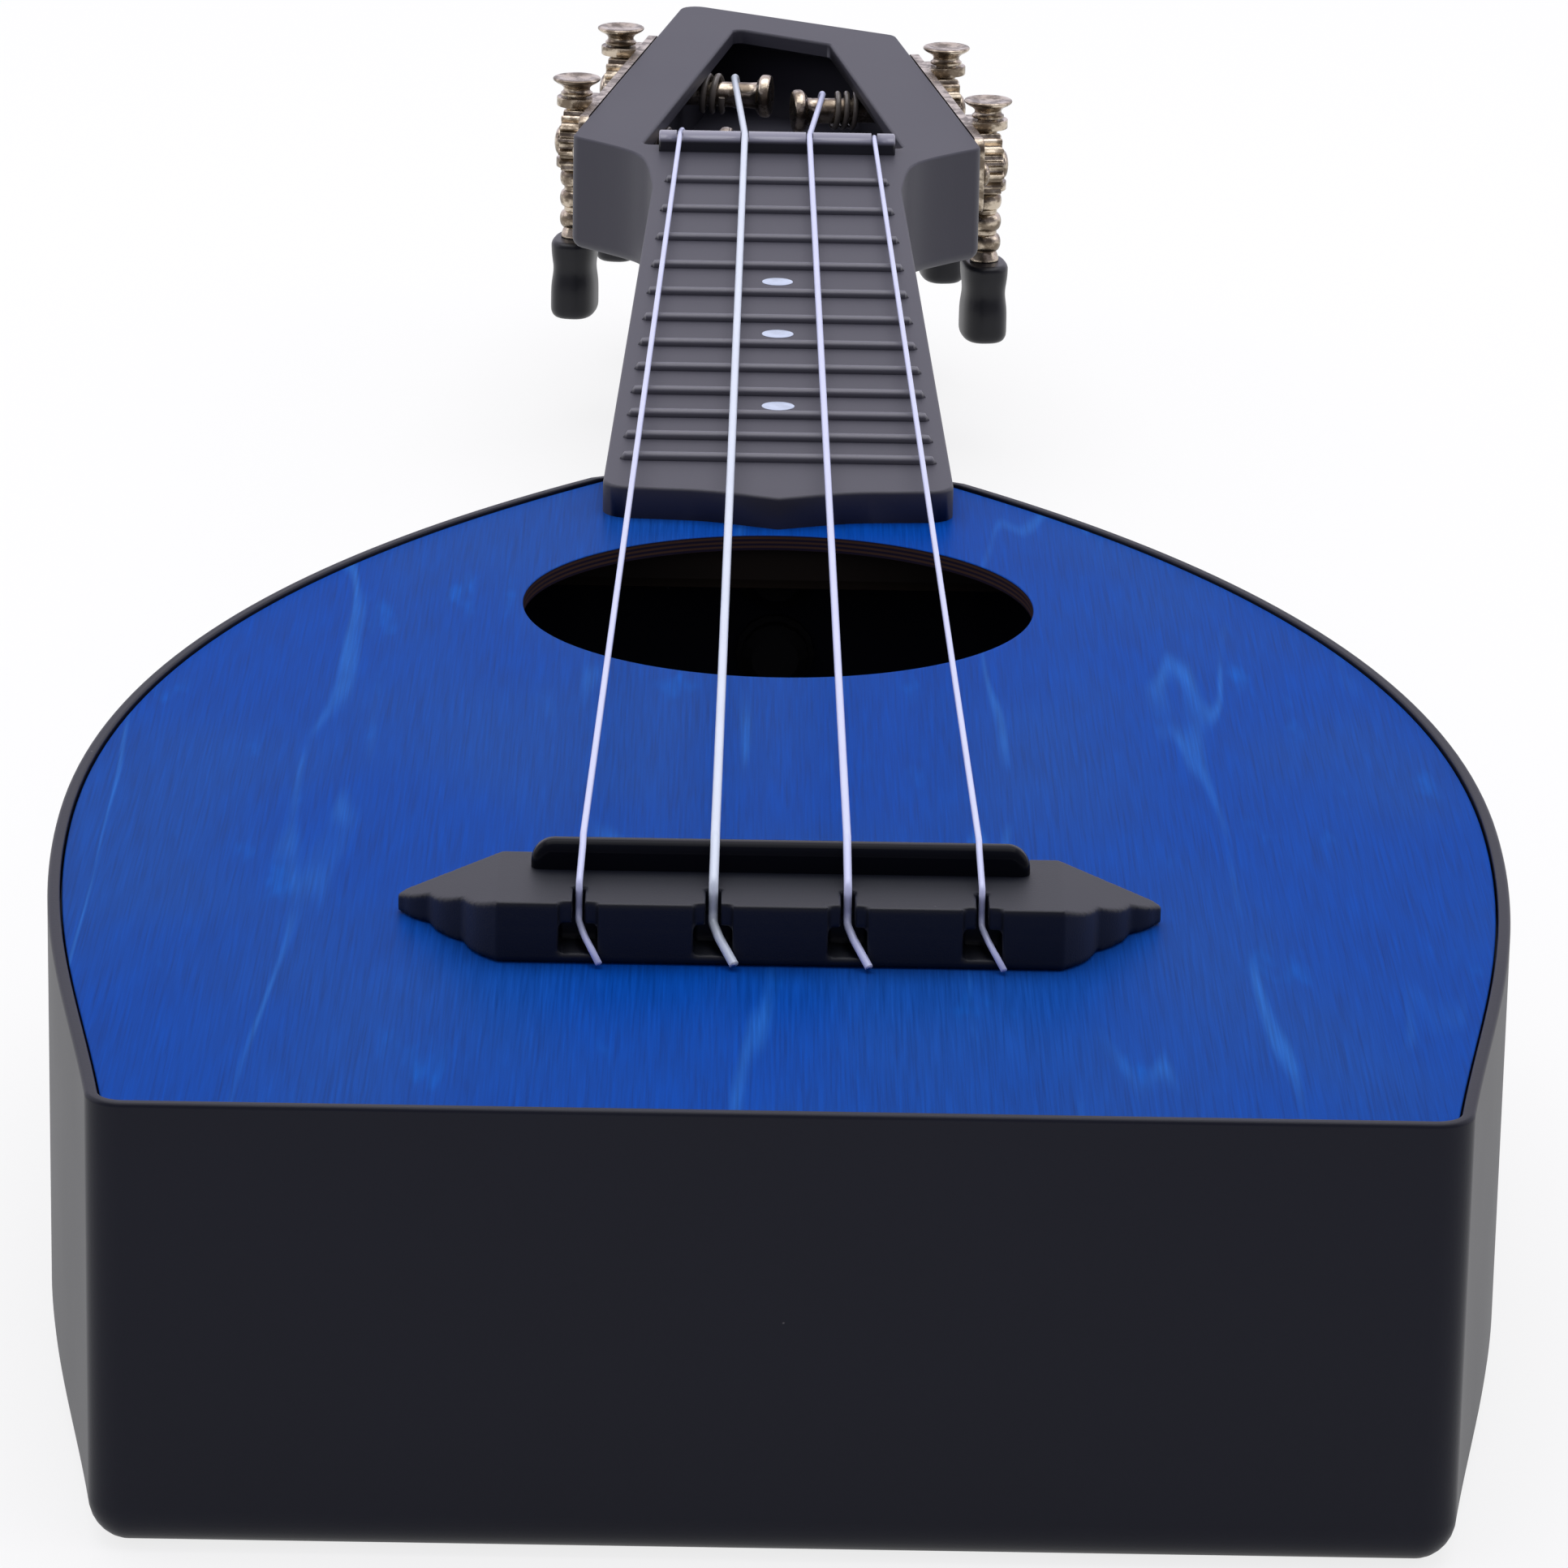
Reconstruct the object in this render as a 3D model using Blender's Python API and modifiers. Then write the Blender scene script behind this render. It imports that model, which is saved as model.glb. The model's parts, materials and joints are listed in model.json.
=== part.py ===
"""Soprano ukulele: moulded body and neck, inset plywood top, four geared tuners.

The instrument lies on its back. +Z points out of the top plate, +Y points to the
headstock and +X is the side of the first string. The origin is the middle of the
whole instrument, at the height of its back.

Most sizes below are given from the nut: x across, y along (positive on the
headstock, negative over the fingerboard and the body), z above the top plate.
The function at() turns such a place into a place in the scene.
"""
import math

import bmesh
import bpy
from mathutils import Matrix, Vector

MM = 0.001
COLLECTION = "soprano_ukulele"

# Fits
SEAT_GAP = 0.2 * MM
RUNNING_GAP = 0.3 * MM
CUT_OVER = 5.0 * MM
CUT_PAST = 1.0 * MM

# Strings, from the fourth to the first
SCALE_LENGTH = 346.0 * MM
STRING_NAMES = ("g", "c", "e", "a")
STRING_RADIUS = {"g": 0.36 * MM, "c": 0.5 * MM, "e": 0.43 * MM, "a": 0.34 * MM}
SPREAD_AT_NUT = 28.5 * MM
SPREAD_AT_BRIDGE = 40.8 * MM
STRING_FLOOR_AT_NUT = 5.7 * MM
SIDESTEP_TO_ROLLER = {"g": 0.0, "c": -1.7 * MM, "e": 2.4 * MM, "a": 0.0}

# Body
BODY_HALF_WIDTH = 77.5 * MM
BODY_DEPTH = 46.3 * MM
SHOULDER_HALF_WIDTH = 16.0 * MM
SHOULDER_ANGLE = math.radians(44.5)
SHOULDER_PULL = 53.0 * MM
WIDEST_BEFORE_BRIDGE = 31.0 * MM
WIDEST_PULL_TO_NECK = 61.5 * MM
WIDEST_PULL_TO_BUTT = 38.8 * MM
BUTT_BEHIND_BRIDGE = 44.7 * MM
BUTT_HALF_WIDTH = 66.7 * MM
BUTT_ANGLE = math.radians(8.1)
BUTT_PULL = 29.6 * MM
BUTT_CORNER_RADIUS = 4.0 * MM
BACK_EDGE_RADIUS = 4.5 * MM
BACK_THICKNESS = 3.0 * MM
WALL = 3.3 * MM
RIM_WIDTH = 1.3 * MM
RIM_HEIGHT = 0.4 * MM
NECK_BLOCK_LENGTH = 14.0 * MM
OUTLINE_STEPS = 10

# Top plate, its hole and its braces
TOP_THICKNESS = 1.9 * MM
SOUND_HOLE_RADIUS = 30.2 * MM
HOLE_PAST_BOARD = 37.1 * MM
BRACE_WIDTH = 5.0 * MM
BRACE_HEIGHT = 6.0 * MM
BRACE_MARGIN = 5.0 * MM
BRACE_END_GAP = 2.0 * MM
PATCH_SIZE = (92.0 * MM, 24.0 * MM, 2.0 * MM)

# Bridge and saddle
BRIDGE_BEHIND_SADDLE = 11.0 * MM
BRIDGE_BEFORE_SADDLE = 3.2 * MM
BRIDGE_REAR_HEIGHT = 6.5 * MM
BRIDGE_FRONT_HEIGHT = 6.5 * MM
BRIDGE_BLOCK_HALF = 28.8 * MM
BRIDGE_HALF_LENGTH = 39.6 * MM
BRIDGE_TIP_HEIGHT = 1.8 * MM
BRIDGE_TIP_RADIUS = 1.2 * MM
BRIDGE_FRONT_INSET = 1.3 * MM
BRIDGE_WING_INSET = 0.2 * MM
SCALLOPS = 3
SCALLOP_BULGE = 0.65 * MM
SCALLOP_NOTCH = 0.2 * MM
SCALLOP_CROWDING = 1.1
SADDLE_THICKNESS = 2.8 * MM
SADDLE_BEHIND_SCALE = -0.7 * MM
SADDLE_HALF_LENGTH = 25.7 * MM
SADDLE_TOP = 9.5 * MM
SADDLE_SEAT = 3.0 * MM
SADDLE_FOOT_RADIUS = 0.4 * MM
SADDLE_DROP = 0.5 * MM
SADDLE_SLOT_EXTRA = 0.5 * MM
TIE_RECESS_WIDTH = 4.0 * MM
TIE_RECESS_DEPTH = 0.8 * MM
TIE_HOLE_DEPTH = 5.2 * MM
TIE_HOLE_FLOOR = 1.1 * MM
TIE_HOLE_TOP = 4.2 * MM
TIE_SLOT_LENGTH = 5.8 * MM
TIE_SLOT_CLEARANCE = 0.3 * MM
TIE_BEND = 0.9 * MM
TAIL_ASIDE = 2.2 * MM
TAIL_BEHIND = 1.3 * MM

# Fingerboard, frets, dots and nut
BOARD_THICKNESS = 3.8 * MM
BOARD_HALF_AT_NUT = 17.4 * MM
BOARD_HALF_AT_END = 21.7 * MM
BOARD_PAST_LAST_FRET = 13.1 * MM
BOARD_OVER_BODY = 25.1 * MM
BOARD_TIP_LENGTH = 4.4 * MM
BOARD_CORNER_RADIUS = 3.5 * MM
BOARD_TIP_FOOT = (9.0 * MM, 1.0 * MM)
BOARD_EDGE_RADIUS = 0.5 * MM
FRETS = 12
FRET_HEIGHT = 1.0 * MM
FRET_HALF_WIDTH = 0.9 * MM
FRET_END_INSET = 1.6 * MM
DOT_FRETS = (5, 7, 10)
DOT_RADIUS = 2.1 * MM
DOT_THICKNESS = 0.9 * MM
DOT_PROUD = 0.05 * MM
NUT_LENGTH = 4.6 * MM
NUT_TOP = 6.6 * MM
NUT_ROUND = 1.4 * MM
NUT_SEAT = 0.8 * MM
NUT_SLOT_CLEARANCE = 0.25 * MM
NUT_SLOT_FALL = 1.8 * MM

# Neck and its heel
NECK_DEPTH_AT_NUT = 13.4 * MM
NECK_DEPTH_AT_BODY = 15.5 * MM
HEEL_DEPTH = 40.0 * MM
HEEL_LENGTH = 34.0 * MM
HEEL_FOOT_SHARE = 0.62
NECK_INTO_HEAD = 4.0 * MM
NECK_STEPS = 14
NECK_ARC_STEPS = 12

# Headstock: (across, along, corner radius), both sides lean the same way
HEAD_DEPTH = 13.0 * MM
HEAD_FLOOR = 2.5 * MM
HEAD_WALL = 6.0 * MM
FACE_THICKNESS = 2.2 * MM
HEAD_EDGE_RADIUS = 1.6 * MM
HEAD_LEFT_WIDE = (-30.2 * MM, 9.5 * MM)
HEAD_LEFT_END = (-14.7 * MM, 107.0 * MM)
HEAD_RIGHT_END = (18.7 * MM, 85.4 * MM)
HEAD_RIGHT_WIDE = (30.15 * MM, 6.1 * MM)
HEAD_CORNER_RADIUS = 2.6 * MM
HEAD_START_Y = -22.3 * MM
HEAD_SHOULDER_END = (3.6 * MM, 3.4 * MM)
HEAD_SHOULDER_KNEE = (1.2 * MM, 11.0 * MM)
WINDOW_HALF_AT_NUT = 19.25 * MM
WINDOW_ASIDE_AT_NUT = -0.55 * MM
WINDOW_LEFT_END = (-6.5 * MM, 88.5 * MM)
WINDOW_RIGHT_END = (8.3 * MM, 78.0 * MM)
WINDOW_CORNER_RADIUS = 1.2 * MM

# Neck screws
SCREW_HEIGHTS = (-9.5 * MM, -20.0 * MM)
SCREW_RADIUS = 2.4 * MM
SCREW_DEPTH_IN_HEEL = 9.5 * MM
SCREW_HEAD_RADIUS = 4.2 * MM
SCREW_HEAD_HEIGHT = 3.0 * MM
WASHER_RADIUS = 4.9 * MM
WASHER_THICKNESS = 1.0 * MM

# Tuner strips: places along the headstock's side, from its widest corner
FIRST_WORM = {"left": 29.3 * MM, "right": 21.8 * MM}
TUNER_SPACING = 38.0 * MM
STRIP_THICKNESS = 1.4 * MM
STRIP_HEIGHT = 11.4 * MM
STRIP_BEFORE = 15.8 * MM
STRIP_AFTER = 8.6 * MM
STRIP_CORNER_RADIUS = 2.0 * MM
TUNER_HEIGHT = -1.9 * MM
WORM_STAND_OFF = 4.7 * MM
TAB_THICKNESS = 1.4 * MM
TAB_RADIUS = 3.0 * MM
STRIP_SCREW_RADIUS = 1.1 * MM
STRIP_SCREW_LENGTH = 5.0 * MM
STRIP_SCREW_HEAD = 1.7 * MM
STRIP_SCREW_HEAD_HEIGHT = 0.9 * MM
STRIP_SCREW_MARGIN = 0.8 * MM

# Worm shafts
WORM_CREST = 2.1 * MM
WORM_CORE = 1.5 * MM
WORM_HALF_LENGTH = 3.7 * MM
WORM_RINGS = 4
WORM_STEPS = 12
JOURNAL_RADIUS = 1.5 * MM
FLARE_RADIUS = 3.6 * MM
FLARE_TOP = 6.5 * MM
BEAD_RADIUS = 2.4 * MM
BEAD_PITCH = 3.2 * MM
BEADS = 3
TENON_RADIUS = 1.3 * MM
TENON_LENGTH = 6.0 * MM

# Buttons
BUTTON_TOP = -18.3 * MM
BUTTON_BOTTOM = -30.3 * MM
BUTTON_HALF_THICKNESS = 3.4 * MM
BUTTON_HALF_WIDTH = 5.4 * MM
BUTTON_WAIST = 0.9
BUTTON_SIDES = 16
BUTTON_LAYERS = 7

# Gears and rollers
GEAR_TEETH = 14
GEAR_TIP_RADIUS = 4.6 * MM
GEAR_ROOT_RADIUS = 3.7 * MM
GEAR_THICKNESS = 3.4 * MM
GEAR_STAND_OFF = 2.0 * MM
SHANK_RADIUS = 1.7 * MM
GEAR_SCREW_RADIUS = 0.7 * MM
GEAR_SCREW_LENGTH = 3.5 * MM
GEAR_SCREW_HEAD = 2.2 * MM
GEAR_SCREW_HEAD_HEIGHT = 1.0 * MM
ROLLER_JOURNAL_RADIUS = 2.3 * MM
ROLLER_LENGTH = 20.4 * MM
ROLLER_WAIST_RADIUS = 2.0 * MM
ROLLER_WAIST_START = 7.6 * MM
ROLLER_FLANGE_RADIUS = 3.3 * MM
ROLLER_FLANGE_LENGTH = 2.0 * MM
ROLLER_EASE = 0.5 * MM

# Windings on the rollers
WINDING_TURNS = {"g": 2, "c": 3, "e": 3, "a": 2}
WINDING_POINTS = 24
WINDING_TURN_GAP = 0.5 * MM

# A flat outline drawn in x and y: stood up to face +Y, or turned to face +X
UPRIGHT = Matrix(((1, 0, 0, 0), (0, 0, 1, 0), (0, 1, 0, 0), (0, 0, 0, 1)))
SIDEWAYS = Matrix(((0, 0, 1, 0), (1, 0, 0, 0), (0, 1, 0, 0), (0, 0, 0, 1)))

MERGE_DISTANCE = 0.001 * MM
FLAT_ANGLE = math.radians(0.05)
SHARP_ANGLE = math.radians(40)
ROUND_STEPS = 36
DOT_STEPS = 20
SMALL_ROUND_STEPS = 14
SCREW_STEPS = 10
FRET_STEPS = 12

# Worked out from the sizes above
WORM_TO_GEAR = WORM_CREST + GEAR_TIP_RADIUS + RUNNING_GAP
NECK_TOP = 0.0
BOARD_BOTTOM = SEAT_GAP
BOARD_TOP = BOARD_BOTTOM + BOARD_THICKNESS
TOP_PLATE_BOTTOM = -TOP_THICKNESS
REBATE_FLOOR = TOP_PLATE_BOTTOM - SEAT_GAP
CAVITY_FLOOR = BACK_THICKNESS - BODY_DEPTH
SADDLE_REAR_Y = -SCALE_LENGTH - SADDLE_BEHIND_SCALE
SADDLE_FRONT_Y = SADDLE_REAR_Y + SADDLE_THICKNESS
BRIDGE_REAR_Y = SADDLE_REAR_Y - BRIDGE_BEHIND_SADDLE
BRIDGE_FRONT_Y = SADDLE_FRONT_Y + BRIDGE_BEFORE_SADDLE
BRIDGE_TIP_Y = BRIDGE_FRONT_Y - BRIDGE_TIP_RADIUS
WIDEST_Y = BRIDGE_FRONT_Y + WIDEST_BEFORE_BRIDGE
BUTT_Y = BRIDGE_REAR_Y - BUTT_BEHIND_BRIDGE
LAST_FRET_Y = SCALE_LENGTH / 2 ** (FRETS / 12) - SCALE_LENGTH
BOARD_END_Y = LAST_FRET_Y - BOARD_PAST_LAST_FRET
SHOULDER_Y = BOARD_END_Y + BOARD_OVER_BODY
SOUND_HOLE_Y = BOARD_END_Y - HOLE_PAST_BOARD


def fillet(before, corner, after, radius, steps=4):
    """Points of the arc that rounds one corner of an outline."""
    corner = Vector(corner)
    to_before = (Vector(before) - corner).normalized()
    to_after = (Vector(after) - corner).normalized()
    half_angle = to_before.angle(to_after) / 2
    reach = radius / math.tan(half_angle)
    middle = corner + (to_before + to_after).normalized() * (radius / math.sin(half_angle))
    start = corner + to_before * reach - middle
    end = corner + to_after * reach - middle
    turn = start.angle_signed(end)
    return [
        tuple(middle + Matrix.Rotation(-turn * step / steps, 2) @ start)
        for step in range(steps + 1)
    ]


def rounded(corners, steps=4):
    """Outline through corners given as (x, y, radius)."""
    points = []
    count = len(corners)
    for index, (x, y, radius) in enumerate(corners):
        if radius <= 0:
            points.append((x, y))
            continue
        before = corners[index - 1][:2]
        after = corners[(index + 1) % count][:2]
        points += fillet(before, (x, y), after, radius, steps)
    return points


def bezier(start, pull_start, pull_end, end, steps):
    """Points along a cubic curve, its last point left out."""
    a, b, c, d = Vector(start), Vector(pull_start), Vector(pull_end), Vector(end)
    points = []
    for step in range(steps):
        t = step / steps
        u = 1 - t
        point = a * u ** 3 + b * 3 * u * u * t + c * 3 * u * t * t + d * t ** 3
        points.append(tuple(point))
    return points


def offset(points, distance):
    """The same outline, moved inwards by a distance (outwards where negative)."""
    area = sum(
        points[i - 1][0] * points[i][1] - points[i][0] * points[i - 1][1]
        for i in range(len(points))
    )
    sign = 1 if area > 0 else -1
    moved = []
    for index, point in enumerate(points):
        before = Vector(points[index - 1])
        here = Vector(point)
        after = Vector(points[(index + 1) % len(points)])
        edge_in = (here - before).normalized()
        edge_out = (after - here).normalized()
        normal_in = Vector((-edge_in.y, edge_in.x)) * sign
        normal_out = Vector((-edge_out.y, edge_out.x)) * sign
        bisector = (normal_in + normal_out).normalized()
        moved.append(tuple(here + bisector * (distance / bisector.dot(normal_out))))
    return moved


def clipped(points, y_limit):
    """The part of an outline at or below a limit along y."""
    kept = []
    for index, point in enumerate(points):
        before = points[index - 1]
        if (before[1] <= y_limit) != (point[1] <= y_limit):
            share = (y_limit - before[1]) / (point[1] - before[1])
            kept.append((before[0] + (point[0] - before[0]) * share, y_limit))
        if point[1] <= y_limit:
            kept.append(point)
    return kept


def body_outline():
    """The body seen from above, from its left shoulder round to its right one."""
    shoulder = Vector((SHOULDER_HALF_WIDTH, SHOULDER_Y))
    lean = Vector((math.cos(SHOULDER_ANGLE), -math.sin(SHOULDER_ANGLE)))
    widest = Vector((BODY_HALF_WIDTH, WIDEST_Y))
    butt = Vector((BUTT_HALF_WIDTH, BUTT_Y))
    rise = Vector((math.sin(BUTT_ANGLE), math.cos(BUTT_ANGLE)))
    half = bezier(
        shoulder,
        shoulder + lean * SHOULDER_PULL,
        widest + Vector((0, WIDEST_PULL_TO_NECK)),
        widest,
        OUTLINE_STEPS,
    )
    lower = bezier(
        widest,
        widest - Vector((0, WIDEST_PULL_TO_BUTT)),
        butt + rise * BUTT_PULL,
        butt,
        OUTLINE_STEPS,
    )
    half += [p for p in lower if (Vector(p) - butt).length > BUTT_CORNER_RADIUS]
    half += fillet(half[-1], butt, (-BUTT_HALF_WIDTH, BUTT_Y), BUTT_CORNER_RADIUS, 5)
    return half + [(-x, y) for x, y in reversed(half)]


def body_half_width_at(y):
    """Half the body's width at a place along it."""
    outline = body_outline()
    for (x0, y0), (x1, y1) in zip(outline, outline[1:]):
        if y1 <= y <= y0:
            return x0 + (x1 - x0) * (y0 - y) / (y0 - y1)
    raise ValueError("no body at this place")


def head_outline():
    """The headstock seen from above, with its hollow shoulders."""
    left = [(HEAD_LEFT_WIDE[0], HEAD_LEFT_WIDE[1], HEAD_CORNER_RADIUS)]
    left.append((HEAD_LEFT_END[0], HEAD_LEFT_END[1], HEAD_CORNER_RADIUS))
    right = [(HEAD_RIGHT_END[0], HEAD_RIGHT_END[1], HEAD_CORNER_RADIUS)]
    right.append((HEAD_RIGHT_WIDE[0], HEAD_RIGHT_WIDE[1], HEAD_CORNER_RADIUS))
    corners = [(x, y, 0) for x, y in shoulder_curve("left")]
    corners += left + right
    corners += [(x, y, 0) for x, y in reversed(shoulder_curve("right"))]
    return rounded(corners)


def shoulder_curve(side):
    """Points from the neck's side out to just before the widest corner."""
    sign = -1 if side == "left" else 1
    wide = HEAD_LEFT_WIDE if side == "left" else HEAD_RIGHT_WIDE
    half_width = board_half_width(HEAD_START_Y)
    start = (sign * half_width, HEAD_START_Y)
    end = (wide[0] - sign * HEAD_SHOULDER_END[0], wide[1] - HEAD_SHOULDER_END[1])
    knee = (sign * (half_width + HEAD_SHOULDER_KNEE[0]), wide[1] - HEAD_SHOULDER_KNEE[1])
    return bezier(start, knee, knee, end, 6) + [end]


def board_half_width(y):
    """Half the fingerboard's width at a place along it."""
    share = y / BOARD_END_Y
    return BOARD_HALF_AT_NUT + (BOARD_HALF_AT_END - BOARD_HALF_AT_NUT) * share


def board_outline():
    """Fingerboard and headstock face in one outline."""
    end = BOARD_HALF_AT_END
    tip = BOARD_END_Y - BOARD_TIP_LENGTH
    foot_x, foot_drop = BOARD_TIP_FOOT
    foot = rounded(
        [
            (board_half_width(HEAD_START_Y), HEAD_START_Y, 0),
            (end, BOARD_END_Y, BOARD_CORNER_RADIUS),
            (foot_x, BOARD_END_Y - foot_drop, 0),
            (0, tip, 0),
            (-foot_x, BOARD_END_Y - foot_drop, 0),
            (-end, BOARD_END_Y, BOARD_CORNER_RADIUS),
            (-board_half_width(HEAD_START_Y), HEAD_START_Y, 0),
        ]
    )
    return foot[1:-1] + head_outline()


def window_outline():
    """The opening in the headstock's face."""
    near = NUT_LENGTH + SEAT_GAP
    radius = WINDOW_CORNER_RADIUS
    return rounded(
        [
            (WINDOW_ASIDE_AT_NUT - WINDOW_HALF_AT_NUT, near, radius),
            (WINDOW_LEFT_END[0], WINDOW_LEFT_END[1], radius),
            (WINDOW_RIGHT_END[0], WINDOW_RIGHT_END[1], radius),
            (WINDOW_ASIDE_AT_NUT + WINDOW_HALF_AT_NUT, near, radius),
        ]
    )


def hollow_outline(near):
    """The headstock's hollow inside its walls, from a place near the nut."""
    corners = [HEAD_LEFT_WIDE, HEAD_LEFT_END, HEAD_RIGHT_END, HEAD_RIGHT_WIDE]
    inside = offset(corners, HEAD_WALL)
    left = (WINDOW_ASIDE_AT_NUT - WINDOW_HALF_AT_NUT, near)
    right = (WINDOW_ASIDE_AT_NUT + WINDOW_HALF_AT_NUT, near)
    return [left] + inside + [right]


HEAD_END_Y = max(y for x, y in head_outline())
NUT_Y = -(HEAD_END_Y + BUTT_Y) / 2
TOP_Z = BODY_DEPTH


def at(x, y, z):
    """A place given from the nut and the top plate, as a place in the scene."""
    return Vector((x, y + NUT_Y, z + TOP_Z))


def fret_y(number):
    """Place of a fret: each one shortens the string by a twelfth of an octave."""
    return -(SCALE_LENGTH - SCALE_LENGTH / 2 ** (number / 12))


# Scene, collections and materials


def clear_scene():
    """Remove what the scene holds and make the two collections."""
    for item in list(bpy.data.objects):
        bpy.data.objects.remove(item, do_unlink=True)
    for name in (COLLECTION, "cutters"):
        collection = bpy.data.collections.get(name) or bpy.data.collections.new(name)
        if name not in bpy.context.scene.collection.children:
            bpy.context.scene.collection.children.link(collection)


def material(name, color, roughness, metallic=0.0):
    """A plain material with one colour."""
    made = bpy.data.materials.new(name)
    made.use_nodes = True
    shader = made.node_tree.nodes["Principled BSDF"]
    shader.inputs["Base Color"].default_value = (*color, 1)
    shader.inputs["Roughness"].default_value = roughness
    shader.inputs["Metallic"].default_value = metallic
    made.diffuse_color = (*color, 1)
    return made


def put(name, mesh, finish=None, cutter=False):
    """Put a mesh in the scene as an object."""
    made = bpy.data.objects.new(name, mesh)
    bpy.data.collections["cutters" if cutter else COLLECTION].objects.link(made)
    if cutter:
        made.hide_render = True
        made.display_type = "WIRE"
    elif finish:
        made.data.materials.clear()
        made.data.materials.append(finish)
    return made


def curve_to_mesh(name, curve):
    """Turn a curve into a closed mesh and remove the curve."""
    holder = bpy.data.objects.new(name + "_curve", curve)
    bpy.context.scene.collection.objects.link(holder)
    bpy.context.view_layer.update()
    graph = bpy.context.evaluated_depsgraph_get()
    mesh = bpy.data.meshes.new_from_object(holder.evaluated_get(graph))
    mesh.name = name
    bpy.data.objects.remove(holder, do_unlink=True)
    shape = bmesh.new()
    shape.from_mesh(mesh)
    bmesh.ops.remove_doubles(shape, verts=shape.verts, dist=MERGE_DISTANCE)
    bmesh.ops.recalc_face_normals(shape, faces=shape.faces)
    bmesh.ops.dissolve_limit(
        shape, angle_limit=FLAT_ANGLE, verts=shape.verts, edges=shape.edges
    )
    shape.to_mesh(mesh)
    shape.free()
    return mesh


def prism(name, outlines, low, high, finish=None, cutter=False):
    """A flat outline, or several with holes between them, given a thickness."""
    curve = bpy.data.curves.new(name, "CURVE")
    curve.dimensions = "2D"
    curve.fill_mode = "BOTH"
    curve.extrude = (high - low) / 2
    curve.render_resolution_u = 0
    for outline in outlines:
        spline = curve.splines.new("POLY")
        spline.points.add(len(outline) - 1)
        spline.use_cyclic_u = True
        for point, (x, y) in zip(spline.points, outline):
            point.co = (x, y, 0, 1)
    mesh = curve_to_mesh(name, curve)
    mesh.transform(Matrix.Translation((0, 0, (high + low) / 2)))
    return put(name, mesh, finish, cutter)


def tube(name, points, radius, finish, resolution=2):
    """A round wire along a list of points."""
    curve = bpy.data.curves.new(name, "CURVE")
    curve.dimensions = "3D"
    curve.bevel_depth = radius
    curve.bevel_resolution = resolution
    curve.use_fill_caps = True
    curve.render_resolution_u = 0
    spline = curve.splines.new("POLY")
    spline.points.add(len(points) - 1)
    for point, place in zip(spline.points, points):
        point.co = (*place, 1)
    made = bpy.data.objects.new(name, curve)
    bpy.data.collections[COLLECTION].objects.link(made)
    curve.materials.append(finish)
    return made


def box(name, low, high, finish=None, cutter=False):
    """A box between two corners."""
    shape = bmesh.new()
    bmesh.ops.create_cube(shape, size=1)
    low, high = Vector(low), Vector(high)
    size = high - low
    bmesh.ops.scale(shape, vec=size, verts=shape.verts)
    bmesh.ops.translate(shape, vec=(low + high) / 2, verts=shape.verts)
    mesh = bpy.data.meshes.new(name)
    shape.to_mesh(mesh)
    shape.free()
    return put(name, mesh, finish, cutter)


def rod(name, start, end, radius, finish=None, cutter=False, steps=SMALL_ROUND_STEPS):
    """A cylinder from one point to another."""
    start, end = Vector(start), Vector(end)
    shape = bmesh.new()
    length = (end - start).length
    bmesh.ops.create_cone(
        shape, cap_ends=True, segments=steps, radius1=radius, radius2=radius, depth=length
    )
    turn = (end - start).to_track_quat("Z", "Y").to_matrix().to_4x4()
    mesh = bpy.data.meshes.new(name)
    shape.to_mesh(mesh)
    shape.free()
    mesh.transform(Matrix.Translation((start + end) / 2) @ turn)
    return put(name, mesh, finish, cutter)


def turned(name, profile, finish, steps=SMALL_ROUND_STEPS):
    """A turned piece about its own Z: profile is (radius, height), top to bottom.

    A profile that starts on the axis ends on it too, and any other one is a ring.
    """
    mesh = bpy.data.meshes.new(name)
    shape = bmesh.new()
    corners = [shape.verts.new((radius, 0, height)) for radius, height in profile]
    for one, other in zip(corners, corners[1:]):
        shape.edges.new((one, other))
    if profile[0][0] > 0:
        shape.edges.new((corners[-1], corners[0]))
    shape.to_mesh(mesh)
    shape.free()
    made = put(name, mesh, finish)
    screw = made.modifiers.new("turn", "SCREW")
    screw.steps = steps
    screw.render_steps = steps
    screw.use_merge_vertices = True
    screw.merge_threshold = MERGE_DISTANCE
    return made


def combine(target, tool, operation="DIFFERENCE"):
    """Cut a piece with a tool, or join the tool to it."""
    cut = target.modifiers.new(operation.lower() + "_" + tool.name, "BOOLEAN")
    cut.operation = operation
    cut.solver = "EXACT"
    cut.object = tool
    if operation == "UNION":
        tool.hide_render = True
        tool.display_type = "WIRE"
    return cut


def join_meshes(name, pieces, cutter=True):
    """One object that holds several separate shapes."""
    shape = bmesh.new()
    for piece in pieces:
        shape.from_mesh(piece.data)
        bpy.data.objects.remove(piece, do_unlink=True)
    mesh = bpy.data.meshes.new(name)
    shape.to_mesh(mesh)
    shape.free()
    return put(name, mesh, cutter=cutter)


def round_edges(target, radius, steps, test):
    """Bevel the sharp edges whose two end points pass a test."""
    shape = bmesh.new()
    shape.from_mesh(target.data)
    weights = shape.edges.layers.float.new("bevel_weight_edge")
    for edge in shape.edges:
        sharp = edge.calc_face_angle(0) > SHARP_ANGLE
        if sharp and all(test(vertex.co) for vertex in edge.verts):
            edge[weights] = 1.0
    shape.to_mesh(target.data)
    shape.free()
    bevel = target.modifiers.new("round_edges", "BEVEL")
    bevel.limit_method = "WEIGHT"
    bevel.width = radius
    bevel.segments = steps
    bevel.use_clamp_overlap = True
    return bevel


def smooth(target, angle=math.radians(35)):
    """Shade a piece smooth, except at its sharp edges."""
    target.data.shade_smooth()
    target.data.set_sharp_from_angle(angle=angle)


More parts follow.
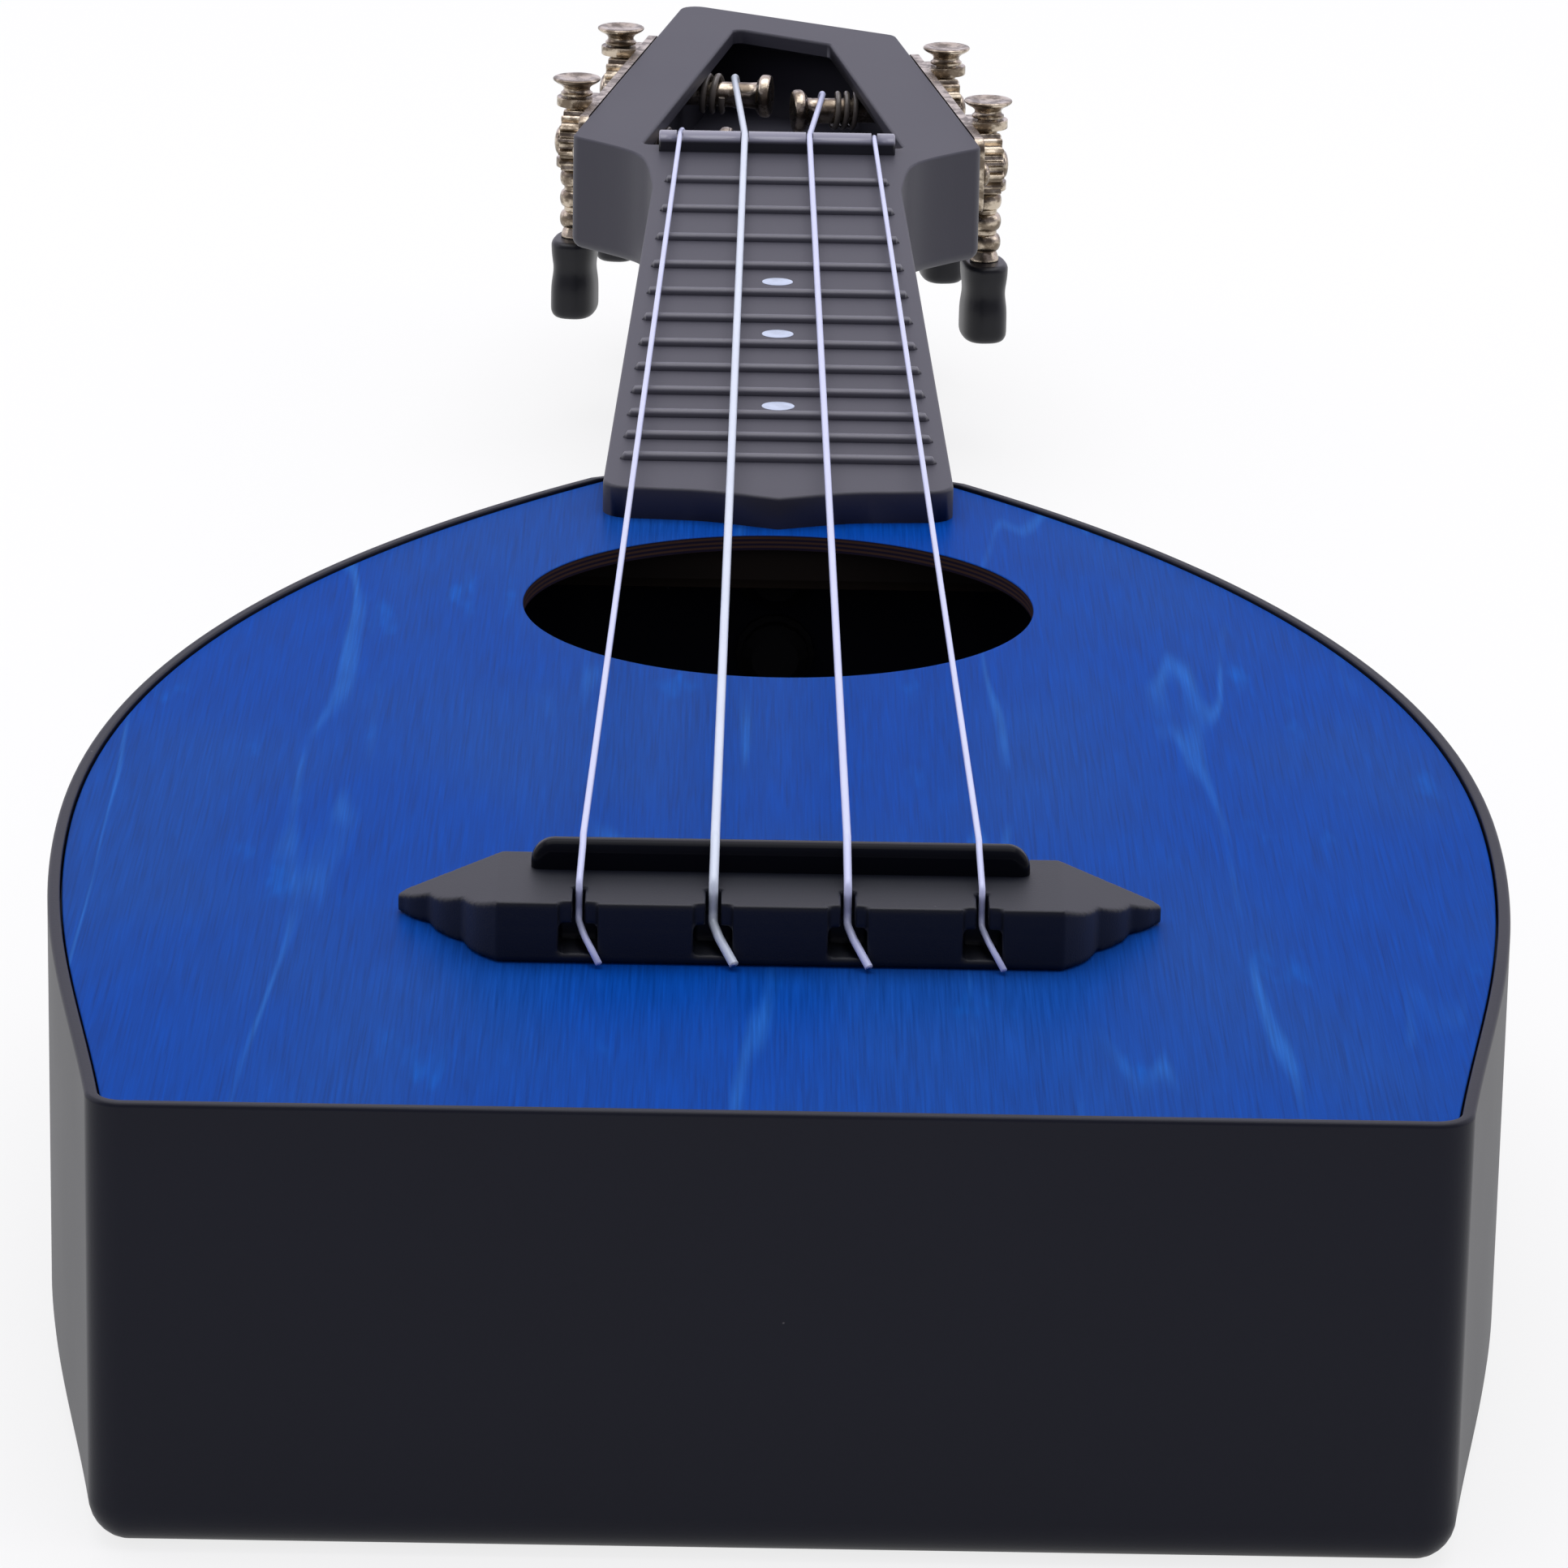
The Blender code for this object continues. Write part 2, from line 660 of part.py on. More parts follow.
def place(target):
    """Move a piece that was modelled from the nut to its place in the scene."""
    target.data.transform(Matrix.Translation(at(0, 0, 0)))
    return target


# Body


def make_body_shell(finish):
    """Back and sides in one moulding, with a rim round the inset top."""
    outline = body_outline()
    shell = place(prism("body_shell", [outline], -BODY_DEPTH, RIM_HEIGHT, finish))
    low = TOP_Z - BODY_DEPTH + BACK_EDGE_RADIUS / 2
    round_edges(shell, BACK_EDGE_RADIUS, 3, lambda point: point.z < low)
    rebate = prism("top_rebate", [offset(outline, RIM_WIDTH)], REBATE_FLOOR, BOARD_TOP, cutter=True)
    combine(shell, place(rebate))
    cavity_outline = clipped(offset(outline, WALL), SHOULDER_Y - NECK_BLOCK_LENGTH)
    cavity = prism("body_cavity", [cavity_outline], CAVITY_FLOOR, BOARD_TOP, cutter=True)
    combine(shell, place(cavity))
    notch_outline = offset(board_outline(), -SEAT_GAP)
    notch = prism("board_notch", [notch_outline], NECK_TOP, BOARD_TOP, cutter=True)
    combine(shell, place(notch))
    for index, height in enumerate(SCREW_HEIGHTS):
        hole = rod(
            f"neck_block_hole_{index + 1}",
            (0, SHOULDER_Y - NECK_BLOCK_LENGTH - CUT_OVER, height),
            (0, SHOULDER_Y + CUT_OVER, height),
            SCREW_RADIUS + RUNNING_GAP,
            cutter=True,
        )
        combine(shell, place(hole))
    smooth(shell)
    return shell


def make_top(finish, brace_finish):
    """Plywood top with its sound hole, two braces and the patch under the bridge."""
    plate_outline = offset(body_outline(), RIM_WIDTH + SEAT_GAP)
    hole = circle(SOUND_HOLE_RADIUS, ROUND_STEPS, (0, SOUND_HOLE_Y))
    plate = prism("top_plate", [plate_outline, hole], TOP_PLATE_BOTTOM, 0, finish)
    smooth(place(plate))
    brace_top = TOP_PLATE_BOTTOM - SEAT_GAP
    brace_reach = SOUND_HOLE_RADIUS + BRACE_MARGIN
    for name, y in (
        ("front_brace", SOUND_HOLE_Y + brace_reach),
        ("rear_brace", SOUND_HOLE_Y - brace_reach),
    ):
        room = min(body_half_width_at(y + side * BRACE_WIDTH / 2) for side in (-1, 1))
        half = room - WALL * 1.5 - BRACE_END_GAP
        brace = box(
            name,
            (-half, y - BRACE_WIDTH / 2, brace_top - BRACE_HEIGHT),
            (half, y + BRACE_WIDTH / 2, brace_top),
            brace_finish,
        )
        under = place(brace)
        low = TOP_Z + brace_top - BRACE_HEIGHT / 2
        round_edges(under, BRACE_WIDTH / 3, 2, lambda point, low=low: point.z < low)
    patch_y = (BRIDGE_REAR_Y + BRIDGE_FRONT_Y) / 2
    patch = box(
        "bridge_patch",
        (-PATCH_SIZE[0] / 2, patch_y - PATCH_SIZE[1] / 2, brace_top - PATCH_SIZE[2]),
        (PATCH_SIZE[0] / 2, patch_y + PATCH_SIZE[1] / 2, brace_top),
        brace_finish,
    )
    place(patch)


# Bridge and saddle


def string_x(name, y):
    """Place across of a string at a place along the instrument."""
    share = (STRING_NAMES.index(name) - 1.5) / 3
    spread = SPREAD_AT_NUT + (SPREAD_AT_BRIDGE - SPREAD_AT_NUT) * (-y / SCALE_LENGTH)
    return share * spread


def bridge_outline():
    """The bridge seen from above, its rear wings stepped in scallops."""
    tip = (BRIDGE_HALF_LENGTH - BRIDGE_TIP_RADIUS, BRIDGE_TIP_Y)
    right = [(BRIDGE_BLOCK_HALF - BRIDGE_FRONT_INSET, BRIDGE_FRONT_Y)]
    for step in range(5):
        angle = math.radians(90 - 22.5 * step)
        right.append(
            (
                tip[0] + BRIDGE_TIP_RADIUS * math.cos(angle),
                tip[1] + BRIDGE_TIP_RADIUS * math.sin(angle),
            )
        )
    start = Vector((BRIDGE_HALF_LENGTH, BRIDGE_FRONT_Y))
    end = Vector((BRIDGE_BLOCK_HALF, BRIDGE_REAR_Y))
    inward = Vector((end.y - start.y, start.x - end.x)).normalized()
    cusps = [start]
    for scallop in range(1, SCALLOPS):
        share = (scallop / SCALLOPS) ** SCALLOP_CROWDING
        cusps.append(start.lerp(end, share) + inward * SCALLOP_NOTCH)
    cusps.append(end)
    for scallop in range(SCALLOPS):
        for step in range(1 if scallop else 2, 5):
            t = step / 5
            bulge = SCALLOP_BULGE * math.sin(math.pi * t)
            right.append(tuple(cusps[scallop].lerp(cusps[scallop + 1], t) - inward * bulge))
        right.append(tuple(cusps[scallop + 1]))
    return right + [(-x, y) for x, y in reversed(right)]


def make_bridge(finish, saddle_finish):
    """Bridge with sloping top, tie slots in its rear face and a slot for the saddle."""
    tall = BRIDGE_FRONT_HEIGHT + CUT_OVER
    bridge = prism("bridge", [bridge_outline()], SEAT_GAP, tall, finish)
    over = CUT_OVER
    reach = BRIDGE_HALF_LENGTH + over
    slope = (BRIDGE_FRONT_HEIGHT - BRIDGE_REAR_HEIGHT) / (BRIDGE_FRONT_Y - BRIDGE_REAR_Y)
    side_profile = [
        (BRIDGE_REAR_Y - over, BRIDGE_REAR_HEIGHT - slope * over),
        (BRIDGE_FRONT_Y + over, BRIDGE_FRONT_HEIGHT + slope * over),
        (BRIDGE_FRONT_Y + over, tall + over),
        (BRIDGE_REAR_Y - over, tall + over),
    ]
    above = prism("above_bridge", [side_profile], -reach, reach, cutter=True)
    above.data.transform(SIDEWAYS)
    combine(bridge, above)
    wing_run = BRIDGE_HALF_LENGTH - BRIDGE_BLOCK_HALF + BRIDGE_WING_INSET
    for sign in (-1, 1):
        start = BRIDGE_BLOCK_HALF - BRIDGE_WING_INSET
        wing_profile = [
            (sign * start, BRIDGE_FRONT_HEIGHT + SEAT_GAP / 2),
            (sign * (start + wing_run), BRIDGE_TIP_HEIGHT),
            (sign * (start + wing_run + over), BRIDGE_TIP_HEIGHT),
            (sign * (start + wing_run + over), tall + over),
            (sign * start, tall + over),
        ]
        wing = prism(
            f"above_wing_{'left' if sign < 0 else 'right'}",
            [wing_profile],
            BRIDGE_REAR_Y - over,
            BRIDGE_FRONT_Y + over,
            cutter=True,
        )
        wing.data.transform(UPRIGHT)
        flip(wing.data)
        combine(bridge, wing)
    slot_half = SADDLE_HALF_LENGTH + SADDLE_SLOT_EXTRA
    slot = box(
        "saddle_slot",
        (-slot_half, SADDLE_REAR_Y - SEAT_GAP, SADDLE_SEAT),
        (slot_half, SADDLE_FRONT_Y + SEAT_GAP, tall),
        cutter=True,
    )
    combine(bridge, slot)
    half = TIE_RECESS_WIDTH / 2
    for name in STRING_NAMES:
        x = string_x(name, BRIDGE_REAR_Y)
        recess = box(
            f"tie_recess_{name}",
            (x - half, BRIDGE_REAR_Y - CUT_PAST, TIE_HOLE_FLOOR),
            (x + half, BRIDGE_REAR_Y + TIE_RECESS_DEPTH, tall),
            cutter=True,
        )
        combine(bridge, recess)
        hole = box(
            f"tie_hole_{name}",
            (x - half, BRIDGE_REAR_Y - CUT_PAST, TIE_HOLE_FLOOR),
            (x + half, BRIDGE_REAR_Y + TIE_HOLE_DEPTH, TIE_HOLE_TOP),
            cutter=True,
        )
        combine(bridge, hole)
        slit = STRING_RADIUS[name] + TIE_SLOT_CLEARANCE
        narrow = box(
            f"tie_slot_{name}",
            (x - slit, BRIDGE_REAR_Y - CUT_PAST, TIE_HOLE_TOP - CUT_PAST),
            (x + slit, BRIDGE_REAR_Y + TIE_SLOT_LENGTH, tall),
            cutter=True,
        )
        combine(bridge, narrow)
    for piece in [bridge] + [m.object for m in bridge.modifiers]:
        place(piece)
    smooth(bridge)
    saddle_bottom = SADDLE_SEAT + SEAT_GAP
    corner = SADDLE_THICKNESS * 0.9
    face = rounded(
        [
            (-SADDLE_HALF_LENGTH, saddle_bottom, SADDLE_FOOT_RADIUS),
            (SADDLE_HALF_LENGTH, saddle_bottom, SADDLE_FOOT_RADIUS),
            (SADDLE_HALF_LENGTH, SADDLE_TOP, corner),
            (-SADDLE_HALF_LENGTH, SADDLE_TOP, corner),
        ]
    )
    front_view = prism("saddle_front_view", [face], SADDLE_REAR_Y - over, BRIDGE_FRONT_Y, cutter=True)
    front_view.data.transform(UPRIGHT)
    flip(front_view.data)
    crest = SADDLE_THICKNESS * 0.4
    section = rounded(
        [
            (SADDLE_REAR_Y, saddle_bottom, 0),
            (SADDLE_FRONT_Y, saddle_bottom, 0),
            (SADDLE_FRONT_Y, SADDLE_TOP, crest),
            (SADDLE_REAR_Y, SADDLE_TOP, crest),
        ]
    )
    long = SADDLE_HALF_LENGTH + CUT_PAST
    saddle = prism("saddle", [section], -long, long, saddle_finish)
    saddle.data.transform(SIDEWAYS)
    combine(saddle, front_view, "INTERSECT")
    place(saddle)
    place(front_view)
    smooth(saddle)


def flip(mesh):
    """Turn a mesh's faces to point outwards after it was mirrored."""
    shape = bmesh.new()
    shape.from_mesh(mesh)
    bmesh.ops.recalc_face_normals(shape, faces=shape.faces)
    shape.to_mesh(mesh)
    shape.free()


# Neck, fingerboard and nut


def neck_section(y, depth, foot_share):
    """One cross section of the neck, from its left top edge under to its right one."""
    half = board_half_width(y)
    points = []
    for step in range(NECK_ARC_STEPS + 1):
        angle = math.pi * step / NECK_ARC_STEPS
        across = -math.cos(angle)
        down = math.sin(angle)
        share = abs(down) ** 0.8
        width = half * (1 - (1 - foot_share) * share)
        x = width * math.copysign(abs(across) ** 0.85, across)
        points.append((x, y, NECK_TOP - depth * share))
    return points


def neck_depth(y):
    """Depth of the neck at a place along it, with the heel growing towards the body."""
    share = y / SHOULDER_Y
    plain = NECK_DEPTH_AT_NUT + (NECK_DEPTH_AT_BODY - NECK_DEPTH_AT_NUT) * min(share, 1)
    into_heel = (SHOULDER_Y + HEEL_LENGTH - y) / HEEL_LENGTH
    if into_heel <= 0:
        return plain, 1.0
    into_heel = min(into_heel, 1.0)
    swell = into_heel ** 2.6
    foot = 1 - (1 - HEEL_FOOT_SHARE) * into_heel ** 1.5
    return plain + (HEEL_DEPTH - plain) * swell, foot


def make_neck(finish):
    """Neck, heel and hollow headstock in one moulding."""
    start = NECK_INTO_HEAD
    end = SHOULDER_Y - 2 * CUT_OVER
    stations = [start + (SHOULDER_Y + HEEL_LENGTH - start) * step / 4 for step in range(4)]
    heel_steps = NECK_STEPS - 5
    heel_start = SHOULDER_Y + HEEL_LENGTH
    stations += [heel_start - HEEL_LENGTH * step / heel_steps for step in range(heel_steps + 1)]
    stations.append(end)
    shape = bmesh.new()
    rings = []
    for y in stations:
        depth, foot = neck_depth(y)
        rings.append([shape.verts.new(point) for point in neck_section(y, depth, foot)])
    count = len(rings[0])
    for one, other in zip(rings, rings[1:]):
        for index in range(count):
            follow = (index + 1) % count
            shape.faces.new((one[index], one[follow], other[follow], other[index]))
    shape.faces.new(rings[0])
    shape.faces.new(rings[-1])
    bmesh.ops.recalc_face_normals(shape, faces=shape.faces)
    mesh = bpy.data.meshes.new("neck")
    shape.to_mesh(mesh)
    shape.free()
    neck = place(put("neck", mesh, finish))
    head = prism("head_block", [head_outline()], NECK_TOP - HEAD_DEPTH, NECK_TOP, cutter=True)
    low = TOP_Z + NECK_TOP - HEAD_DEPTH / 2
    round_edges(place(head), HEAD_EDGE_RADIUS, 2, lambda point: point.z < low)
    combine(neck, head, "UNION")
    floor = NECK_TOP - HEAD_DEPTH + HEAD_FLOOR
    inside = hollow_outline(NUT_LENGTH + SEAT_GAP)
    hollow = prism("head_hollow", [inside], floor, BOARD_TOP, cutter=True)
    combine(neck, place(hollow))
    seat = offset(body_outline(), -SEAT_GAP)
    body_space = prism("body_space", [seat], -BODY_DEPTH - CUT_OVER, BOARD_TOP, cutter=True)
    combine(neck, place(body_space))
    for index, height in enumerate(SCREW_HEIGHTS):
        hole = rod(
            f"heel_hole_{index + 1}",
            (0, SHOULDER_Y - CUT_OVER, height),
            (0, SHOULDER_Y + SCREW_DEPTH_IN_HEEL + CUT_PAST, height),
            SCREW_RADIUS + RUNNING_GAP,
            cutter=True,
        )
        combine(neck, place(hole))
    smooth(neck)
    return neck


def make_fingerboard(finish):
    """Fingerboard with moulded frets and the headstock's face, in one moulding."""
    board = place(prism("fingerboard", [board_outline()], BOARD_BOTTOM, BOARD_TOP, finish))
    high = TOP_Z + BOARD_TOP - BOARD_EDGE_RADIUS / 2
    round_edges(board, BOARD_EDGE_RADIUS, 2, lambda point: point.z > high)
    frets = []
    for number in range(1, FRETS + 1):
        y = fret_y(number)
        half = board_half_width(y) - FRET_END_INSET
        radius = (FRET_HALF_WIDTH ** 2 + FRET_HEIGHT ** 2) / (2 * FRET_HEIGHT)
        centre = BOARD_TOP + FRET_HEIGHT - radius
        frets.append(
            rod(f"fret_{number}", (-half, y, centre), (half, y, centre), radius, steps=FRET_STEPS)
        )
    combine(board, place(join_meshes("frets", frets)), "UNION")
    window = prism("window", [window_outline()], -CUT_PAST, BOARD_TOP + CUT_OVER, cutter=True)
    combine(board, place(window))
    inside = hollow_outline(NUT_LENGTH + SEAT_GAP + WINDOW_CORNER_RADIUS)
    ceiling = BOARD_TOP - FACE_THICKNESS
    under = prism("face_hollow", [inside], -CUT_PAST, ceiling, cutter=True)
    combine(board, place(under))
    nut_half = BOARD_HALF_AT_NUT + SEAT_GAP
    seat = box(
        "nut_seat",
        (-nut_half, -SEAT_GAP, BOARD_TOP - NUT_SEAT),
        (nut_half, NUT_LENGTH + CUT_PAST, BOARD_TOP + CUT_OVER),
        cutter=True,
    )
    combine(board, place(seat))
    for number in DOT_FRETS:
        y = (fret_y(number) + fret_y(number - 1)) / 2
        pocket = rod(
            f"dot_pocket_{number}",
            (0, y, BOARD_TOP - DOT_THICKNESS - SEAT_GAP),
            (0, y, BOARD_TOP + CUT_PAST),
            DOT_RADIUS + SEAT_GAP,
            cutter=True,
            steps=DOT_STEPS,
        )
        combine(board, place(pocket))
    smooth(board)
    return board


def make_dots(finish):
    """Three inlaid position dots."""
    for number in DOT_FRETS:
        y = (fret_y(number) + fret_y(number - 1)) / 2
        dot = rod(
            f"position_dot_{number}",
            (0, y, BOARD_TOP - DOT_THICKNESS),
            (0, y, BOARD_TOP + DOT_PROUD),
            DOT_RADIUS,
            finish,
            steps=DOT_STEPS,
        )
        smooth(place(dot))


def string_z_at_nut(name):
    """Height of a string's middle over the nut."""
    return STRING_FLOOR_AT_NUT + SEAT_GAP + STRING_RADIUS[name]


def make_nut(finish):
    """Nut with a rounded back and four string slots."""
    bottom = BOARD_TOP - NUT_SEAT + SEAT_GAP
    crown = [
        (0, bottom),
        (NUT_LENGTH, bottom),
        (NUT_LENGTH, NUT_TOP - NUT_ROUND),
        (NUT_LENGTH * 0.85, NUT_TOP - NUT_ROUND * 0.43),
        (NUT_LENGTH * 0.55, NUT_TOP - NUT_ROUND * 0.07),
        (NUT_LENGTH * 0.25, NUT_TOP),
        (NUT_LENGTH * 0.07, NUT_TOP - NUT_ROUND * 0.04),
        (0, NUT_TOP - NUT_ROUND * 0.25),
    ]
    half = BOARD_HALF_AT_NUT - SEAT_GAP / 2
    nut = prism("nut", [crown], -half, half, finish)
    nut.data.transform(SIDEWAYS)
    place(nut)
    for name in STRING_NAMES:
        width = STRING_RADIUS[name] + NUT_SLOT_CLEARANCE
        start = string_x(name, 0)
        slot = box(
            f"nut_slot_{name}",
            (start - width, -CUT_PAST, STRING_FLOOR_AT_NUT),
            (start + width, NUT_LENGTH + CUT_PAST, NUT_TOP + CUT_PAST),
            cutter=True,
        )
        for vertex in slot.data.vertices:
            if vertex.co.y > NUT_LENGTH and vertex.co.z < NUT_TOP:
                vertex.co.z -= NUT_SLOT_FALL
        combine(nut, place(slot))
    smooth(nut)


def make_neck_screws(finish):
    """Two screws through the neck block into the heel, each with a washer."""
    block_face = SHOULDER_Y - NECK_BLOCK_LENGTH
    for height, name in zip(SCREW_HEIGHTS, ("upper", "lower")):
        washer_start = block_face - SEAT_GAP - WASHER_THICKNESS
        washer = turned(
            f"neck_washer_{name}",
            [
                (SCREW_RADIUS + RUNNING_GAP, WASHER_THICKNESS),
                (WASHER_RADIUS, WASHER_THICKNESS),
                (WASHER_RADIUS, 0),
                (SCREW_RADIUS + RUNNING_GAP, 0),
            ],
            finish,
        )
        washer.rotation_euler = (-math.pi / 2, 0, 0)
        washer.location = at(0, washer_start, height)
        smooth(washer)
        head_start = washer_start - SEAT_GAP - SCREW_HEAD_HEIGHT
        tip = SHOULDER_Y + SCREW_DEPTH_IN_HEEL - head_start
        head = SCREW_HEAD_HEIGHT
        screw = turned(
            f"neck_screw_{name}",
            [
                (0, tip),
                (SCREW_RADIUS * 0.5, tip),
                (SCREW_RADIUS, tip - SCREW_RADIUS),
                (SCREW_RADIUS, head),
                (SCREW_HEAD_RADIUS, head),
                (SCREW_HEAD_RADIUS, head * 0.4),
                (SCREW_HEAD_RADIUS * 0.7, 0),
                (0, 0),
            ],
            finish,
        )
        screw.rotation_euler = (-math.pi / 2, 0, 0)
        screw.location = at(0, head_start, height)
        smooth(screw)


# Tuners


def side_frame(side):
    """Empty on the headstock's side: its X runs along the side, its Y points out."""
    wide = HEAD_LEFT_WIDE if side == "left" else HEAD_RIGHT_WIDE
    end = HEAD_LEFT_END if side == "left" else HEAD_RIGHT_END
    along = (Vector(end) - Vector(wide)).normalized()
    if side == "right":
        along.negate()
    frame = bpy.data.objects.new(f"tuner_frame_{side}", None)
    bpy.data.collections[COLLECTION].objects.link(frame)
    frame.location = at(wide[0], wide[1], 0)
    frame.rotation_euler = (0, 0, math.atan2(along.y, along.x))
    return frame


def side_sign(side):
    """Which way the side's own X runs: +1 to the headstock's end, -1 to the nut."""
    return 1 if side == "left" else -1


def make_strip(side, frame, finish, head_pieces):
    """Mounting strip with a pair of lugs for each worm, and its three screws."""
    sign = side_sign(side)
    first = FIRST_WORM[side]
    second = first + TUNER_SPACING
    low_end = (first - STRIP_BEFORE) * sign
    high_end = (second + STRIP_AFTER) * sign
    bottom = TUNER_HEIGHT - STRIP_HEIGHT / 2
    top = TUNER_HEIGHT + STRIP_HEIGHT / 2
    face = rounded(
        [
            (min(low_end, high_end), bottom, STRIP_CORNER_RADIUS),
            (max(low_end, high_end), bottom, STRIP_CORNER_RADIUS),
            (max(low_end, high_end), top, STRIP_CORNER_RADIUS),
            (min(low_end, high_end), top, STRIP_CORNER_RADIUS),
        ]
    )
    first_screw = first - WORM_TO_GEAR - GEAR_TIP_RADIUS - STRIP_SCREW_HEAD - RUNNING_GAP
    middle_screw = (first + second - WORM_TO_GEAR - GEAR_TIP_RADIUS + TAB_RADIUS) / 2
    last_screw = second + TAB_RADIUS + STRIP_SCREW_HEAD + STRIP_SCREW_MARGIN
    screw_places = [spot * sign for spot in (first_screw, middle_screw, last_screw)]
    roller_places = [(spot - WORM_TO_GEAR) * sign for spot in (first, second)]
    screw_hole = STRIP_SCREW_RADIUS + RUNNING_GAP
    roller_hole = ROLLER_JOURNAL_RADIUS + RUNNING_GAP
    holes = [circle(screw_hole, SCREW_STEPS, (x, TUNER_HEIGHT)) for x in screw_places]
    holes += [circle(roller_hole, SMALL_ROUND_STEPS, (x, TUNER_HEIGHT)) for x in roller_places]
    strip_face = SEAT_GAP + STRIP_THICKNESS
    strip = prism(f"tuner_strip_{side}", [face] + holes, SEAT_GAP, strip_face, finish)
    strip.data.transform(UPRIGHT)
    flip(strip.data)
    strip.parent = frame
    lugs = make_lugs(side, [first * sign, second * sign])
    lugs.parent = frame
    combine(strip, lugs, "UNION")
    smooth(strip)
    wall_holes = []
    for index, x in enumerate(roller_places):
        wall_holes.append(
            rod(
                f"roller_hole_{side}_{index + 1}",
                (x, -HEAD_WALL - CUT_OVER, TUNER_HEIGHT),
                (x, CUT_OVER, TUNER_HEIGHT),
                roller_hole,
            )
        )
    for index, x in enumerate(screw_places):
        wall_holes.append(
            rod(
                f"screw_hole_{side}_{index + 1}",
                (x, -STRIP_SCREW_LENGTH - RUNNING_GAP, TUNER_HEIGHT),
                (x, CUT_OVER, TUNER_HEIGHT),
                screw_hole,
                steps=SCREW_STEPS,
            )
        )
    wall_cutter = join_meshes(f"tuner_holes_{side}", wall_holes)
    wall_cutter.parent = frame
    for piece in head_pieces:
        combine(piece, wall_cutter)
    seat = STRIP_SCREW_LENGTH + 2 * SEAT_GAP + STRIP_THICKNESS
    for index, x in enumerate(screw_places):
        screw = turned(
            f"strip_screw_{side}_{index + 1}",
            [
                (0, seat + STRIP_SCREW_HEAD_HEIGHT),
                (STRIP_SCREW_HEAD * 0.6, seat + STRIP_SCREW_HEAD_HEIGHT * 0.9),
                (STRIP_SCREW_HEAD, seat + STRIP_SCREW_HEAD_HEIGHT * 0.4),
                (STRIP_SCREW_HEAD, seat),
                (STRIP_SCREW_RADIUS, seat),
                (STRIP_SCREW_RADIUS, STRIP_SCREW_RADIUS),
                (0, 0),
            ],
            finish,
            steps=SCREW_STEPS,
        )
        screw.parent = frame
        screw.location = (x, -STRIP_SCREW_LENGTH, TUNER_HEIGHT)
        screw.rotation_euler = (-math.pi / 2, 0, 0)
        smooth(screw)


def make_lugs(side, worm_places):
    """The four bored lugs of a strip, which hold its two worms."""
    near = SEAT_GAP + STRIP_THICKNESS / 2
    far = WORM_STAND_OFF
    lug_offset = WORM_HALF_LENGTH + RUNNING_GAP + TAB_THICKNESS / 2
    lugs = []
    for index, x in enumerate(worm_places):
        arc = [
            (
                x + TAB_RADIUS * math.cos(math.pi * step / 8),
                far + TAB_RADIUS * math.sin(math.pi * step / 8),
            )
            for step in range(9)
        ]
        outline = [(x - TAB_RADIUS, near), (x + TAB_RADIUS, near)] + arc
        bore = circle(JOURNAL_RADIUS + RUNNING_GAP, SMALL_ROUND_STEPS, (x, far))
        for middle in (TUNER_HEIGHT + lug_offset, TUNER_HEIGHT - lug_offset):
            low = middle - TAB_THICKNESS / 2
            lugs.append(prism(f"lug_{side}_{index + 1}", [outline, bore], low, low + TAB_THICKNESS))
    return join_meshes(f"lugs_{side}", lugs)


def worm_profile():
    """Turned shape of a worm shaft from its flared top down to the button's tenon."""
    crest, core, journal = WORM_CREST, WORM_CORE, JOURNAL_RADIUS
    lug_top = TUNER_HEIGHT + WORM_HALF_LENGTH + 2 * RUNNING_GAP + TAB_THICKNESS
    profile = [
        (0, FLARE_TOP - FLARE_RADIUS * 0.12),
        (FLARE_RADIUS * 0.92, FLARE_TOP),
        (FLARE_RADIUS, FLARE_TOP - FLARE_RADIUS * 0.12),
        (FLARE_RADIUS * 0.72, FLARE_TOP - FLARE_RADIUS * 0.3),
        (FLARE_RADIUS * 0.54, FLARE_TOP - FLARE_RADIUS * 0.55),
        (BEAD_RADIUS, lug_top + BEAD_RADIUS * 0.15),
        (BEAD_RADIUS, lug_top),
        (journal, lug_top),
    ]
    worm_top = TUNER_HEIGHT + WORM_HALF_LENGTH
    profile.append((journal, worm_top))
    pitch = 2 * WORM_HALF_LENGTH / WORM_RINGS
    for ring in range(WORM_RINGS):
        top = worm_top - ring * pitch
        profile += [(crest, top - pitch * 0.35), (core, top - pitch * 0.85)]
    lug_bottom = TUNER_HEIGHT - WORM_HALF_LENGTH - 2 * RUNNING_GAP - TAB_THICKNESS
    profile.append((journal, TUNER_HEIGHT - WORM_HALF_LENGTH - RUNNING_GAP))
    profile.append((journal, lug_bottom))
    first_bead = BUTTON_TOP + BEAD_PITCH * (BEADS - 0.1)
    waist = BEAD_RADIUS * 0.66
    for bead in range(BEADS):
        middle = first_bead - bead * BEAD_PITCH
        for angle in (-math.pi / 3, 0, math.pi / 3):
            profile.append(
                (
                    waist + (BEAD_RADIUS - waist) * math.cos(angle),
                    middle - math.sin(angle) * BEAD_PITCH * 0.42,
                )
            )
    collar = BUTTON_TOP + SEAT_GAP
    profile.append((BEAD_RADIUS * 0.9, collar + BEAD_RADIUS * 0.2))
    profile.append((BEAD_RADIUS * 0.9, collar))
    profile.append((TENON_RADIUS, collar))
    profile.append((TENON_RADIUS, BUTTON_TOP - TENON_LENGTH))
    profile.append((0, BUTTON_TOP - TENON_LENGTH))
    return profile


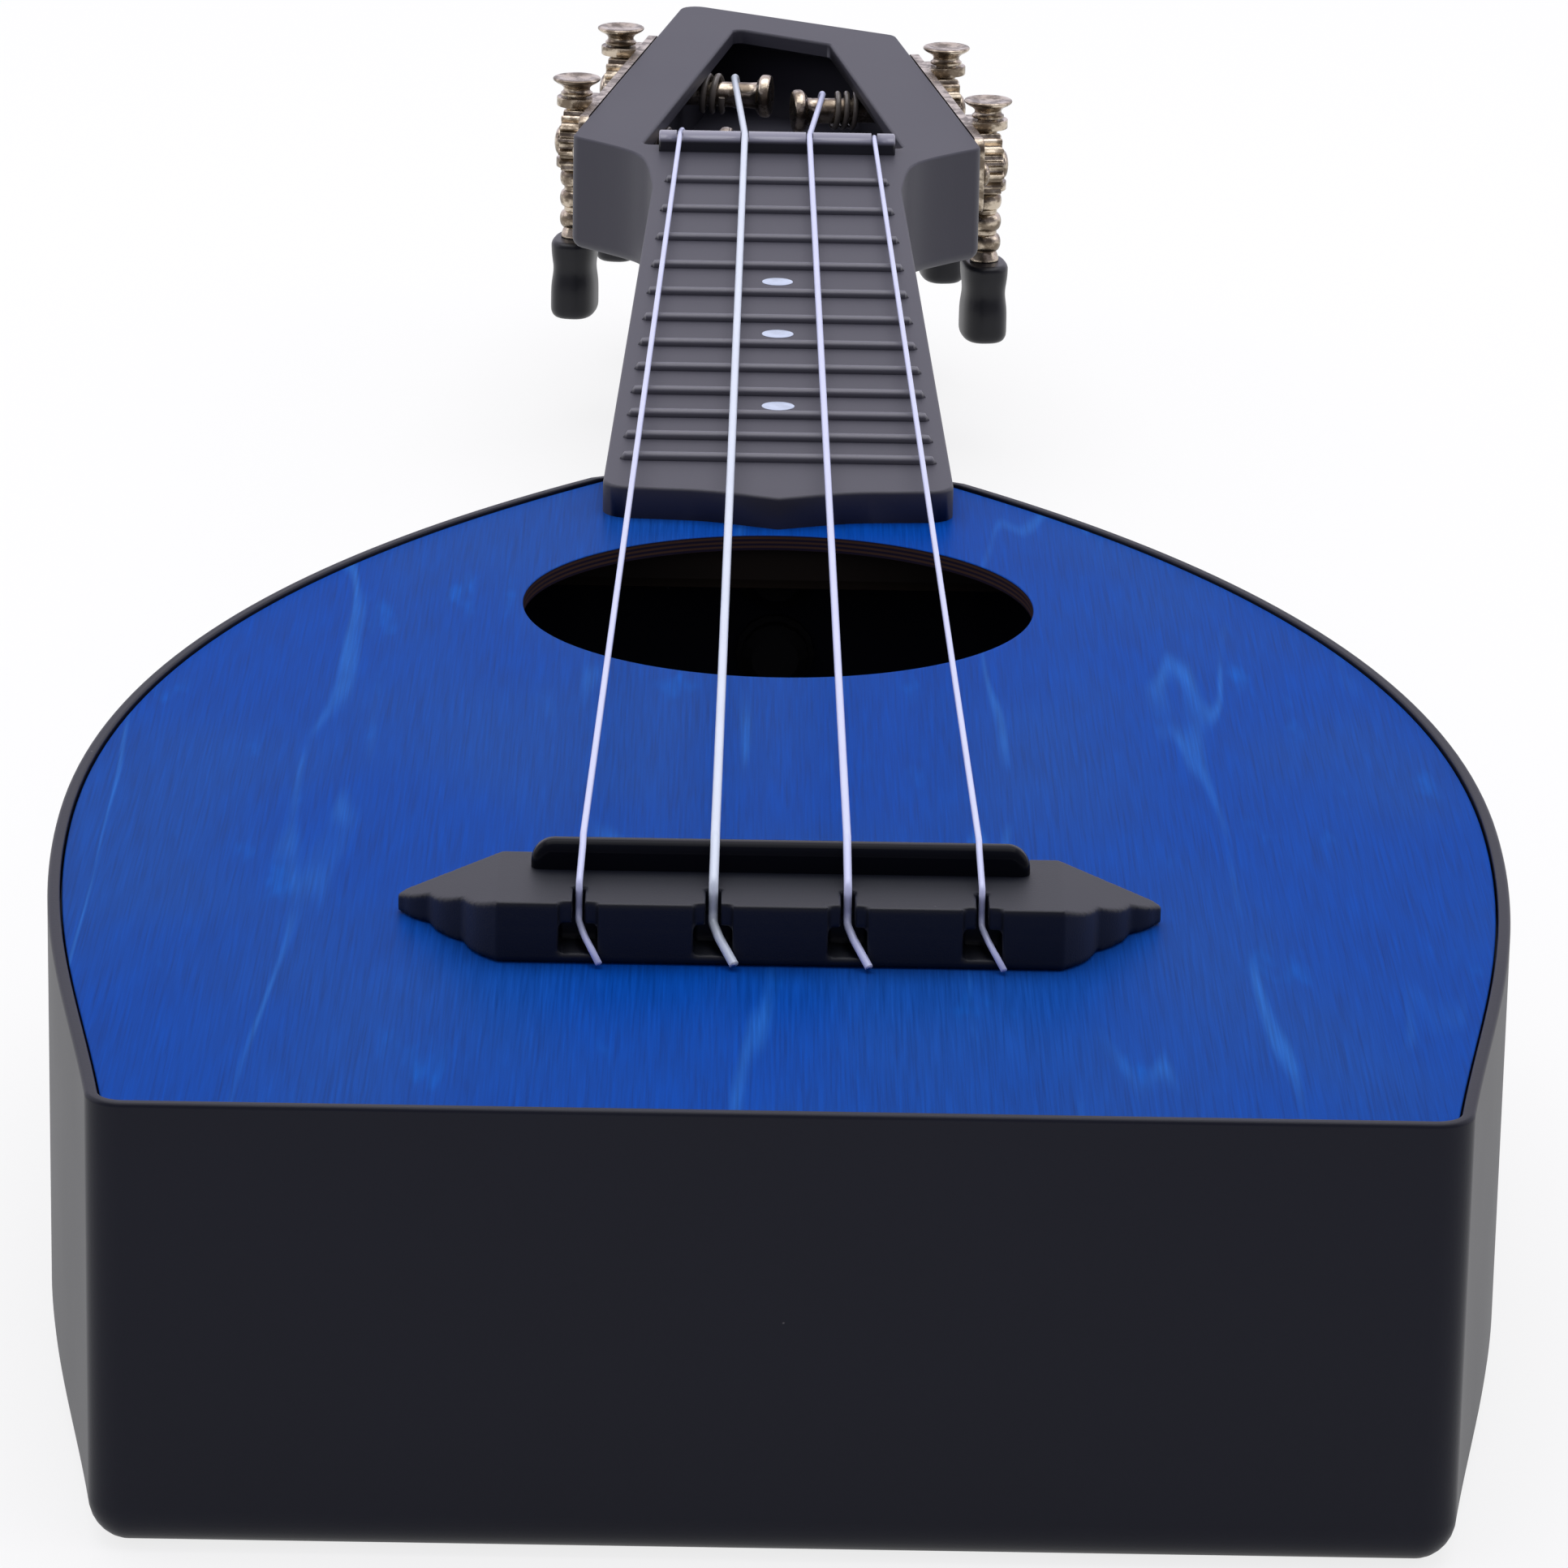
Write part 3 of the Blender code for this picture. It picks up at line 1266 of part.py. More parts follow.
def make_button_mesh():
    """Waisted oval button with a blind hole for the shaft's tenon."""
    length = BUTTON_TOP - BUTTON_BOTTOM
    hole = TENON_RADIUS + SEAT_GAP
    hole_end = -(TENON_LENGTH + SEAT_GAP)
    layers = []
    for step in range(BUTTON_LAYERS + 1):
        share = (1 - math.cos(math.pi * step / BUTTON_LAYERS)) / 2
        round_in = min(1.0, min(share, 1 - share) / 0.12)
        size = 0.78 + 0.22 * math.sin(round_in * math.pi / 2)
        waist = 1 - (1 - BUTTON_WAIST) * math.sin(math.pi * min(share / 0.75, 1.0)) ** 2
        layers.append((-length * share, size * waist))
    shape = bmesh.new()

    def ring(height, half_x, half_y, square=0.75):
        corners = []
        for index in range(BUTTON_SIDES):
            angle = math.tau * index / BUTTON_SIDES
            cos, sin = math.cos(angle), math.sin(angle)
            corners.append(
                shape.verts.new(
                    (
                        half_x * math.copysign(abs(cos) ** square, cos),
                        half_y * math.copysign(abs(sin) ** square, sin),
                        height,
                    )
                )
            )
        return corners

    rings = [ring(hole_end, hole, hole, 1.0), ring(0, hole, hole, 1.0)]
    for height, size in layers:
        rings.append(ring(height, BUTTON_HALF_THICKNESS * size, BUTTON_HALF_WIDTH * size))
    for one, other in zip(rings, rings[1:]):
        for index in range(BUTTON_SIDES):
            follow = (index + 1) % BUTTON_SIDES
            shape.faces.new((one[index], one[follow], other[follow], other[index]))
    shape.faces.new(rings[0])
    shape.faces.new(rings[-1])
    bmesh.ops.recalc_face_normals(shape, faces=shape.faces)
    mesh = bpy.data.meshes.new("button")
    shape.to_mesh(mesh)
    shape.free()
    return mesh


def gear_outline():
    """Gear teeth as a trapezoid each."""
    points = []
    pitch = math.tau / GEAR_TEETH
    for tooth in range(GEAR_TEETH):
        middle = tooth * pitch
        for share, radius in (
            (-0.34, GEAR_ROOT_RADIUS),
            (-0.15, GEAR_TIP_RADIUS),
            (0.15, GEAR_TIP_RADIUS),
            (0.34, GEAR_ROOT_RADIUS),
        ):
            angle = middle + share * pitch
            points.append((radius * math.cos(angle), radius * math.sin(angle)))
    return points


def circle(radius, steps=SMALL_ROUND_STEPS, middle=(0, 0)):
    """Points of a circle."""
    angles = [math.tau * step / steps for step in range(steps)]
    return [
        (middle[0] + radius * math.cos(angle), middle[1] + radius * math.sin(angle))
        for angle in angles
    ]


def roller_profile():
    """Turned shape of a roller; its Z points out of the headstock."""
    shank_end = GEAR_STAND_OFF + GEAR_THICKNESS - SEAT_GAP
    collar = GEAR_STAND_OFF - SEAT_GAP
    bore = GEAR_SCREW_RADIUS + SEAT_GAP
    bore_end = shank_end - GEAR_SCREW_LENGTH - SEAT_GAP
    flange_start = -(ROLLER_LENGTH - ROLLER_FLANGE_LENGTH)
    profile = [
        (0, bore_end),
        (bore, bore_end),
        (bore, shank_end),
        (SHANK_RADIUS, shank_end),
        (SHANK_RADIUS, collar),
        (ROLLER_JOURNAL_RADIUS, collar),
        (ROLLER_JOURNAL_RADIUS, -ROLLER_WAIST_START + ROLLER_EASE),
        (ROLLER_WAIST_RADIUS, -ROLLER_WAIST_START),
        (ROLLER_WAIST_RADIUS, flange_start + ROLLER_EASE),
        (ROLLER_FLANGE_RADIUS * 0.9, flange_start),
        (ROLLER_FLANGE_RADIUS, flange_start - ROLLER_EASE),
        (ROLLER_FLANGE_RADIUS, -ROLLER_LENGTH + ROLLER_EASE),
        (ROLLER_FLANGE_RADIUS * 0.85, -ROLLER_LENGTH + ROLLER_EASE * 0.2),
        (ROLLER_FLANGE_RADIUS * 0.5, -ROLLER_LENGTH),
        (0, -ROLLER_LENGTH),
    ]
    return profile


TUNERS = {
    "g": ("left", 0),
    "c": ("left", 1),
    "e": ("right", 1),
    "a": ("right", 0),
}


def roller_place(name):
    """Middle of a roller on the headstock's side, and the way it points outwards."""
    side, index = TUNERS[name]
    wide = HEAD_LEFT_WIDE if side == "left" else HEAD_RIGHT_WIDE
    end = HEAD_LEFT_END if side == "left" else HEAD_RIGHT_END
    along = (Vector(end) - Vector(wide)).normalized()
    outward = Vector((-along.y, along.x)) if side == "left" else Vector((along.y, -along.x))
    distance = FIRST_WORM[side] + index * TUNER_SPACING - WORM_TO_GEAR
    point = Vector(wide) + along * distance
    return at(point.x, point.y, TUNER_HEIGHT), Vector((outward.x, outward.y, 0))


def winding_radius(name):
    """Radius at which a string's middle lies on its roller."""
    return ROLLER_WAIST_RADIUS + SEAT_GAP + STRING_RADIUS[name]


def winding_pitch(name):
    """Step along the roller for one turn."""
    return 2 * STRING_RADIUS[name] + WINDING_TURN_GAP


def string_reach(name):
    """How far inside the headstock's side the string meets its roller."""
    middle, outward = roller_place(name)
    run = string_line_end(name)
    return (middle - run).dot(outward)


def string_line_end(name):
    """Where a string's straight run meets its roller, seen from above."""
    middle, outward = roller_place(name)
    across = string_x(name, 0) + SIDESTEP_TO_ROLLER[name]
    share = (across - middle.x) / -outward.x
    return middle - outward * share


def least_gap(points, radius, turn_points):
    """Smallest gap of a wound wire to itself, measured between its points."""
    least = math.inf
    for index, point in enumerate(points):
        for other in points[index + turn_points // 2:]:
            least = min(least, (Vector(point) - Vector(other)).length - 2 * radius)
    return least


def winding_points(name):
    """Points of the turns on a roller, in the roller's own frame."""
    radius = winding_radius(name)
    pitch = winding_pitch(name)
    first = -string_reach(name) + pitch
    turns = WINDING_TURNS[name]
    count = turns * WINDING_POINTS
    points = []
    for step in range(count + 1):
        angle = math.tau * step / WINDING_POINTS
        height = first + pitch * step / WINDING_POINTS
        points.append((radius * math.cos(angle), radius * math.sin(angle), height))
    return points


def make_tuner(name, frames, button_mesh, finishes):
    """One tuner: worm shaft and button on one axis, roller, gear and turns on the other."""
    side, index = TUNERS[name]
    frame = frames[side]
    sign = side_sign(side)
    along = FIRST_WORM[side] + index * TUNER_SPACING
    peg_axis = bpy.data.objects.new(f"peg_axis_{name}", None)
    bpy.data.collections[COLLECTION].objects.link(peg_axis)
    peg_axis.parent = frame
    peg_axis.location = (along * sign, WORM_STAND_OFF, 0)
    worm = turned(f"worm_shaft_{name}", worm_profile(), finishes["nickel"], WORM_STEPS)
    worm.parent = peg_axis
    smooth(worm)
    button = put(f"tuner_button_{name}", button_mesh.copy(), finishes["button"])
    button.parent = peg_axis
    button.location = (0, 0, BUTTON_TOP)
    button.rotation_euler = (0, 0, math.pi / 2)
    smooth(button)
    roller_axis = bpy.data.objects.new(f"roller_axis_{name}", None)
    bpy.data.collections[COLLECTION].objects.link(roller_axis)
    roller_axis.parent = frame
    roller_axis.location = ((along - WORM_TO_GEAR) * sign, 0, TUNER_HEIGHT)
    roller_axis.rotation_euler = (-math.pi / 2, 0, 0)
    roller = turned(f"roller_{name}", roller_profile(), finishes["nickel"])
    roller.parent = roller_axis
    smooth(roller)
    gear = prism(
        f"gear_{name}",
        [gear_outline(), circle(SHANK_RADIUS + SEAT_GAP)],
        GEAR_STAND_OFF,
        GEAR_STAND_OFF + GEAR_THICKNESS,
        finishes["nickel"],
    )
    gear.parent = roller_axis
    gear.rotation_euler = (0, 0, math.pi / GEAR_TEETH)
    smooth(gear)
    seat = GEAR_STAND_OFF + GEAR_THICKNESS + SEAT_GAP
    shank_tip = GEAR_STAND_OFF + GEAR_THICKNESS - SEAT_GAP - GEAR_SCREW_LENGTH
    screw = turned(
        f"gear_screw_{name}",
        [
            (0, seat + GEAR_SCREW_HEAD_HEIGHT),
            (GEAR_SCREW_HEAD * 0.7, seat + GEAR_SCREW_HEAD_HEIGHT),
            (GEAR_SCREW_HEAD, seat + GEAR_SCREW_HEAD_HEIGHT * 0.6),
            (GEAR_SCREW_HEAD, seat),
            (GEAR_SCREW_RADIUS, seat),
            (GEAR_SCREW_RADIUS, shank_tip),
            (0, shank_tip),
        ],
        finishes["nickel"],
        steps=SCREW_STEPS,
    )
    screw.parent = roller_axis
    smooth(screw)
    points = winding_points(name)
    turns = tube(f"winding_{name}", points, STRING_RADIUS[name], finishes["string"], 1)
    turns.parent = roller_axis
    gap = least_gap(points, STRING_RADIUS[name], WINDING_POINTS)
    print(f"winding_{name}: least gap to itself {gap / MM:.2f} mm")


# Strings


def make_string(name, finish):
    """One string from its tail behind the bridge to its roller."""
    radius = STRING_RADIUS[name]
    tie_x = string_x(name, BRIDGE_REAR_Y)
    slot_y = BRIDGE_REAR_Y + TIE_SLOT_LENGTH - radius - TIE_SLOT_CLEARANCE
    hole_z = (TIE_HOLE_FLOOR + TIE_HOLE_TOP) / 2
    saddle_z = SADDLE_TOP + SEAT_GAP + radius
    nut_z = string_z_at_nut(name)
    saddle_y = (SADDLE_REAR_Y + SADDLE_FRONT_Y) / 2
    saddle_x = string_x(name, saddle_y)
    slope = (BRIDGE_FRONT_HEIGHT - BRIDGE_REAR_HEIGHT) / (BRIDGE_FRONT_Y - BRIDGE_REAR_Y)
    edge_z = BRIDGE_REAR_HEIGHT + slope * TIE_SLOT_LENGTH
    tail_z = radius + SEAT_GAP
    route = [
        at(tie_x + TAIL_ASIDE, BRIDGE_REAR_Y - TAIL_BEHIND, tail_z),
        at(tie_x + TAIL_ASIDE * 0.3, BRIDGE_REAR_Y + TAIL_BEHIND, hole_z),
        at(tie_x, slot_y - TIE_BEND, hole_z + (TIE_HOLE_TOP - hole_z) * 0.4),
        at(tie_x, slot_y - radius * 0.4, TIE_HOLE_TOP),
        at(tie_x, slot_y, edge_z - radius * 0.5),
        at(tie_x, slot_y + radius, edge_z + radius * 1.5),
        at(saddle_x, SADDLE_REAR_Y - SEAT_GAP, saddle_z - SADDLE_DROP),
        at(saddle_x, saddle_y - SADDLE_THICKNESS * 0.18, saddle_z),
        at(saddle_x, saddle_y + SADDLE_THICKNESS * 0.18, saddle_z),
        at(string_x(name, 0), 0, nut_z),
        at(string_x(name, 0), NUT_LENGTH * 0.5, nut_z - SEAT_GAP / 4),
    ]
    outward = roller_place(name)[1]
    wound = winding_radius(name)
    foot = string_line_end(name)
    forward = Vector((-outward.y, outward.x, 0))
    if forward.y < 0:
        forward.negate()
    start = route[-1]
    run = (foot - start).dot(forward)
    fall = start.z - foot.z
    distance = math.hypot(run, fall)
    tangent = math.pi / 2 + math.atan2(fall, run) - math.asin(wound / distance)
    for step in range(7):
        angle = tangent - math.radians(25) * step
        route.append(foot + forward * math.cos(angle) * wound + Vector((0, 0, wound * math.sin(angle))))
    return tube(f"string_{name}", [tuple(point) for point in route], radius, finish, 2)


def build():
    """Make every piece."""
    clear_scene()
    black = material("black_moulding", (0.012, 0.013, 0.018), 0.42)
    charcoal = material("charcoal_moulding", (0.065, 0.063, 0.075), 0.55)
    blue = material("blue_plywood", (0.012, 0.075, 0.33), 0.4)
    spruce = material("pale_brace_wood", (0.55, 0.4, 0.24), 0.65)
    bridge_black = material("bridge_black", (0.02, 0.021, 0.026), 0.5)
    gloss_black = material("gloss_black", (0.008, 0.008, 0.01), 0.2)
    finishes = {
        "nickel": material("nickel", (0.62, 0.56, 0.48), 0.28, 1.0),
        "button": material("black_button", (0.012, 0.012, 0.016), 0.35),
        "string": material("clear_nylon", (0.62, 0.64, 0.8), 0.3),
    }
    steel = material("steel", (0.5, 0.5, 0.5), 0.35, 1.0)
    pearl = material("pearl_white", (0.62, 0.72, 0.8), 0.35)
    make_body_shell(black)
    make_top(blue, spruce)
    make_bridge(bridge_black, gloss_black)
    neck = make_neck(charcoal)
    board = make_fingerboard(charcoal)
    make_dots(pearl)
    make_nut(charcoal)
    make_neck_screws(steel)
    frames = {}
    for side in ("left", "right"):
        frames[side] = side_frame(side)
        make_strip(side, frames[side], finishes["nickel"], (neck, board))
    button_mesh = make_button_mesh()
    for name in STRING_NAMES:
        make_tuner(name, frames, button_mesh, finishes)
        make_string(name, finishes["string"])
    bpy.context.view_layer.update()


build()
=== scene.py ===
"""Looks of a soprano ukulele: moulded body, stained plywood top and worm-geared tuners.

Run by itself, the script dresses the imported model. Its panel in the 3D view's sidebar
lists the same steps as buttons.
"""
import json
import math

import bmesh
import bpy
from bpy.props import FloatProperty, FloatVectorProperty, IntProperty, PointerProperty
from mathutils import Matrix, Vector
from mathutils.geometry import tessellate_polygon


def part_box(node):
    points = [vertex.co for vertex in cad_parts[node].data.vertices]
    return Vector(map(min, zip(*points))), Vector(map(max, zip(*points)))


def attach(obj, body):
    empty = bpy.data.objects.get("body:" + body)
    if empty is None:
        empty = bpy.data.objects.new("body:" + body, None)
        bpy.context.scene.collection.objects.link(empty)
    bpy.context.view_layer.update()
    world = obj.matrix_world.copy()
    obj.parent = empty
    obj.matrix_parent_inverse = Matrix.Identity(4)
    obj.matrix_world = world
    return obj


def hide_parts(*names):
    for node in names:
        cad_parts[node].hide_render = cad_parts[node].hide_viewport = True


bl_info = {
    "name": "Soprano ukulele",
    "version": (1, 0, 0),
    "blender": (4, 5, 0),
    "location": "View3D > Sidebar > Ukulele",
    "description": "Dresses a soprano ukulele, piece by piece",
    "category": "Object",
}

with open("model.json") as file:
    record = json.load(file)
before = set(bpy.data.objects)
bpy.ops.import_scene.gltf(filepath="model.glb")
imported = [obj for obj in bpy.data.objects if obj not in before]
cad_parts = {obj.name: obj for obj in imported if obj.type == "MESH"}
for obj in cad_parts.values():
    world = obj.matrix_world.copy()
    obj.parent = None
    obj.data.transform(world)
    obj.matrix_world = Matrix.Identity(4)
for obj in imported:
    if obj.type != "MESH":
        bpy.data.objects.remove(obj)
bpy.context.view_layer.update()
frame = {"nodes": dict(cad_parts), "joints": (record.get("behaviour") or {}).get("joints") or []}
JOINTS = {joint["name"]: joint for joint in frame["joints"]}

MM = 0.001
ROOT = "instrument"
STRING_NAMES = ("g", "c", "e", "a")

# Places read from the frame
NUT_FACE_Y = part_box("nut")[0].y
TOP_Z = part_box("top_plate")[1].z
BODY_LOW, BODY_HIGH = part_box("body_shell")
BOARD_LOW, BOARD_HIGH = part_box("fingerboard")
NUT_LOW, NUT_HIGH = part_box("nut")
SADDLE_LOW, SADDLE_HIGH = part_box("saddle")
BRIDGE_LOW, BRIDGE_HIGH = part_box("bridge")

# Strings
SCALE_LENGTH = 346.0 * MM
STRING_RADIUS = {"g": 0.36 * MM, "c": 0.5 * MM, "e": 0.43 * MM, "a": 0.34 * MM}
SPREAD_AT_NUT = 28.5 * MM
SPREAD_AT_BRIDGE = 40.8 * MM
STRING_FLOOR_AT_NUT = 5.7 * MM
SIDESTEP_TO_ROLLER = {"g": 0.0, "c": -1.7 * MM, "e": 2.4 * MM, "a": 0.0}
SEAT_GAP = 0.2 * MM

# Body, from the nut: x across, y along, z above the top plate
SHOULDER_HALF_WIDTH = 16.0 * MM
SHOULDER_Y = BODY_HIGH.y - NUT_FACE_Y
SHOULDER_ANGLE = math.radians(44.5)
SHOULDER_PULL = 53.0 * MM
WIDEST_Y = -308.3 * MM
WIDEST_PULL_TO_NECK = 61.5 * MM
WIDEST_PULL_TO_BUTT = 38.8 * MM
BUTT_Y = BODY_LOW.y - NUT_FACE_Y
BUTT_HALF_WIDTH = 66.7 * MM
BUTT_ANGLE = math.radians(8.1)
BUTT_PULL = 29.6 * MM
BUTT_CORNER_RADIUS = 4.0 * MM
BODY_DEPTH = TOP_Z - BODY_LOW.z
BACK_THICKNESS = 3.0 * MM
WALL = 3.3 * MM
RIM_WIDTH = 1.3 * MM
RIM_HEIGHT = BODY_HIGH.z - TOP_Z
NECK_BLOCK_LENGTH = 14.0 * MM
TOP_THICKNESS = 1.9 * MM
SOUND_HOLE_RADIUS = 30.2 * MM
SOUND_HOLE_Y = -223.2 * MM

# Bridge
BRIDGE_REAR_Y = -356.3 * MM
BRIDGE_FRONT_Y = -339.3 * MM
BRIDGE_HEIGHT = 6.5 * MM
BRIDGE_BLOCK_HALF = 28.8 * MM
BRIDGE_HALF_LENGTH = 39.6 * MM
BRIDGE_TIP_HEIGHT = 1.8 * MM
BRIDGE_TIP_RADIUS = 1.2 * MM
BRIDGE_WING_INSET = 0.2 * MM
SCALLOPS = 3
SCALLOP_BULGE = 0.65 * MM
SCALLOP_NOTCH = 0.2 * MM
SCALLOP_CROWDING = 1.1
TIE_RECESS_WIDTH = 4.0 * MM
TIE_RECESS_DEPTH = 0.8 * MM
TIE_HOLE_DEPTH = 5.2 * MM
TIE_HOLE_FLOOR = 1.1 * MM
TIE_HOLE_TOP = 4.2 * MM
TIE_SLOT_LENGTH = 5.8 * MM
TIE_SLOT_CLEARANCE = 0.3 * MM
TIE_BEND = 0.9 * MM
TAIL_ASIDE = 2.2 * MM
TAIL_BEHIND = 1.3 * MM
SADDLE_DROP = 0.5 * MM

# Fingerboard, headstock and neck
BOARD_TOP = 4.0 * MM
BOARD_HALF_AT_NUT = 17.4 * MM
BOARD_HALF_AT_END = 21.7 * MM
BOARD_END_Y = -186.1 * MM
BOARD_TIP_LENGTH = 4.4 * MM
BOARD_TIP_FOOT = (9.0 * MM, 1.0 * MM)
BOARD_CORNER_RADIUS = 3.5 * MM
NUT_LENGTH = NUT_HIGH.y - NUT_LOW.y
NUT_TOP = NUT_HIGH.z - TOP_Z
DOT_FRETS = (5, 7, 10)
DOT_RADIUS = 2.1 * MM
NECK_DEPTH_AT_NUT = 13.4 * MM
NECK_DEPTH_AT_BODY = 15.5 * MM
HEEL_DEPTH = 40.0 * MM
HEEL_LENGTH = 34.0 * MM
HEEL_FOOT_SHARE = 0.62
NECK_INTO_HEAD = 4.0 * MM
HEAD_DEPTH = 13.0 * MM
HEAD_FLOOR = 2.5 * MM
HEAD_WALL = 6.0 * MM
FACE_THICKNESS = 2.2 * MM
HEAD_LEFT_WIDE = (-30.2 * MM, 9.5 * MM)
HEAD_LEFT_END = (-14.7 * MM, 107.0 * MM)
HEAD_RIGHT_END = (18.7 * MM, 85.4 * MM)
HEAD_RIGHT_WIDE = (30.15 * MM, 6.1 * MM)
HEAD_CORNER_RADIUS = 2.6 * MM
HEAD_START_Y = -22.3 * MM
HEAD_SHOULDER_END = (3.6 * MM, 3.4 * MM)
HEAD_SHOULDER_KNEE = (1.2 * MM, 11.0 * MM)
WINDOW_LEFT_AT_NUT = -19.8 * MM
WINDOW_RIGHT_AT_NUT = 18.7 * MM
WINDOW_LEFT_END = (-6.5 * MM, 88.5 * MM)
WINDOW_RIGHT_END = (8.3 * MM, 78.0 * MM)
WINDOW_CORNER_RADIUS = 1.2 * MM

# Tuners, along the headstock's side from its near roller
WORM_TO_GEAR = 7.0 * MM
TUNER_SPACING = 38.0 * MM
STRIP_THICKNESS = 1.4 * MM
STRIP_HEIGHT = 11.4 * MM
STRIP_BEFORE_WORM = 15.8 * MM
STRIP_AFTER_WORM = 8.6 * MM
STRIP_CORNER_RADIUS = 2.0 * MM
TUNER_HEIGHT = -1.9 * MM
WORM_STAND_OFF = 4.7 * MM
LUG_THICKNESS = 1.4 * MM
LUG_RADIUS = 3.0 * MM
WORM_HALF_LENGTH = 3.7 * MM
WORM_CREST = 2.1 * MM
WORM_CORE = 1.45 * MM
WORM_TURNS = 5
JOURNAL_RADIUS = 1.5 * MM
RUNNING_GAP = 0.3 * MM
FLARE_RADIUS = 3.6 * MM
FLARE_TOP = 6.5 * MM
BEAD_RADIUS = 2.4 * MM
BEAD_PITCH = 3.2 * MM
BEADS = 3
BUTTON_TOP = -18.3 * MM
BUTTON_BOTTOM = -30.3 * MM
BUTTON_HALF_THICKNESS = 3.4 * MM
BUTTON_HALF_WIDTH = 5.4 * MM
GEAR_TEETH = 14
GEAR_TIP_RADIUS = 4.6 * MM
GEAR_ROOT_RADIUS = 3.7 * MM
GEAR_THICKNESS = 3.4 * MM
GEAR_STAND_OFF = 2.0 * MM
GEAR_SCREW_HEAD = 2.2 * MM
GEAR_SCREW_HEAD_HEIGHT = 1.0 * MM
ROLLER_JOURNAL_RADIUS = 2.3 * MM
ROLLER_LENGTH = 20.4 * MM
ROLLER_WAIST_RADIUS = 2.0 * MM
ROLLER_WAIST_START = 7.6 * MM
ROLLER_FLANGE_RADIUS = 3.3 * MM
ROLLER_FLANGE_LENGTH = 2.0 * MM
STRIP_SCREW_HEAD = 1.7 * MM
STRIP_SCREW_HEAD_HEIGHT = 0.9 * MM
STRIP_SCREW_MARGIN = 0.8 * MM
WINDING_TURNS = {"g": 2, "c": 3, "e": 3, "a": 2}
WINDING_TURN_GAP = 0.5 * MM

# Camera, from the nut
CAMERA_PLACE = (-5.4 * MM, -1086.5 * MM, 249.9 * MM)
CAMERA_PITCH = 0.305496
CAMERA_YAW = 0.007518
CAMERA_ROLL = 0.018738
CAMERA_LENS = 174.11
SENSOR_WIDTH = 36.0


# Height of the frets' crests over the floor; the frets' painted highlight band lies just under it
FRET_CREST = TOP_Z + BOARD_TOP + 0.95 * MM

# A flat drawing stood up to face +Y, and one turned to face +X
UPRIGHT = Matrix(((1, 0, 0, 0), (0, 0, 1, 0), (0, 1, 0, 0), (0, 0, 0, 1)))
SIDEWAYS = Matrix(((0, 0, 1, 0), (1, 0, 0, 0), (0, 1, 0, 0), (0, 0, 0, 1)))
FROM_NUT = Matrix.Translation((0, NUT_FACE_Y, TOP_Z))


# Settings a user may change


class UkuleleShapes(bpy.types.PropertyGroup):
    """Sizes and counts of the fine shapes"""

    curve_points: IntProperty(
        name="Points on a curve", description="Points on each body curve", default=44, min=8
    )
    back_radius: FloatProperty(
        name="Back edge", description="Rounding of the back's edge",
        default=4.5 * MM, unit="LENGTH",
    )
    board_edge: FloatProperty(
        name="Board edge", description="Rounding of the fingerboard's edge",
        default=0.4 * MM, unit="LENGTH",
    )
    fret_count: IntProperty(name="Frets", description="Moulded frets", default=12, min=1)
    fret_height: FloatProperty(
        name="Fret height", description="Height of a fret over the board",
        default=0.95 * MM, unit="LENGTH",
    )
    fret_half_width: FloatProperty(
        name="Fret half width", description="Half the width of a fret's foot",
        default=0.85 * MM, unit="LENGTH",
    )
    fret_inset: FloatProperty(
        name="Fret inset", description="Board left bare beside a fret's end",
        default=1.6 * MM, unit="LENGTH",
    )
    bridge_grain: FloatProperty(
        name="Bridge grain", description="Size of the cells the bridge is rounded with",
        default=0.25 * MM, unit="LENGTH",
    )
    round_steps: IntProperty(
        name="Turned steps", description="Steps round each turned piece", default=32, min=8
    )


class UkuleleColours(bpy.types.PropertyGroup):
    """Colours of the finishes"""

    body: FloatVectorProperty(
        name="Body", description="Black of the moulded body", subtype="COLOR",
        default=(0.0078, 0.0088, 0.0155),
    )
    neck: FloatVectorProperty(
        name="Neck", description="Charcoal of the neck and the fingerboard", subtype="COLOR",
        default=(0.036, 0.0355, 0.048),
    )
    stain: FloatVectorProperty(
        name="Stain", description="Blue stain of the top", subtype="COLOR",
        default=(0.0015, 0.052, 0.31),
    )
    stain_pale: FloatVectorProperty(
        name="Pale stain", description="Stain over the wood's pale figure", subtype="COLOR",
        default=(0.02, 0.14, 0.5),
    )
    bridge: FloatVectorProperty(
        name="Bridge", description="Black of the bridge", subtype="COLOR",
        default=(0.0035, 0.005, 0.0105),
    )
    nickel: FloatVectorProperty(
        name="Nickel", description="Warm nickel of the tuners", subtype="COLOR",
        default=(0.56, 0.48, 0.38),
    )
    nylon: FloatVectorProperty(
        name="Nylon", description="Lavender white of the strings", subtype="COLOR",
        default=(0.6, 0.64, 0.88),
    )
    dots: FloatVectorProperty(
        name="Dots", description="Pearl of the position dots", subtype="COLOR",
        default=(0.46, 0.53, 0.66),
    )


class UkuleleStudio(bpy.types.PropertyGroup):
    """Floor and lamps"""

    floor_size: FloatProperty(
        name="Floor", description="Side of the floor", default=14.0, unit="LENGTH"
    )
    lift: FloatProperty(
        name="Floor lift", description="Share of plain white that the floor shows",
        default=0.8, min=0.0, max=1.0,
    )
    world: FloatProperty(name="World", description="Strength of the fill", default=0.55)
    key: FloatProperty(name="Key", description="Power of the overhead lamp", default=13.0)
    side: FloatProperty(name="Sides", description="Power of each side lamp", default=2.5)


# Outlines, seen from above


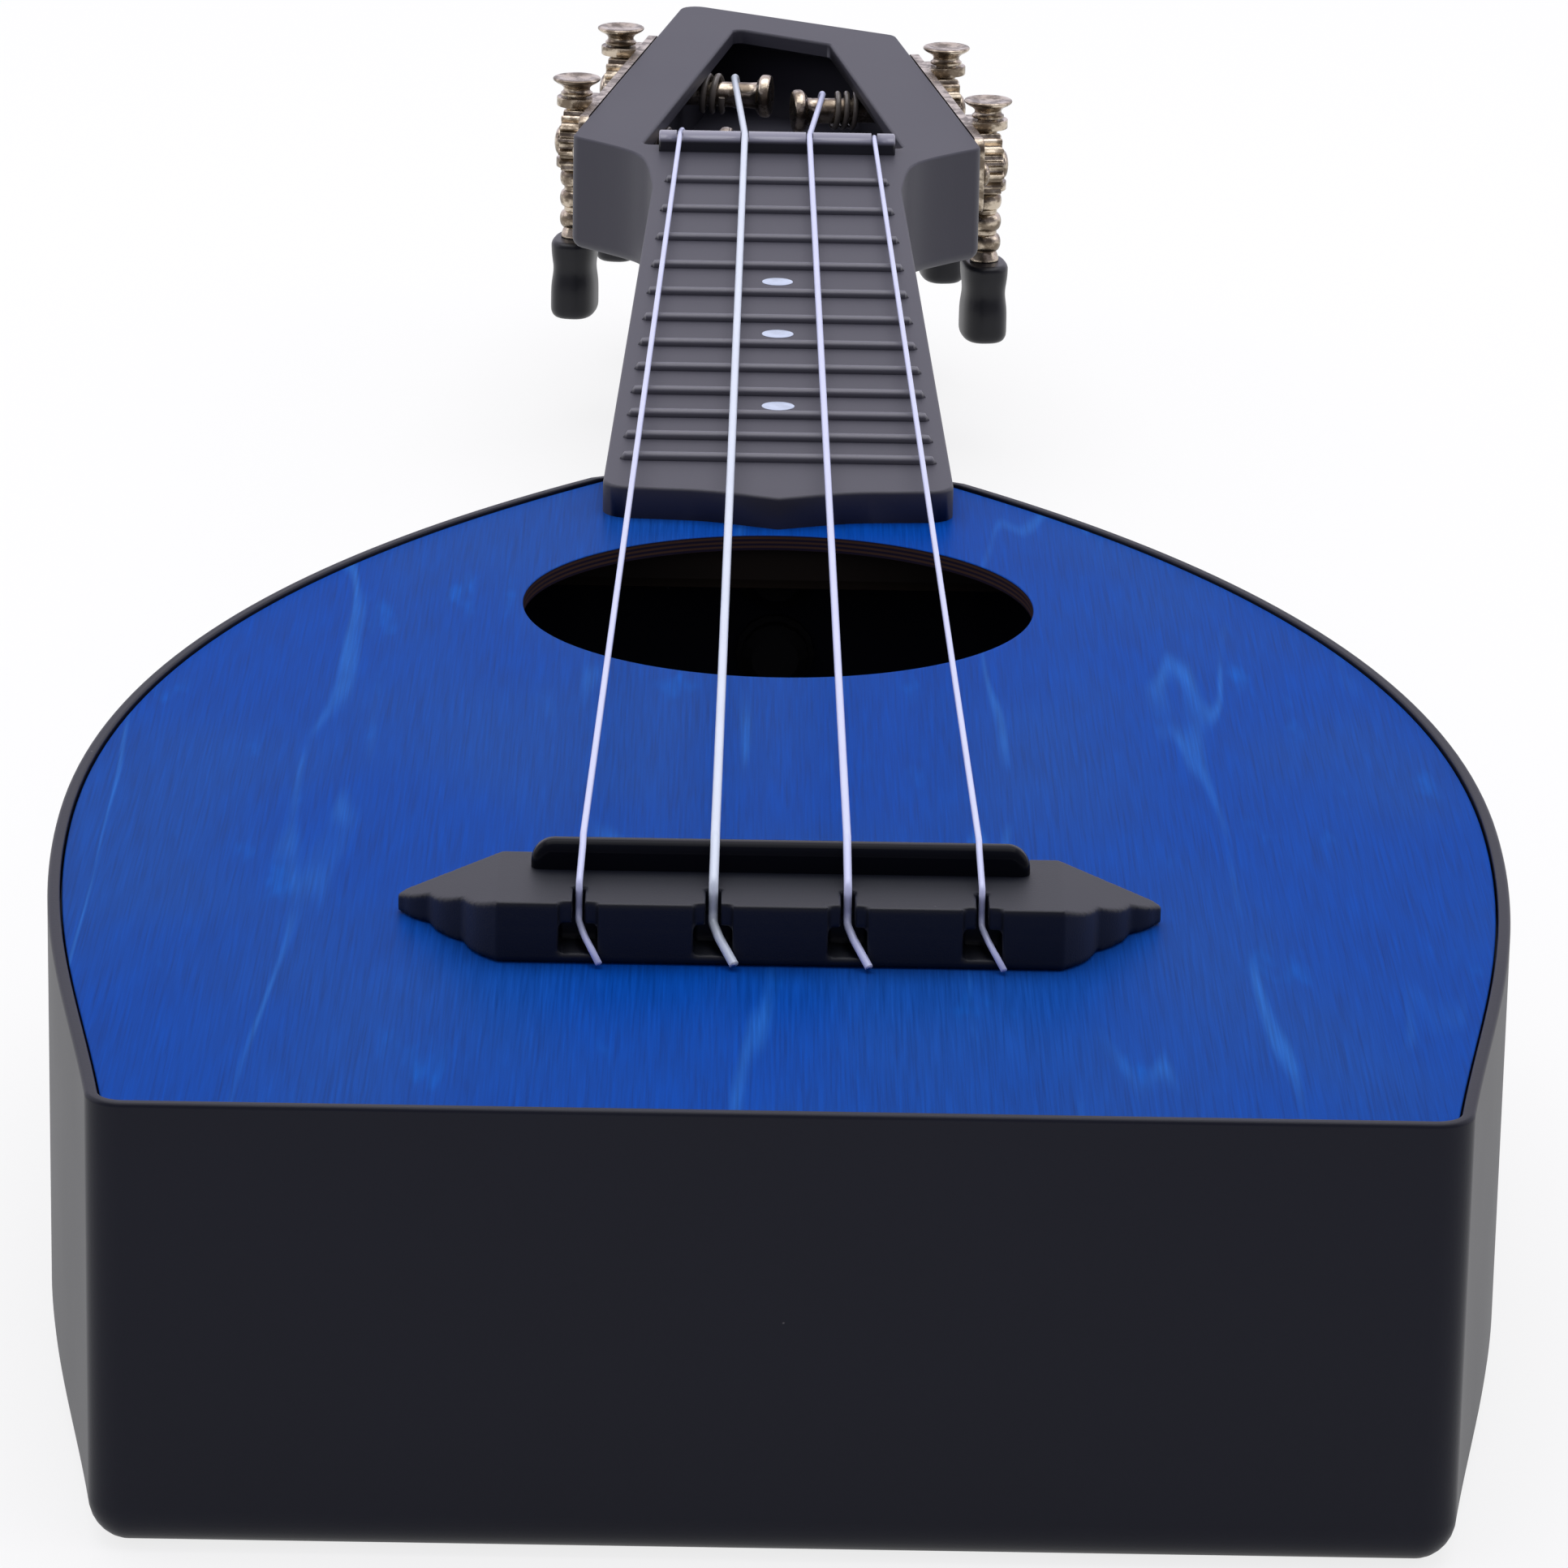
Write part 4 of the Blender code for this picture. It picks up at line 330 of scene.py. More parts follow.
def inset(points, distance):
    """The same outline moved inwards by a distance, or outwards where it is negative."""
    area = sum(
        points[i - 1][0] * points[i][1] - points[i][0] * points[i - 1][1]
        for i in range(len(points))
    )
    sign = 1 if area > 0 else -1
    moved = []
    for index, point in enumerate(points):
        here = Vector(point)
        edge_in = (here - Vector(points[index - 1])).normalized()
        edge_out = (Vector(points[(index + 1) % len(points)]) - here).normalized()
        normal_in = Vector((-edge_in.y, edge_in.x)) * sign
        normal_out = Vector((-edge_out.y, edge_out.x)) * sign
        bisector = (normal_in + normal_out).normalized()
        moved.append(tuple(here + bisector * (distance / bisector.dot(normal_out))))
    return moved


def fillet(before, corner, after, radius, steps=6):
    """Points of the arc that rounds one corner."""
    corner = Vector(corner)
    to_before = (Vector(before) - corner).normalized()
    to_after = (Vector(after) - corner).normalized()
    half_angle = to_before.angle(to_after) / 2
    reach = radius / math.tan(half_angle)
    middle = corner + (to_before + to_after).normalized() * (radius / math.sin(half_angle))
    start = corner + to_before * reach - middle
    turn = start.angle_signed(corner + to_after * reach - middle)
    return [
        tuple(middle + Matrix.Rotation(-turn * step / steps, 2) @ start)
        for step in range(steps + 1)
    ]


def rounded(corners, steps=6):
    """Outline through corners given as (x, y, radius)."""
    points = []
    for index, (x, y, radius) in enumerate(corners):
        if radius <= 0:
            points.append((x, y))
            continue
        before = corners[index - 1][:2]
        after = corners[(index + 1) % len(corners)][:2]
        points += fillet(before, (x, y), after, radius, steps)
    return points


def bezier(start, pull_start, pull_end, end, steps):
    """Points along a cubic curve, its last point left out."""
    a, b, c, d = Vector(start), Vector(pull_start), Vector(pull_end), Vector(end)
    points = []
    for step in range(steps):
        t = step / steps
        u = 1 - t
        points.append(tuple(a * u ** 3 + b * 3 * u * u * t + c * 3 * u * t * t + d * t ** 3))
    return points


def circle(radius, steps, middle=(0.0, 0.0)):
    """Points of a circle."""
    angles = [math.tau * step / steps for step in range(steps)]
    return [(middle[0] + radius * math.cos(a), middle[1] + radius * math.sin(a)) for a in angles]


def body_outline(steps):
    """The body from its left shoulder round to its right one."""
    shoulder = Vector((SHOULDER_HALF_WIDTH, SHOULDER_Y))
    lean = Vector((math.cos(SHOULDER_ANGLE), -math.sin(SHOULDER_ANGLE)))
    widest = Vector((BODY_HIGH.x, WIDEST_Y))
    butt = Vector((BUTT_HALF_WIDTH, BUTT_Y))
    rise = Vector((math.sin(BUTT_ANGLE), math.cos(BUTT_ANGLE)))
    to_neck = widest + Vector((0, WIDEST_PULL_TO_NECK))
    to_butt = widest - Vector((0, WIDEST_PULL_TO_BUTT))
    half = bezier(shoulder, shoulder + lean * SHOULDER_PULL, to_neck, widest, steps)
    lower = bezier(widest, to_butt, butt + rise * BUTT_PULL, butt, steps)
    half += [point for point in lower if (Vector(point) - butt).length > BUTT_CORNER_RADIUS]
    half += fillet(half[-1], butt, (-BUTT_HALF_WIDTH, BUTT_Y), BUTT_CORNER_RADIUS, 9)
    return half + [(-x, y) for x, y in reversed(half)]


def board_half_width(y):
    """Half the fingerboard's width at a place along it."""
    return BOARD_HALF_AT_NUT + (BOARD_HALF_AT_END - BOARD_HALF_AT_NUT) * y / BOARD_END_Y


def shoulder_curve(side):
    """Points from the neck's side out to the headstock's widest corner."""
    sign = -1 if side == "left" else 1
    wide = HEAD_LEFT_WIDE if side == "left" else HEAD_RIGHT_WIDE
    half_width = board_half_width(HEAD_START_Y)
    end = (wide[0] - sign * HEAD_SHOULDER_END[0], wide[1] - HEAD_SHOULDER_END[1])
    knee = (sign * (half_width + HEAD_SHOULDER_KNEE[0]), wide[1] - HEAD_SHOULDER_KNEE[1])
    return bezier((sign * half_width, HEAD_START_Y), knee, knee, end, 20) + [end]


def head_outline():
    """The headstock with its hollow shoulders."""
    corners = [(x, y, 0) for x, y in shoulder_curve("left")]
    for x, y in (HEAD_LEFT_WIDE, HEAD_LEFT_END, HEAD_RIGHT_END, HEAD_RIGHT_WIDE):
        corners.append((x, y, HEAD_CORNER_RADIUS))
    corners += [(x, y, 0) for x, y in reversed(shoulder_curve("right"))]
    return rounded(corners)


def board_outline():
    """Fingerboard and headstock face in one outline."""
    foot_x, foot_drop = BOARD_TIP_FOOT
    start = board_half_width(HEAD_START_Y)
    foot = rounded(
        [
            (start, HEAD_START_Y, 0),
            (BOARD_HALF_AT_END, BOARD_END_Y, BOARD_CORNER_RADIUS),
            (foot_x, BOARD_END_Y - foot_drop, 20 * MM),
            (0, BOARD_END_Y - BOARD_TIP_LENGTH, 0),
            (-foot_x, BOARD_END_Y - foot_drop, 20 * MM),
            (-BOARD_HALF_AT_END, BOARD_END_Y, BOARD_CORNER_RADIUS),
            (-start, HEAD_START_Y, 0),
        ]
    )
    return foot[1:-1] + head_outline()


def window_outline():
    """The opening in the headstock's face."""
    near = NUT_LENGTH + SEAT_GAP
    corners = ((WINDOW_LEFT_AT_NUT, near), WINDOW_LEFT_END, WINDOW_RIGHT_END,
               (WINDOW_RIGHT_AT_NUT, near))
    return rounded([(x, y, WINDOW_CORNER_RADIUS) for x, y in corners])


def hollow_outline(near=NUT_LENGTH + SEAT_GAP):
    """The headstock's hollow under its face, from a place near the nut."""
    corners = [HEAD_LEFT_WIDE, HEAD_LEFT_END, HEAD_RIGHT_END, HEAD_RIGHT_WIDE]
    inner = [(WINDOW_LEFT_AT_NUT, near)] + inset(corners, HEAD_WALL)
    return inner + [(WINDOW_RIGHT_AT_NUT, near)]


def bridge_outline():
    """The bridge, its rear wings stepped in scallops."""
    tip = (BRIDGE_HALF_LENGTH - BRIDGE_TIP_RADIUS, BRIDGE_FRONT_Y - BRIDGE_TIP_RADIUS)
    right = []
    for step in range(7):
        angle = math.radians(90 - 15 * step)
        right.append(
            (tip[0] + BRIDGE_TIP_RADIUS * math.cos(angle), tip[1] + BRIDGE_TIP_RADIUS * math.sin(angle))
        )
    start = Vector((BRIDGE_HALF_LENGTH, BRIDGE_FRONT_Y))
    end = Vector((BRIDGE_BLOCK_HALF, BRIDGE_REAR_Y))
    inward = Vector((end.y - start.y, start.x - end.x)).normalized()
    shares = [(scallop / SCALLOPS) ** SCALLOP_CROWDING for scallop in range(1, SCALLOPS)]
    cusps = [start] + [start.lerp(end, share) + inward * SCALLOP_NOTCH for share in shares] + [end]
    for scallop in range(SCALLOPS):
        for step in range(1 if scallop else 4, 11):
            t = step / 11
            bulge = SCALLOP_BULGE * math.sin(math.pi * t)
            right.append(tuple(cusps[scallop].lerp(cusps[scallop + 1], t) - inward * bulge))
        right.append(tuple(cusps[scallop + 1]))
    return right


# Meshes


def loop(shape, outline, height):
    """Corner points of an outline at one height."""
    return [shape.verts.new((x, y, height)) for x, y in outline]


def wall(shape, loops):
    """Quads between loops of the same length, each one closed."""
    for one, other in zip(loops, loops[1:]):
        count = len(one)
        for index in range(count):
            follow = (index + 1) % count
            shape.faces.new((one[index], one[follow], other[follow], other[index]))


def lid(shape, loops):
    """A flat face inside a loop, with holes where more loops are given."""
    corners = [vertex for one in loops for vertex in one]
    for triangle in tessellate_polygon([[vertex.co for vertex in one] for one in loops]):
        shape.faces.new([corners[index] for index in triangle])


def edge_profile(low, high, round_low, round_high, steps=5):
    """How far in and how high each loop lies up a plate's edge."""
    pairs = [(0.0, low)]
    if round_low:
        angles = [math.pi / 2 * step / steps for step in range(steps + 1)]
        pairs = [
            (round_low * (1 - math.sin(a)), low + round_low * (1 - math.cos(a))) for a in angles
        ]
    if not round_high:
        return pairs + [(0.0, high)]
    angles = [math.pi / 2 * step / steps for step in range(steps + 1)]
    return pairs + [
        (round_high * (1 - math.cos(a)), high - round_high * (1 - math.sin(a))) for a in angles
    ]


def moulding(outer, holes, low, high, round_low=0.0, round_high=0.0, floor=None):
    """A plate with rounded edges. Its holes go through, or down to a floor."""
    shape = bmesh.new()
    sides = [loop(shape, inset(outer, by), z) for by, z in edge_profile(low, high, round_low, round_high)]
    wall(shape, sides)
    tops, bottoms = [sides[-1]], [sides[0]]
    for hole in holes:
        start = low if floor is None else floor
        round_start = round_low if floor is None else 0.0
        profile = edge_profile(start, high, round_start, round_high)
        inner = [loop(shape, inset(hole, -by), z) for by, z in profile]
        wall(shape, inner)
        tops.append(inner[-1])
        if floor is None:
            bottoms.append(inner[0])
        else:
            lid(shape, [inner[0]])
    lid(shape, tops)
    lid(shape, bottoms)
    return shape


def turned(profile, steps):
    """A turned shape about Z from (radius, height) points; it starts and ends on the axis."""
    shape = bmesh.new()
    top = shape.verts.new((0, 0, profile[0][1]))
    bottom = shape.verts.new((0, 0, profile[-1][1]))
    loops = [loop(shape, circle(radius, steps), height) for radius, height in profile[1:-1]]
    wall(shape, loops)
    for index in range(steps):
        follow = (index + 1) % steps
        shape.faces.new((top, loops[0][index], loops[0][follow]))
        shape.faces.new((bottom, loops[-1][follow], loops[-1][index]))
    return shape


def eased(points, steps=6):
    """A smooth line through (radius, height) points, by Catmull's rule."""
    line = []
    for index in range(len(points) - 1):
        before = Vector(points[max(index - 1, 0)])
        a, b = Vector(points[index]), Vector(points[index + 1])
        after = Vector(points[min(index + 2, len(points) - 1)])
        for step in range(steps):
            t = step / steps
            line.append(tuple(
                0.5 * (2 * a + (b - before) * t + (2 * before - 5 * a + 4 * b - after) * t * t
                       + (3 * a - before - 3 * b + after) * t ** 3)
            ))
    return line + [tuple(points[-1])]


def worm_thread(steps):
    """A right-handed worm about Z, from its top end down."""
    shape = bmesh.new()
    pitch = 2 * WORM_HALF_LENGTH / WORM_TURNS
    rows = WORM_TURNS * 12
    loops = []
    for row in range(rows + 1):
        height = WORM_HALF_LENGTH - 2 * WORM_HALF_LENGTH * row / rows
        fade = min(1.0, row / 6, (rows - row) / 6)
        ring = []
        for step in range(steps):
            angle = math.tau * step / steps
            phase = (height / pitch - angle / math.tau) % 1
            lift = 0.5 + 0.5 * math.tanh(2.2 * math.cos(math.tau * phase)) / math.tanh(2.2)
            radius = WORM_CORE + (WORM_CREST - WORM_CORE) * lift * fade
            ring.append((radius * math.cos(angle), radius * math.sin(angle)))
        loops.append(loop(shape, ring, height))
    wall(shape, loops)
    lid(shape, [loops[0]])
    lid(shape, [loops[-1]])
    return shape


def joined(shapes):
    """One shape from several."""
    whole = bmesh.new()
    for shape in shapes:
        part = bpy.data.meshes.new("part")
        shape.to_mesh(part)
        shape.free()
        whole.from_mesh(part)
        bpy.data.meshes.remove(part)
    return whole


def piece(name, shape, look, matrix=FROM_NUT, angle=math.radians(35)):
    """An object at the origin from a shape, with its faces turned outwards."""
    bmesh.ops.transform(shape, matrix=matrix, verts=shape.verts)
    bmesh.ops.recalc_face_normals(shape, faces=shape.faces)
    mesh = bpy.data.meshes.new(name)
    shape.to_mesh(mesh)
    shape.free()
    return from_mesh(name, mesh, look, angle)


def from_mesh(name, mesh, look, angle=math.radians(35)):
    """An object at the origin from a mesh, shaded smooth apart from its sharp edges."""
    mesh.shade_smooth()
    mesh.set_sharp_from_angle(angle=angle)
    mesh.materials.clear()
    mesh.materials.append(look)
    made = bpy.data.objects.new(name, mesh)
    bpy.context.scene.collection.objects.link(made)
    normals = made.modifiers.new("flat_faces_first", "WEIGHTED_NORMAL")
    normals.keep_sharp = True
    return made


def baked(source, name, look, angle=math.radians(35)):
    """A plain mesh object from what an object's modifiers make of it."""
    bpy.context.view_layer.update()
    graph = bpy.context.evaluated_depsgraph_get()
    mesh = bpy.data.meshes.new_from_object(source.evaluated_get(graph))
    mesh.transform(source.matrix_world)
    mesh.name = name
    bpy.data.objects.remove(source, do_unlink=True)
    return from_mesh(name, mesh, look, angle)


def carved(blank, cutters, name, finish):
    """A piece with other pieces cut out of it."""
    for cutter in cutters:
        cut = blank.modifiers.new("cut", "BOOLEAN")
        cut.object = cutter
        cut.use_self = True
        blank.modifiers.move(len(blank.modifiers) - 1, len(blank.modifiers) - 2)
    made = baked(blank, name, finish)
    for cutter in cutters:
        bpy.data.objects.remove(cutter, do_unlink=True)
    return made


def dress(made, body, slot, *nodes):
    """Tie a piece to its body and hide the nodes that it stands for. The slot is not used."""
    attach(made, body)
    if nodes:
        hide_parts(*nodes)


def wire(name, points, radius, look, sides=5):
    """A round wire along a list of places."""
    curve = bpy.data.curves.new(name, "CURVE")
    curve.dimensions = "3D"
    curve.bevel_depth = radius
    curve.bevel_resolution = sides
    curve.use_fill_caps = True
    spline = curve.splines.new("POLY")
    spline.points.add(len(points) - 1)
    for point, spot in zip(spline.points, points):
        point.co = (*spot, 1)
    holder = bpy.data.objects.new(name + "_line", curve)
    bpy.context.scene.collection.objects.link(holder)
    made = baked(holder, name, look, math.radians(60))
    weld_ends(made.data)
    return made


def weld_ends(mesh):
    """Close a wire's loose caps."""
    shape = bmesh.new()
    shape.from_mesh(mesh)
    bmesh.ops.remove_doubles(shape, verts=shape.verts, dist=0.001 * MM)
    bmesh.ops.recalc_face_normals(shape, faces=shape.faces)
    shape.to_mesh(mesh)
    shape.free()


def bent(points, radius, steps=6):
    """A line of places with each corner rounded off."""
    line = [points[0]]
    for before, corner, after in zip(points, points[1:], points[2:]):
        to_before, to_after = before - corner, after - corner
        reach = min(radius, to_before.length * 0.45, to_after.length * 0.45)
        start = corner + to_before.normalized() * reach
        end = corner + to_after.normalized() * reach
        for step in range(steps + 1):
            t = step / steps
            line.append(start * (1 - t) ** 2 + corner * 2 * t * (1 - t) + end * t * t)
    return line + [points[-1]]


# Node trees


def add(tree, kind, inputs=None, **settings):
    """Add a node; an input is a value, or a socket to link from."""
    node = tree.nodes.new(kind)
    for name, value in settings.items():
        setattr(node, name, value)
    for name, value in (inputs or {}).items():
        if isinstance(value, bpy.types.NodeSocket):
            tree.links.new(value, node.inputs[name])
        else:
            node.inputs[name].default_value = value
    return node


def maths(tree, operation, a, b=0.0, c=0.0):
    """One sum on numbers."""
    return add(tree, "ShaderNodeMath", {0: a, 1: b, 2: c}, operation=operation).outputs[0]


def blend(tree, factor, a, b):
    """Mix two colours."""
    node = add(tree, "ShaderNodeMix", data_type="RGBA")
    for index, value in ((0, factor), (6, a), (7, b)):
        if isinstance(value, bpy.types.NodeSocket):
            tree.links.new(value, node.inputs[index])
        elif index == 0:
            node.inputs[index].default_value = value
        else:
            node.inputs[index].default_value = (*value, 1)
    return node.outputs[2]


def ramp(tree, value, low, high):
    """Stretch a value's range from low to high over 0 to 1, smoothly."""
    node = add(tree, "ShaderNodeMapRange", {0: value, 1: low, 2: high}, interpolation_type="SMOOTHSTEP")
    return node.outputs[0]


def group(name, inputs, outputs):
    """An empty shader group, with its input and output nodes."""
    tree = bpy.data.node_groups.new(name, "ShaderNodeTree")
    for label, kind, default in inputs:
        socket = tree.interface.new_socket(label, in_out="INPUT", socket_type=kind)
        if default is not None:
            socket.default_value = default
    for label, kind in outputs:
        tree.interface.new_socket(label, in_out="OUTPUT", socket_type=kind)
    return tree, add(tree, "NodeGroupInput").outputs, add(tree, "NodeGroupOutput").inputs


def stretched(tree, vector, sizes, offset=(0.0, 0.0, 0.0)):
    """A place measured in cells of the given size along each axis."""
    scaled = add(tree, "ShaderNodeVectorMath", {0: vector, 1: sizes}, operation="DIVIDE")
    moved = add(tree, "ShaderNodeVectorMath", {0: scaled.outputs[0], 1: offset}, operation="ADD")
    return moved.outputs[0]


def noise(tree, vector, detail=2.0, roughness=0.5):
    """Soft noise, one cell to a unit."""
    values = {"Vector": vector, "Scale": 1.0, "Detail": detail, "Roughness": roughness}
    return add(tree, "ShaderNodeTexNoise", values).outputs["Fac"]


def specks_group():
    """Scattered dust specks."""
    tree, given, result = group(
        "dust_specks",
        [("Vector", "NodeSocketVector", None), ("Spacing", "NodeSocketFloat", 6 * MM),
         ("Size", "NodeSocketFloat", 0.03), ("Share", "NodeSocketFloat", 0.4)],
        [("Mask", "NodeSocketFloat")],
    )
    cells = stretched(tree, given["Vector"], (1.0, 1.0, 1.0))
    scaled = add(tree, "ShaderNodeVectorMath", {0: cells}, operation="SCALE")
    tree.links.new(maths(tree, "DIVIDE", 1.0, given["Spacing"]), scaled.inputs["Scale"])
    wobble = add(tree, "ShaderNodeTexNoise", {"Vector": scaled.outputs[0], "Scale": 9.0})
    bend = add(tree, "ShaderNodeVectorMath", {0: wobble.outputs["Color"]}, operation="SCALE")
    bend.inputs["Scale"].default_value = 0.05
    moved = add(tree, "ShaderNodeVectorMath", {0: scaled.outputs[0], 1: bend.outputs[0]}, operation="ADD")
    voronoi = add(tree, "ShaderNodeTexVoronoi", {"Vector": moved.outputs[0], "Scale": 1.0})
    near = add(
        tree, "ShaderNodeMapRange", {0: voronoi.outputs["Distance"], 1: given["Size"], 2: 0.0, 3: 0.0, 4: 1.0}
    ).outputs[0]
    chosen = maths(tree, "LESS_THAN", add(
        tree, "ShaderNodeSeparateColor", {0: voronoi.outputs["Color"]}
    ).outputs[0], given["Share"])
    tree.links.new(maths(tree, "MULTIPLY", near, chosen), result["Mask"])
    return tree


def grain_group():
    """Fine moulded texture."""
    tree, given, result = group(
        "moulded_grain",
        [("Vector", "NodeSocketVector", None), ("Fine", "NodeSocketFloat", 0.25 * MM),
         ("Broad", "NodeSocketFloat", 30 * MM)],
        [("Height", "NodeSocketFloat"), ("Tone", "NodeSocketFloat")],
    )
    for label, size, detail in (("Height", "Fine", 2.0), ("Tone", "Broad", 3.0)):
        scaled = add(tree, "ShaderNodeVectorMath", {0: given["Vector"]}, operation="SCALE")
        tree.links.new(maths(tree, "DIVIDE", 1.0, given[size]), scaled.inputs["Scale"])
        tree.links.new(noise(tree, scaled.outputs[0], detail), result[label])
    return tree


def wood_group():
    """Fibres, growth lines and pale streaks of veneer that runs along Y."""
    tree, given, result = group(
        "veneer",
        [("Vector", "NodeSocketVector", None)],
        [("Fibre", "NodeSocketFloat"), ("Line", "NodeSocketFloat"), ("Streak", "NodeSocketFloat"),
         ("Cloud", "NodeSocketFloat")],
    )
    spot = given["Vector"]
    fibre = noise(tree, stretched(tree, spot, (0.3 * MM, 16 * MM, 2 * MM)), 3.0, 0.6)
    field = noise(tree, stretched(tree, spot, (40 * MM, 480 * MM, 50 * MM), (3.1, 1.7, 0)), 4.0, 0.42)
    wave = maths(tree, "PINGPONG", maths(tree, "MULTIPLY", field, 10.0), 0.5)
    thin = maths(tree, "SUBTRACT", 1.0, ramp(tree, wave, 0.0, 0.07))
    broken = ramp(tree, noise(tree, stretched(tree, spot, (20 * MM, 42 * MM, 20 * MM), (7, 2, 0))), 0.42, 0.62)
    streak = ramp(
        tree, noise(tree, stretched(tree, spot, (7 * MM, 32 * MM, 9 * MM), (1, 5, 0)), 3.0, 0.6), 0.62, 0.78
    )
    cloud = noise(tree, stretched(tree, spot, (38 * MM, 70 * MM, 40 * MM), (2, 9, 0)), 2.0)
    tree.links.new(fibre, result["Fibre"])
    tree.links.new(maths(tree, "MULTIPLY", thin, broken), result["Line"])
    tree.links.new(streak, result["Streak"])
    tree.links.new(cloud, result["Cloud"])
    return tree


def painted_dark_reflection_group():
    """Brown painted dark reflections, in soft random patches, on plated metal."""
    tree, given, result = group(
        "painted_dark_reflections", [("Vector", "NodeSocketVector", None)], [("Mask", "NodeSocketFloat"), ("Height", "NodeSocketFloat")]
    )
    broad = noise(tree, stretched(tree, given["Vector"], (2.2 * MM, 2.2 * MM, 1.6 * MM)), 3.0, 0.6)
    tree.links.new(ramp(tree, broad, 0.38, 0.6), result["Mask"])
    tree.links.new(noise(tree, stretched(tree, given["Vector"], (0.5 * MM, 0.5 * MM, 0.5 * MM))), result["Height"])
    return tree


def shared(make, name):
    """A node group, made once."""
    return bpy.data.node_groups.get(name) or make()


class Finish:
    """A material in the making: its tree, its shader and its place on the object."""

    def __init__(self, name, roughness, metallic=0.0, specular=0.5):
        self.material = bpy.data.materials.new(name)
        self.material.use_nodes = True
        self.tree = self.material.node_tree
        self.shader = self.tree.nodes["Principled BSDF"]
        self.shader.inputs["Roughness"].default_value = roughness
        self.shader.inputs["Metallic"].default_value = metallic
        self.shader.inputs["Specular IOR Level"].default_value = specular
        self.place = add(self.tree, "ShaderNodeTexCoord").outputs["Object"]

    def use(self, make, name, **values):
        """Place a shared group; its values are given by the names of its inputs."""
        node = add(self.tree, "ShaderNodeGroup", node_tree=shared(make, name))
        self.tree.links.new(self.place, node.inputs["Vector"])
        for label, value in values.items():
            node.inputs[label.capitalize()].default_value = value
        return node.outputs

    def colour(self, socket):
        """Link the base colour."""
        self.tree.links.new(socket, self.shader.inputs["Base Color"])

    def rough(self, socket):
        """Link the roughness."""
        self.tree.links.new(socket, self.shader.inputs["Roughness"])

    def bump(self, height, distance, strength=1.0):
        """Raise the surface by a height."""
        node = add(self.tree, "ShaderNodeBump", {"Height": height, "Distance": distance, "Strength": strength})
        self.tree.links.new(node.outputs[0], self.shader.inputs["Normal"])


def moulded(name, colour, roughness, specular, dust, fine=0.3 * MM, relief=0.01 * MM, painted_highlight_band=None):
    """Moulded plastic with fine grain, a little dust and, where asked for, a painted highlight: a pale band by height
    near the crest.
    """
    finish = Finish(name, roughness, specular=specular)
    grain = finish.use(grain_group, "moulded_grain", fine=fine, broad=28 * MM)
    shade = blend(finish.tree, grain["Tone"], [c * 0.88 for c in colour], [c * 1.12 for c in colour])
    if dust:
        specks = finish.use(specks_group, "dust_specks", spacing=7 * MM, size=0.025, share=dust)
        shade = blend(finish.tree, specks["Mask"], shade, (0.19, 0.18, 0.18))
    # Painted highlight: a pale band over a height range just under the top, for light caught on a glossy crest.
    if painted_highlight_band:
        low, high, pale = painted_highlight_band
        height = add(finish.tree, "ShaderNodeSeparateXYZ", {0: finish.place}).outputs[2]
        shade = blend(finish.tree, ramp(finish.tree, height, low, high), shade, pale)
    finish.colour(shade)
    low, high = roughness * 0.94, roughness * 1.06
    finish.rough(add(finish.tree, "ShaderNodeMapRange", {0: grain["Tone"], 3: low, 4: high}).outputs[0])
    finish.bump(grain["Height"], relief)
    return finish.material


def stained_top(colours):
    """Blue stained veneer; the plate's cut edge shows its plies."""
    finish = Finish("stained_veneer", 0.42, specular=0.012)
    tree = finish.tree
    wood = finish.use(wood_group, "veneer")
    shade = blend(tree, ramp(tree, wood["Cloud"], 0.35, 0.65), colours.stain, (0.006, 0.058, 0.29))
    shade = blend(tree, maths(tree, "MULTIPLY", wood["Line"], 0.6), shade, colours.stain_pale)
    shade = blend(tree, maths(tree, "MULTIPLY", wood["Streak"], 0.5), shade, (0.002, 0.11, 0.5))
    fibre = add(tree, "ShaderNodeMapRange", {0: wood["Fibre"], 1: 0.25, 2: 0.75, 3: 0.74, 4: 1.28}).outputs[0]
    grained = add(tree, "ShaderNodeVectorMath", {0: shade}, operation="SCALE")
    tree.links.new(fibre, grained.inputs["Scale"])
    facing = add(tree, "ShaderNodeSeparateXYZ", {0: add(tree, "ShaderNodeNewGeometry").outputs["Normal"]})
    upright = ramp(tree, maths(tree, "ABSOLUTE", facing.outputs[2]), 0.75, 0.35)
    height = add(tree, "ShaderNodeSeparateXYZ", {0: finish.place}).outputs[2]
    ply = maths(tree, "PINGPONG", maths(tree, "DIVIDE", height, 0.55 * MM), 0.5)
    plies = blend(tree, ramp(tree, ply, 0.2, 0.32), (0.016, 0.013, 0.026), (0.06, 0.034, 0.026))
    finish.colour(blend(tree, upright, grained.outputs[0], plies))
    finish.rough(add(tree, "ShaderNodeMapRange", {0: wood["Fibre"], 3: 0.36, 4: 0.5}).outputs[0])
    finish.bump(wood["Fibre"], 0.012 * MM)
    return finish.material


def nickel_plate(colours, name="nickel_plate", roughness=0.2):
    """Warm nickel with brown painted dark reflections in soft random patches."""
    finish = Finish(name, roughness, metallic=1.0)
    painted_darks = finish.use(painted_dark_reflection_group, "painted_dark_reflections")
    # Painted dark reflections: brown patches blended over the nickel colour.
    shade = blend(finish.tree, maths(finish.tree, "MULTIPLY", painted_darks["Mask"], 0.8), colours.nickel, (0.08, 0.055, 0.035))
    finish.colour(shade)
    finish.rough(add(finish.tree, "ShaderNodeMapRange", {0: painted_darks["Mask"], 3: roughness, 4: roughness + 0.12}).outputs[0])
    finish.bump(painted_darks["Height"], 0.02 * MM)
    return finish.material


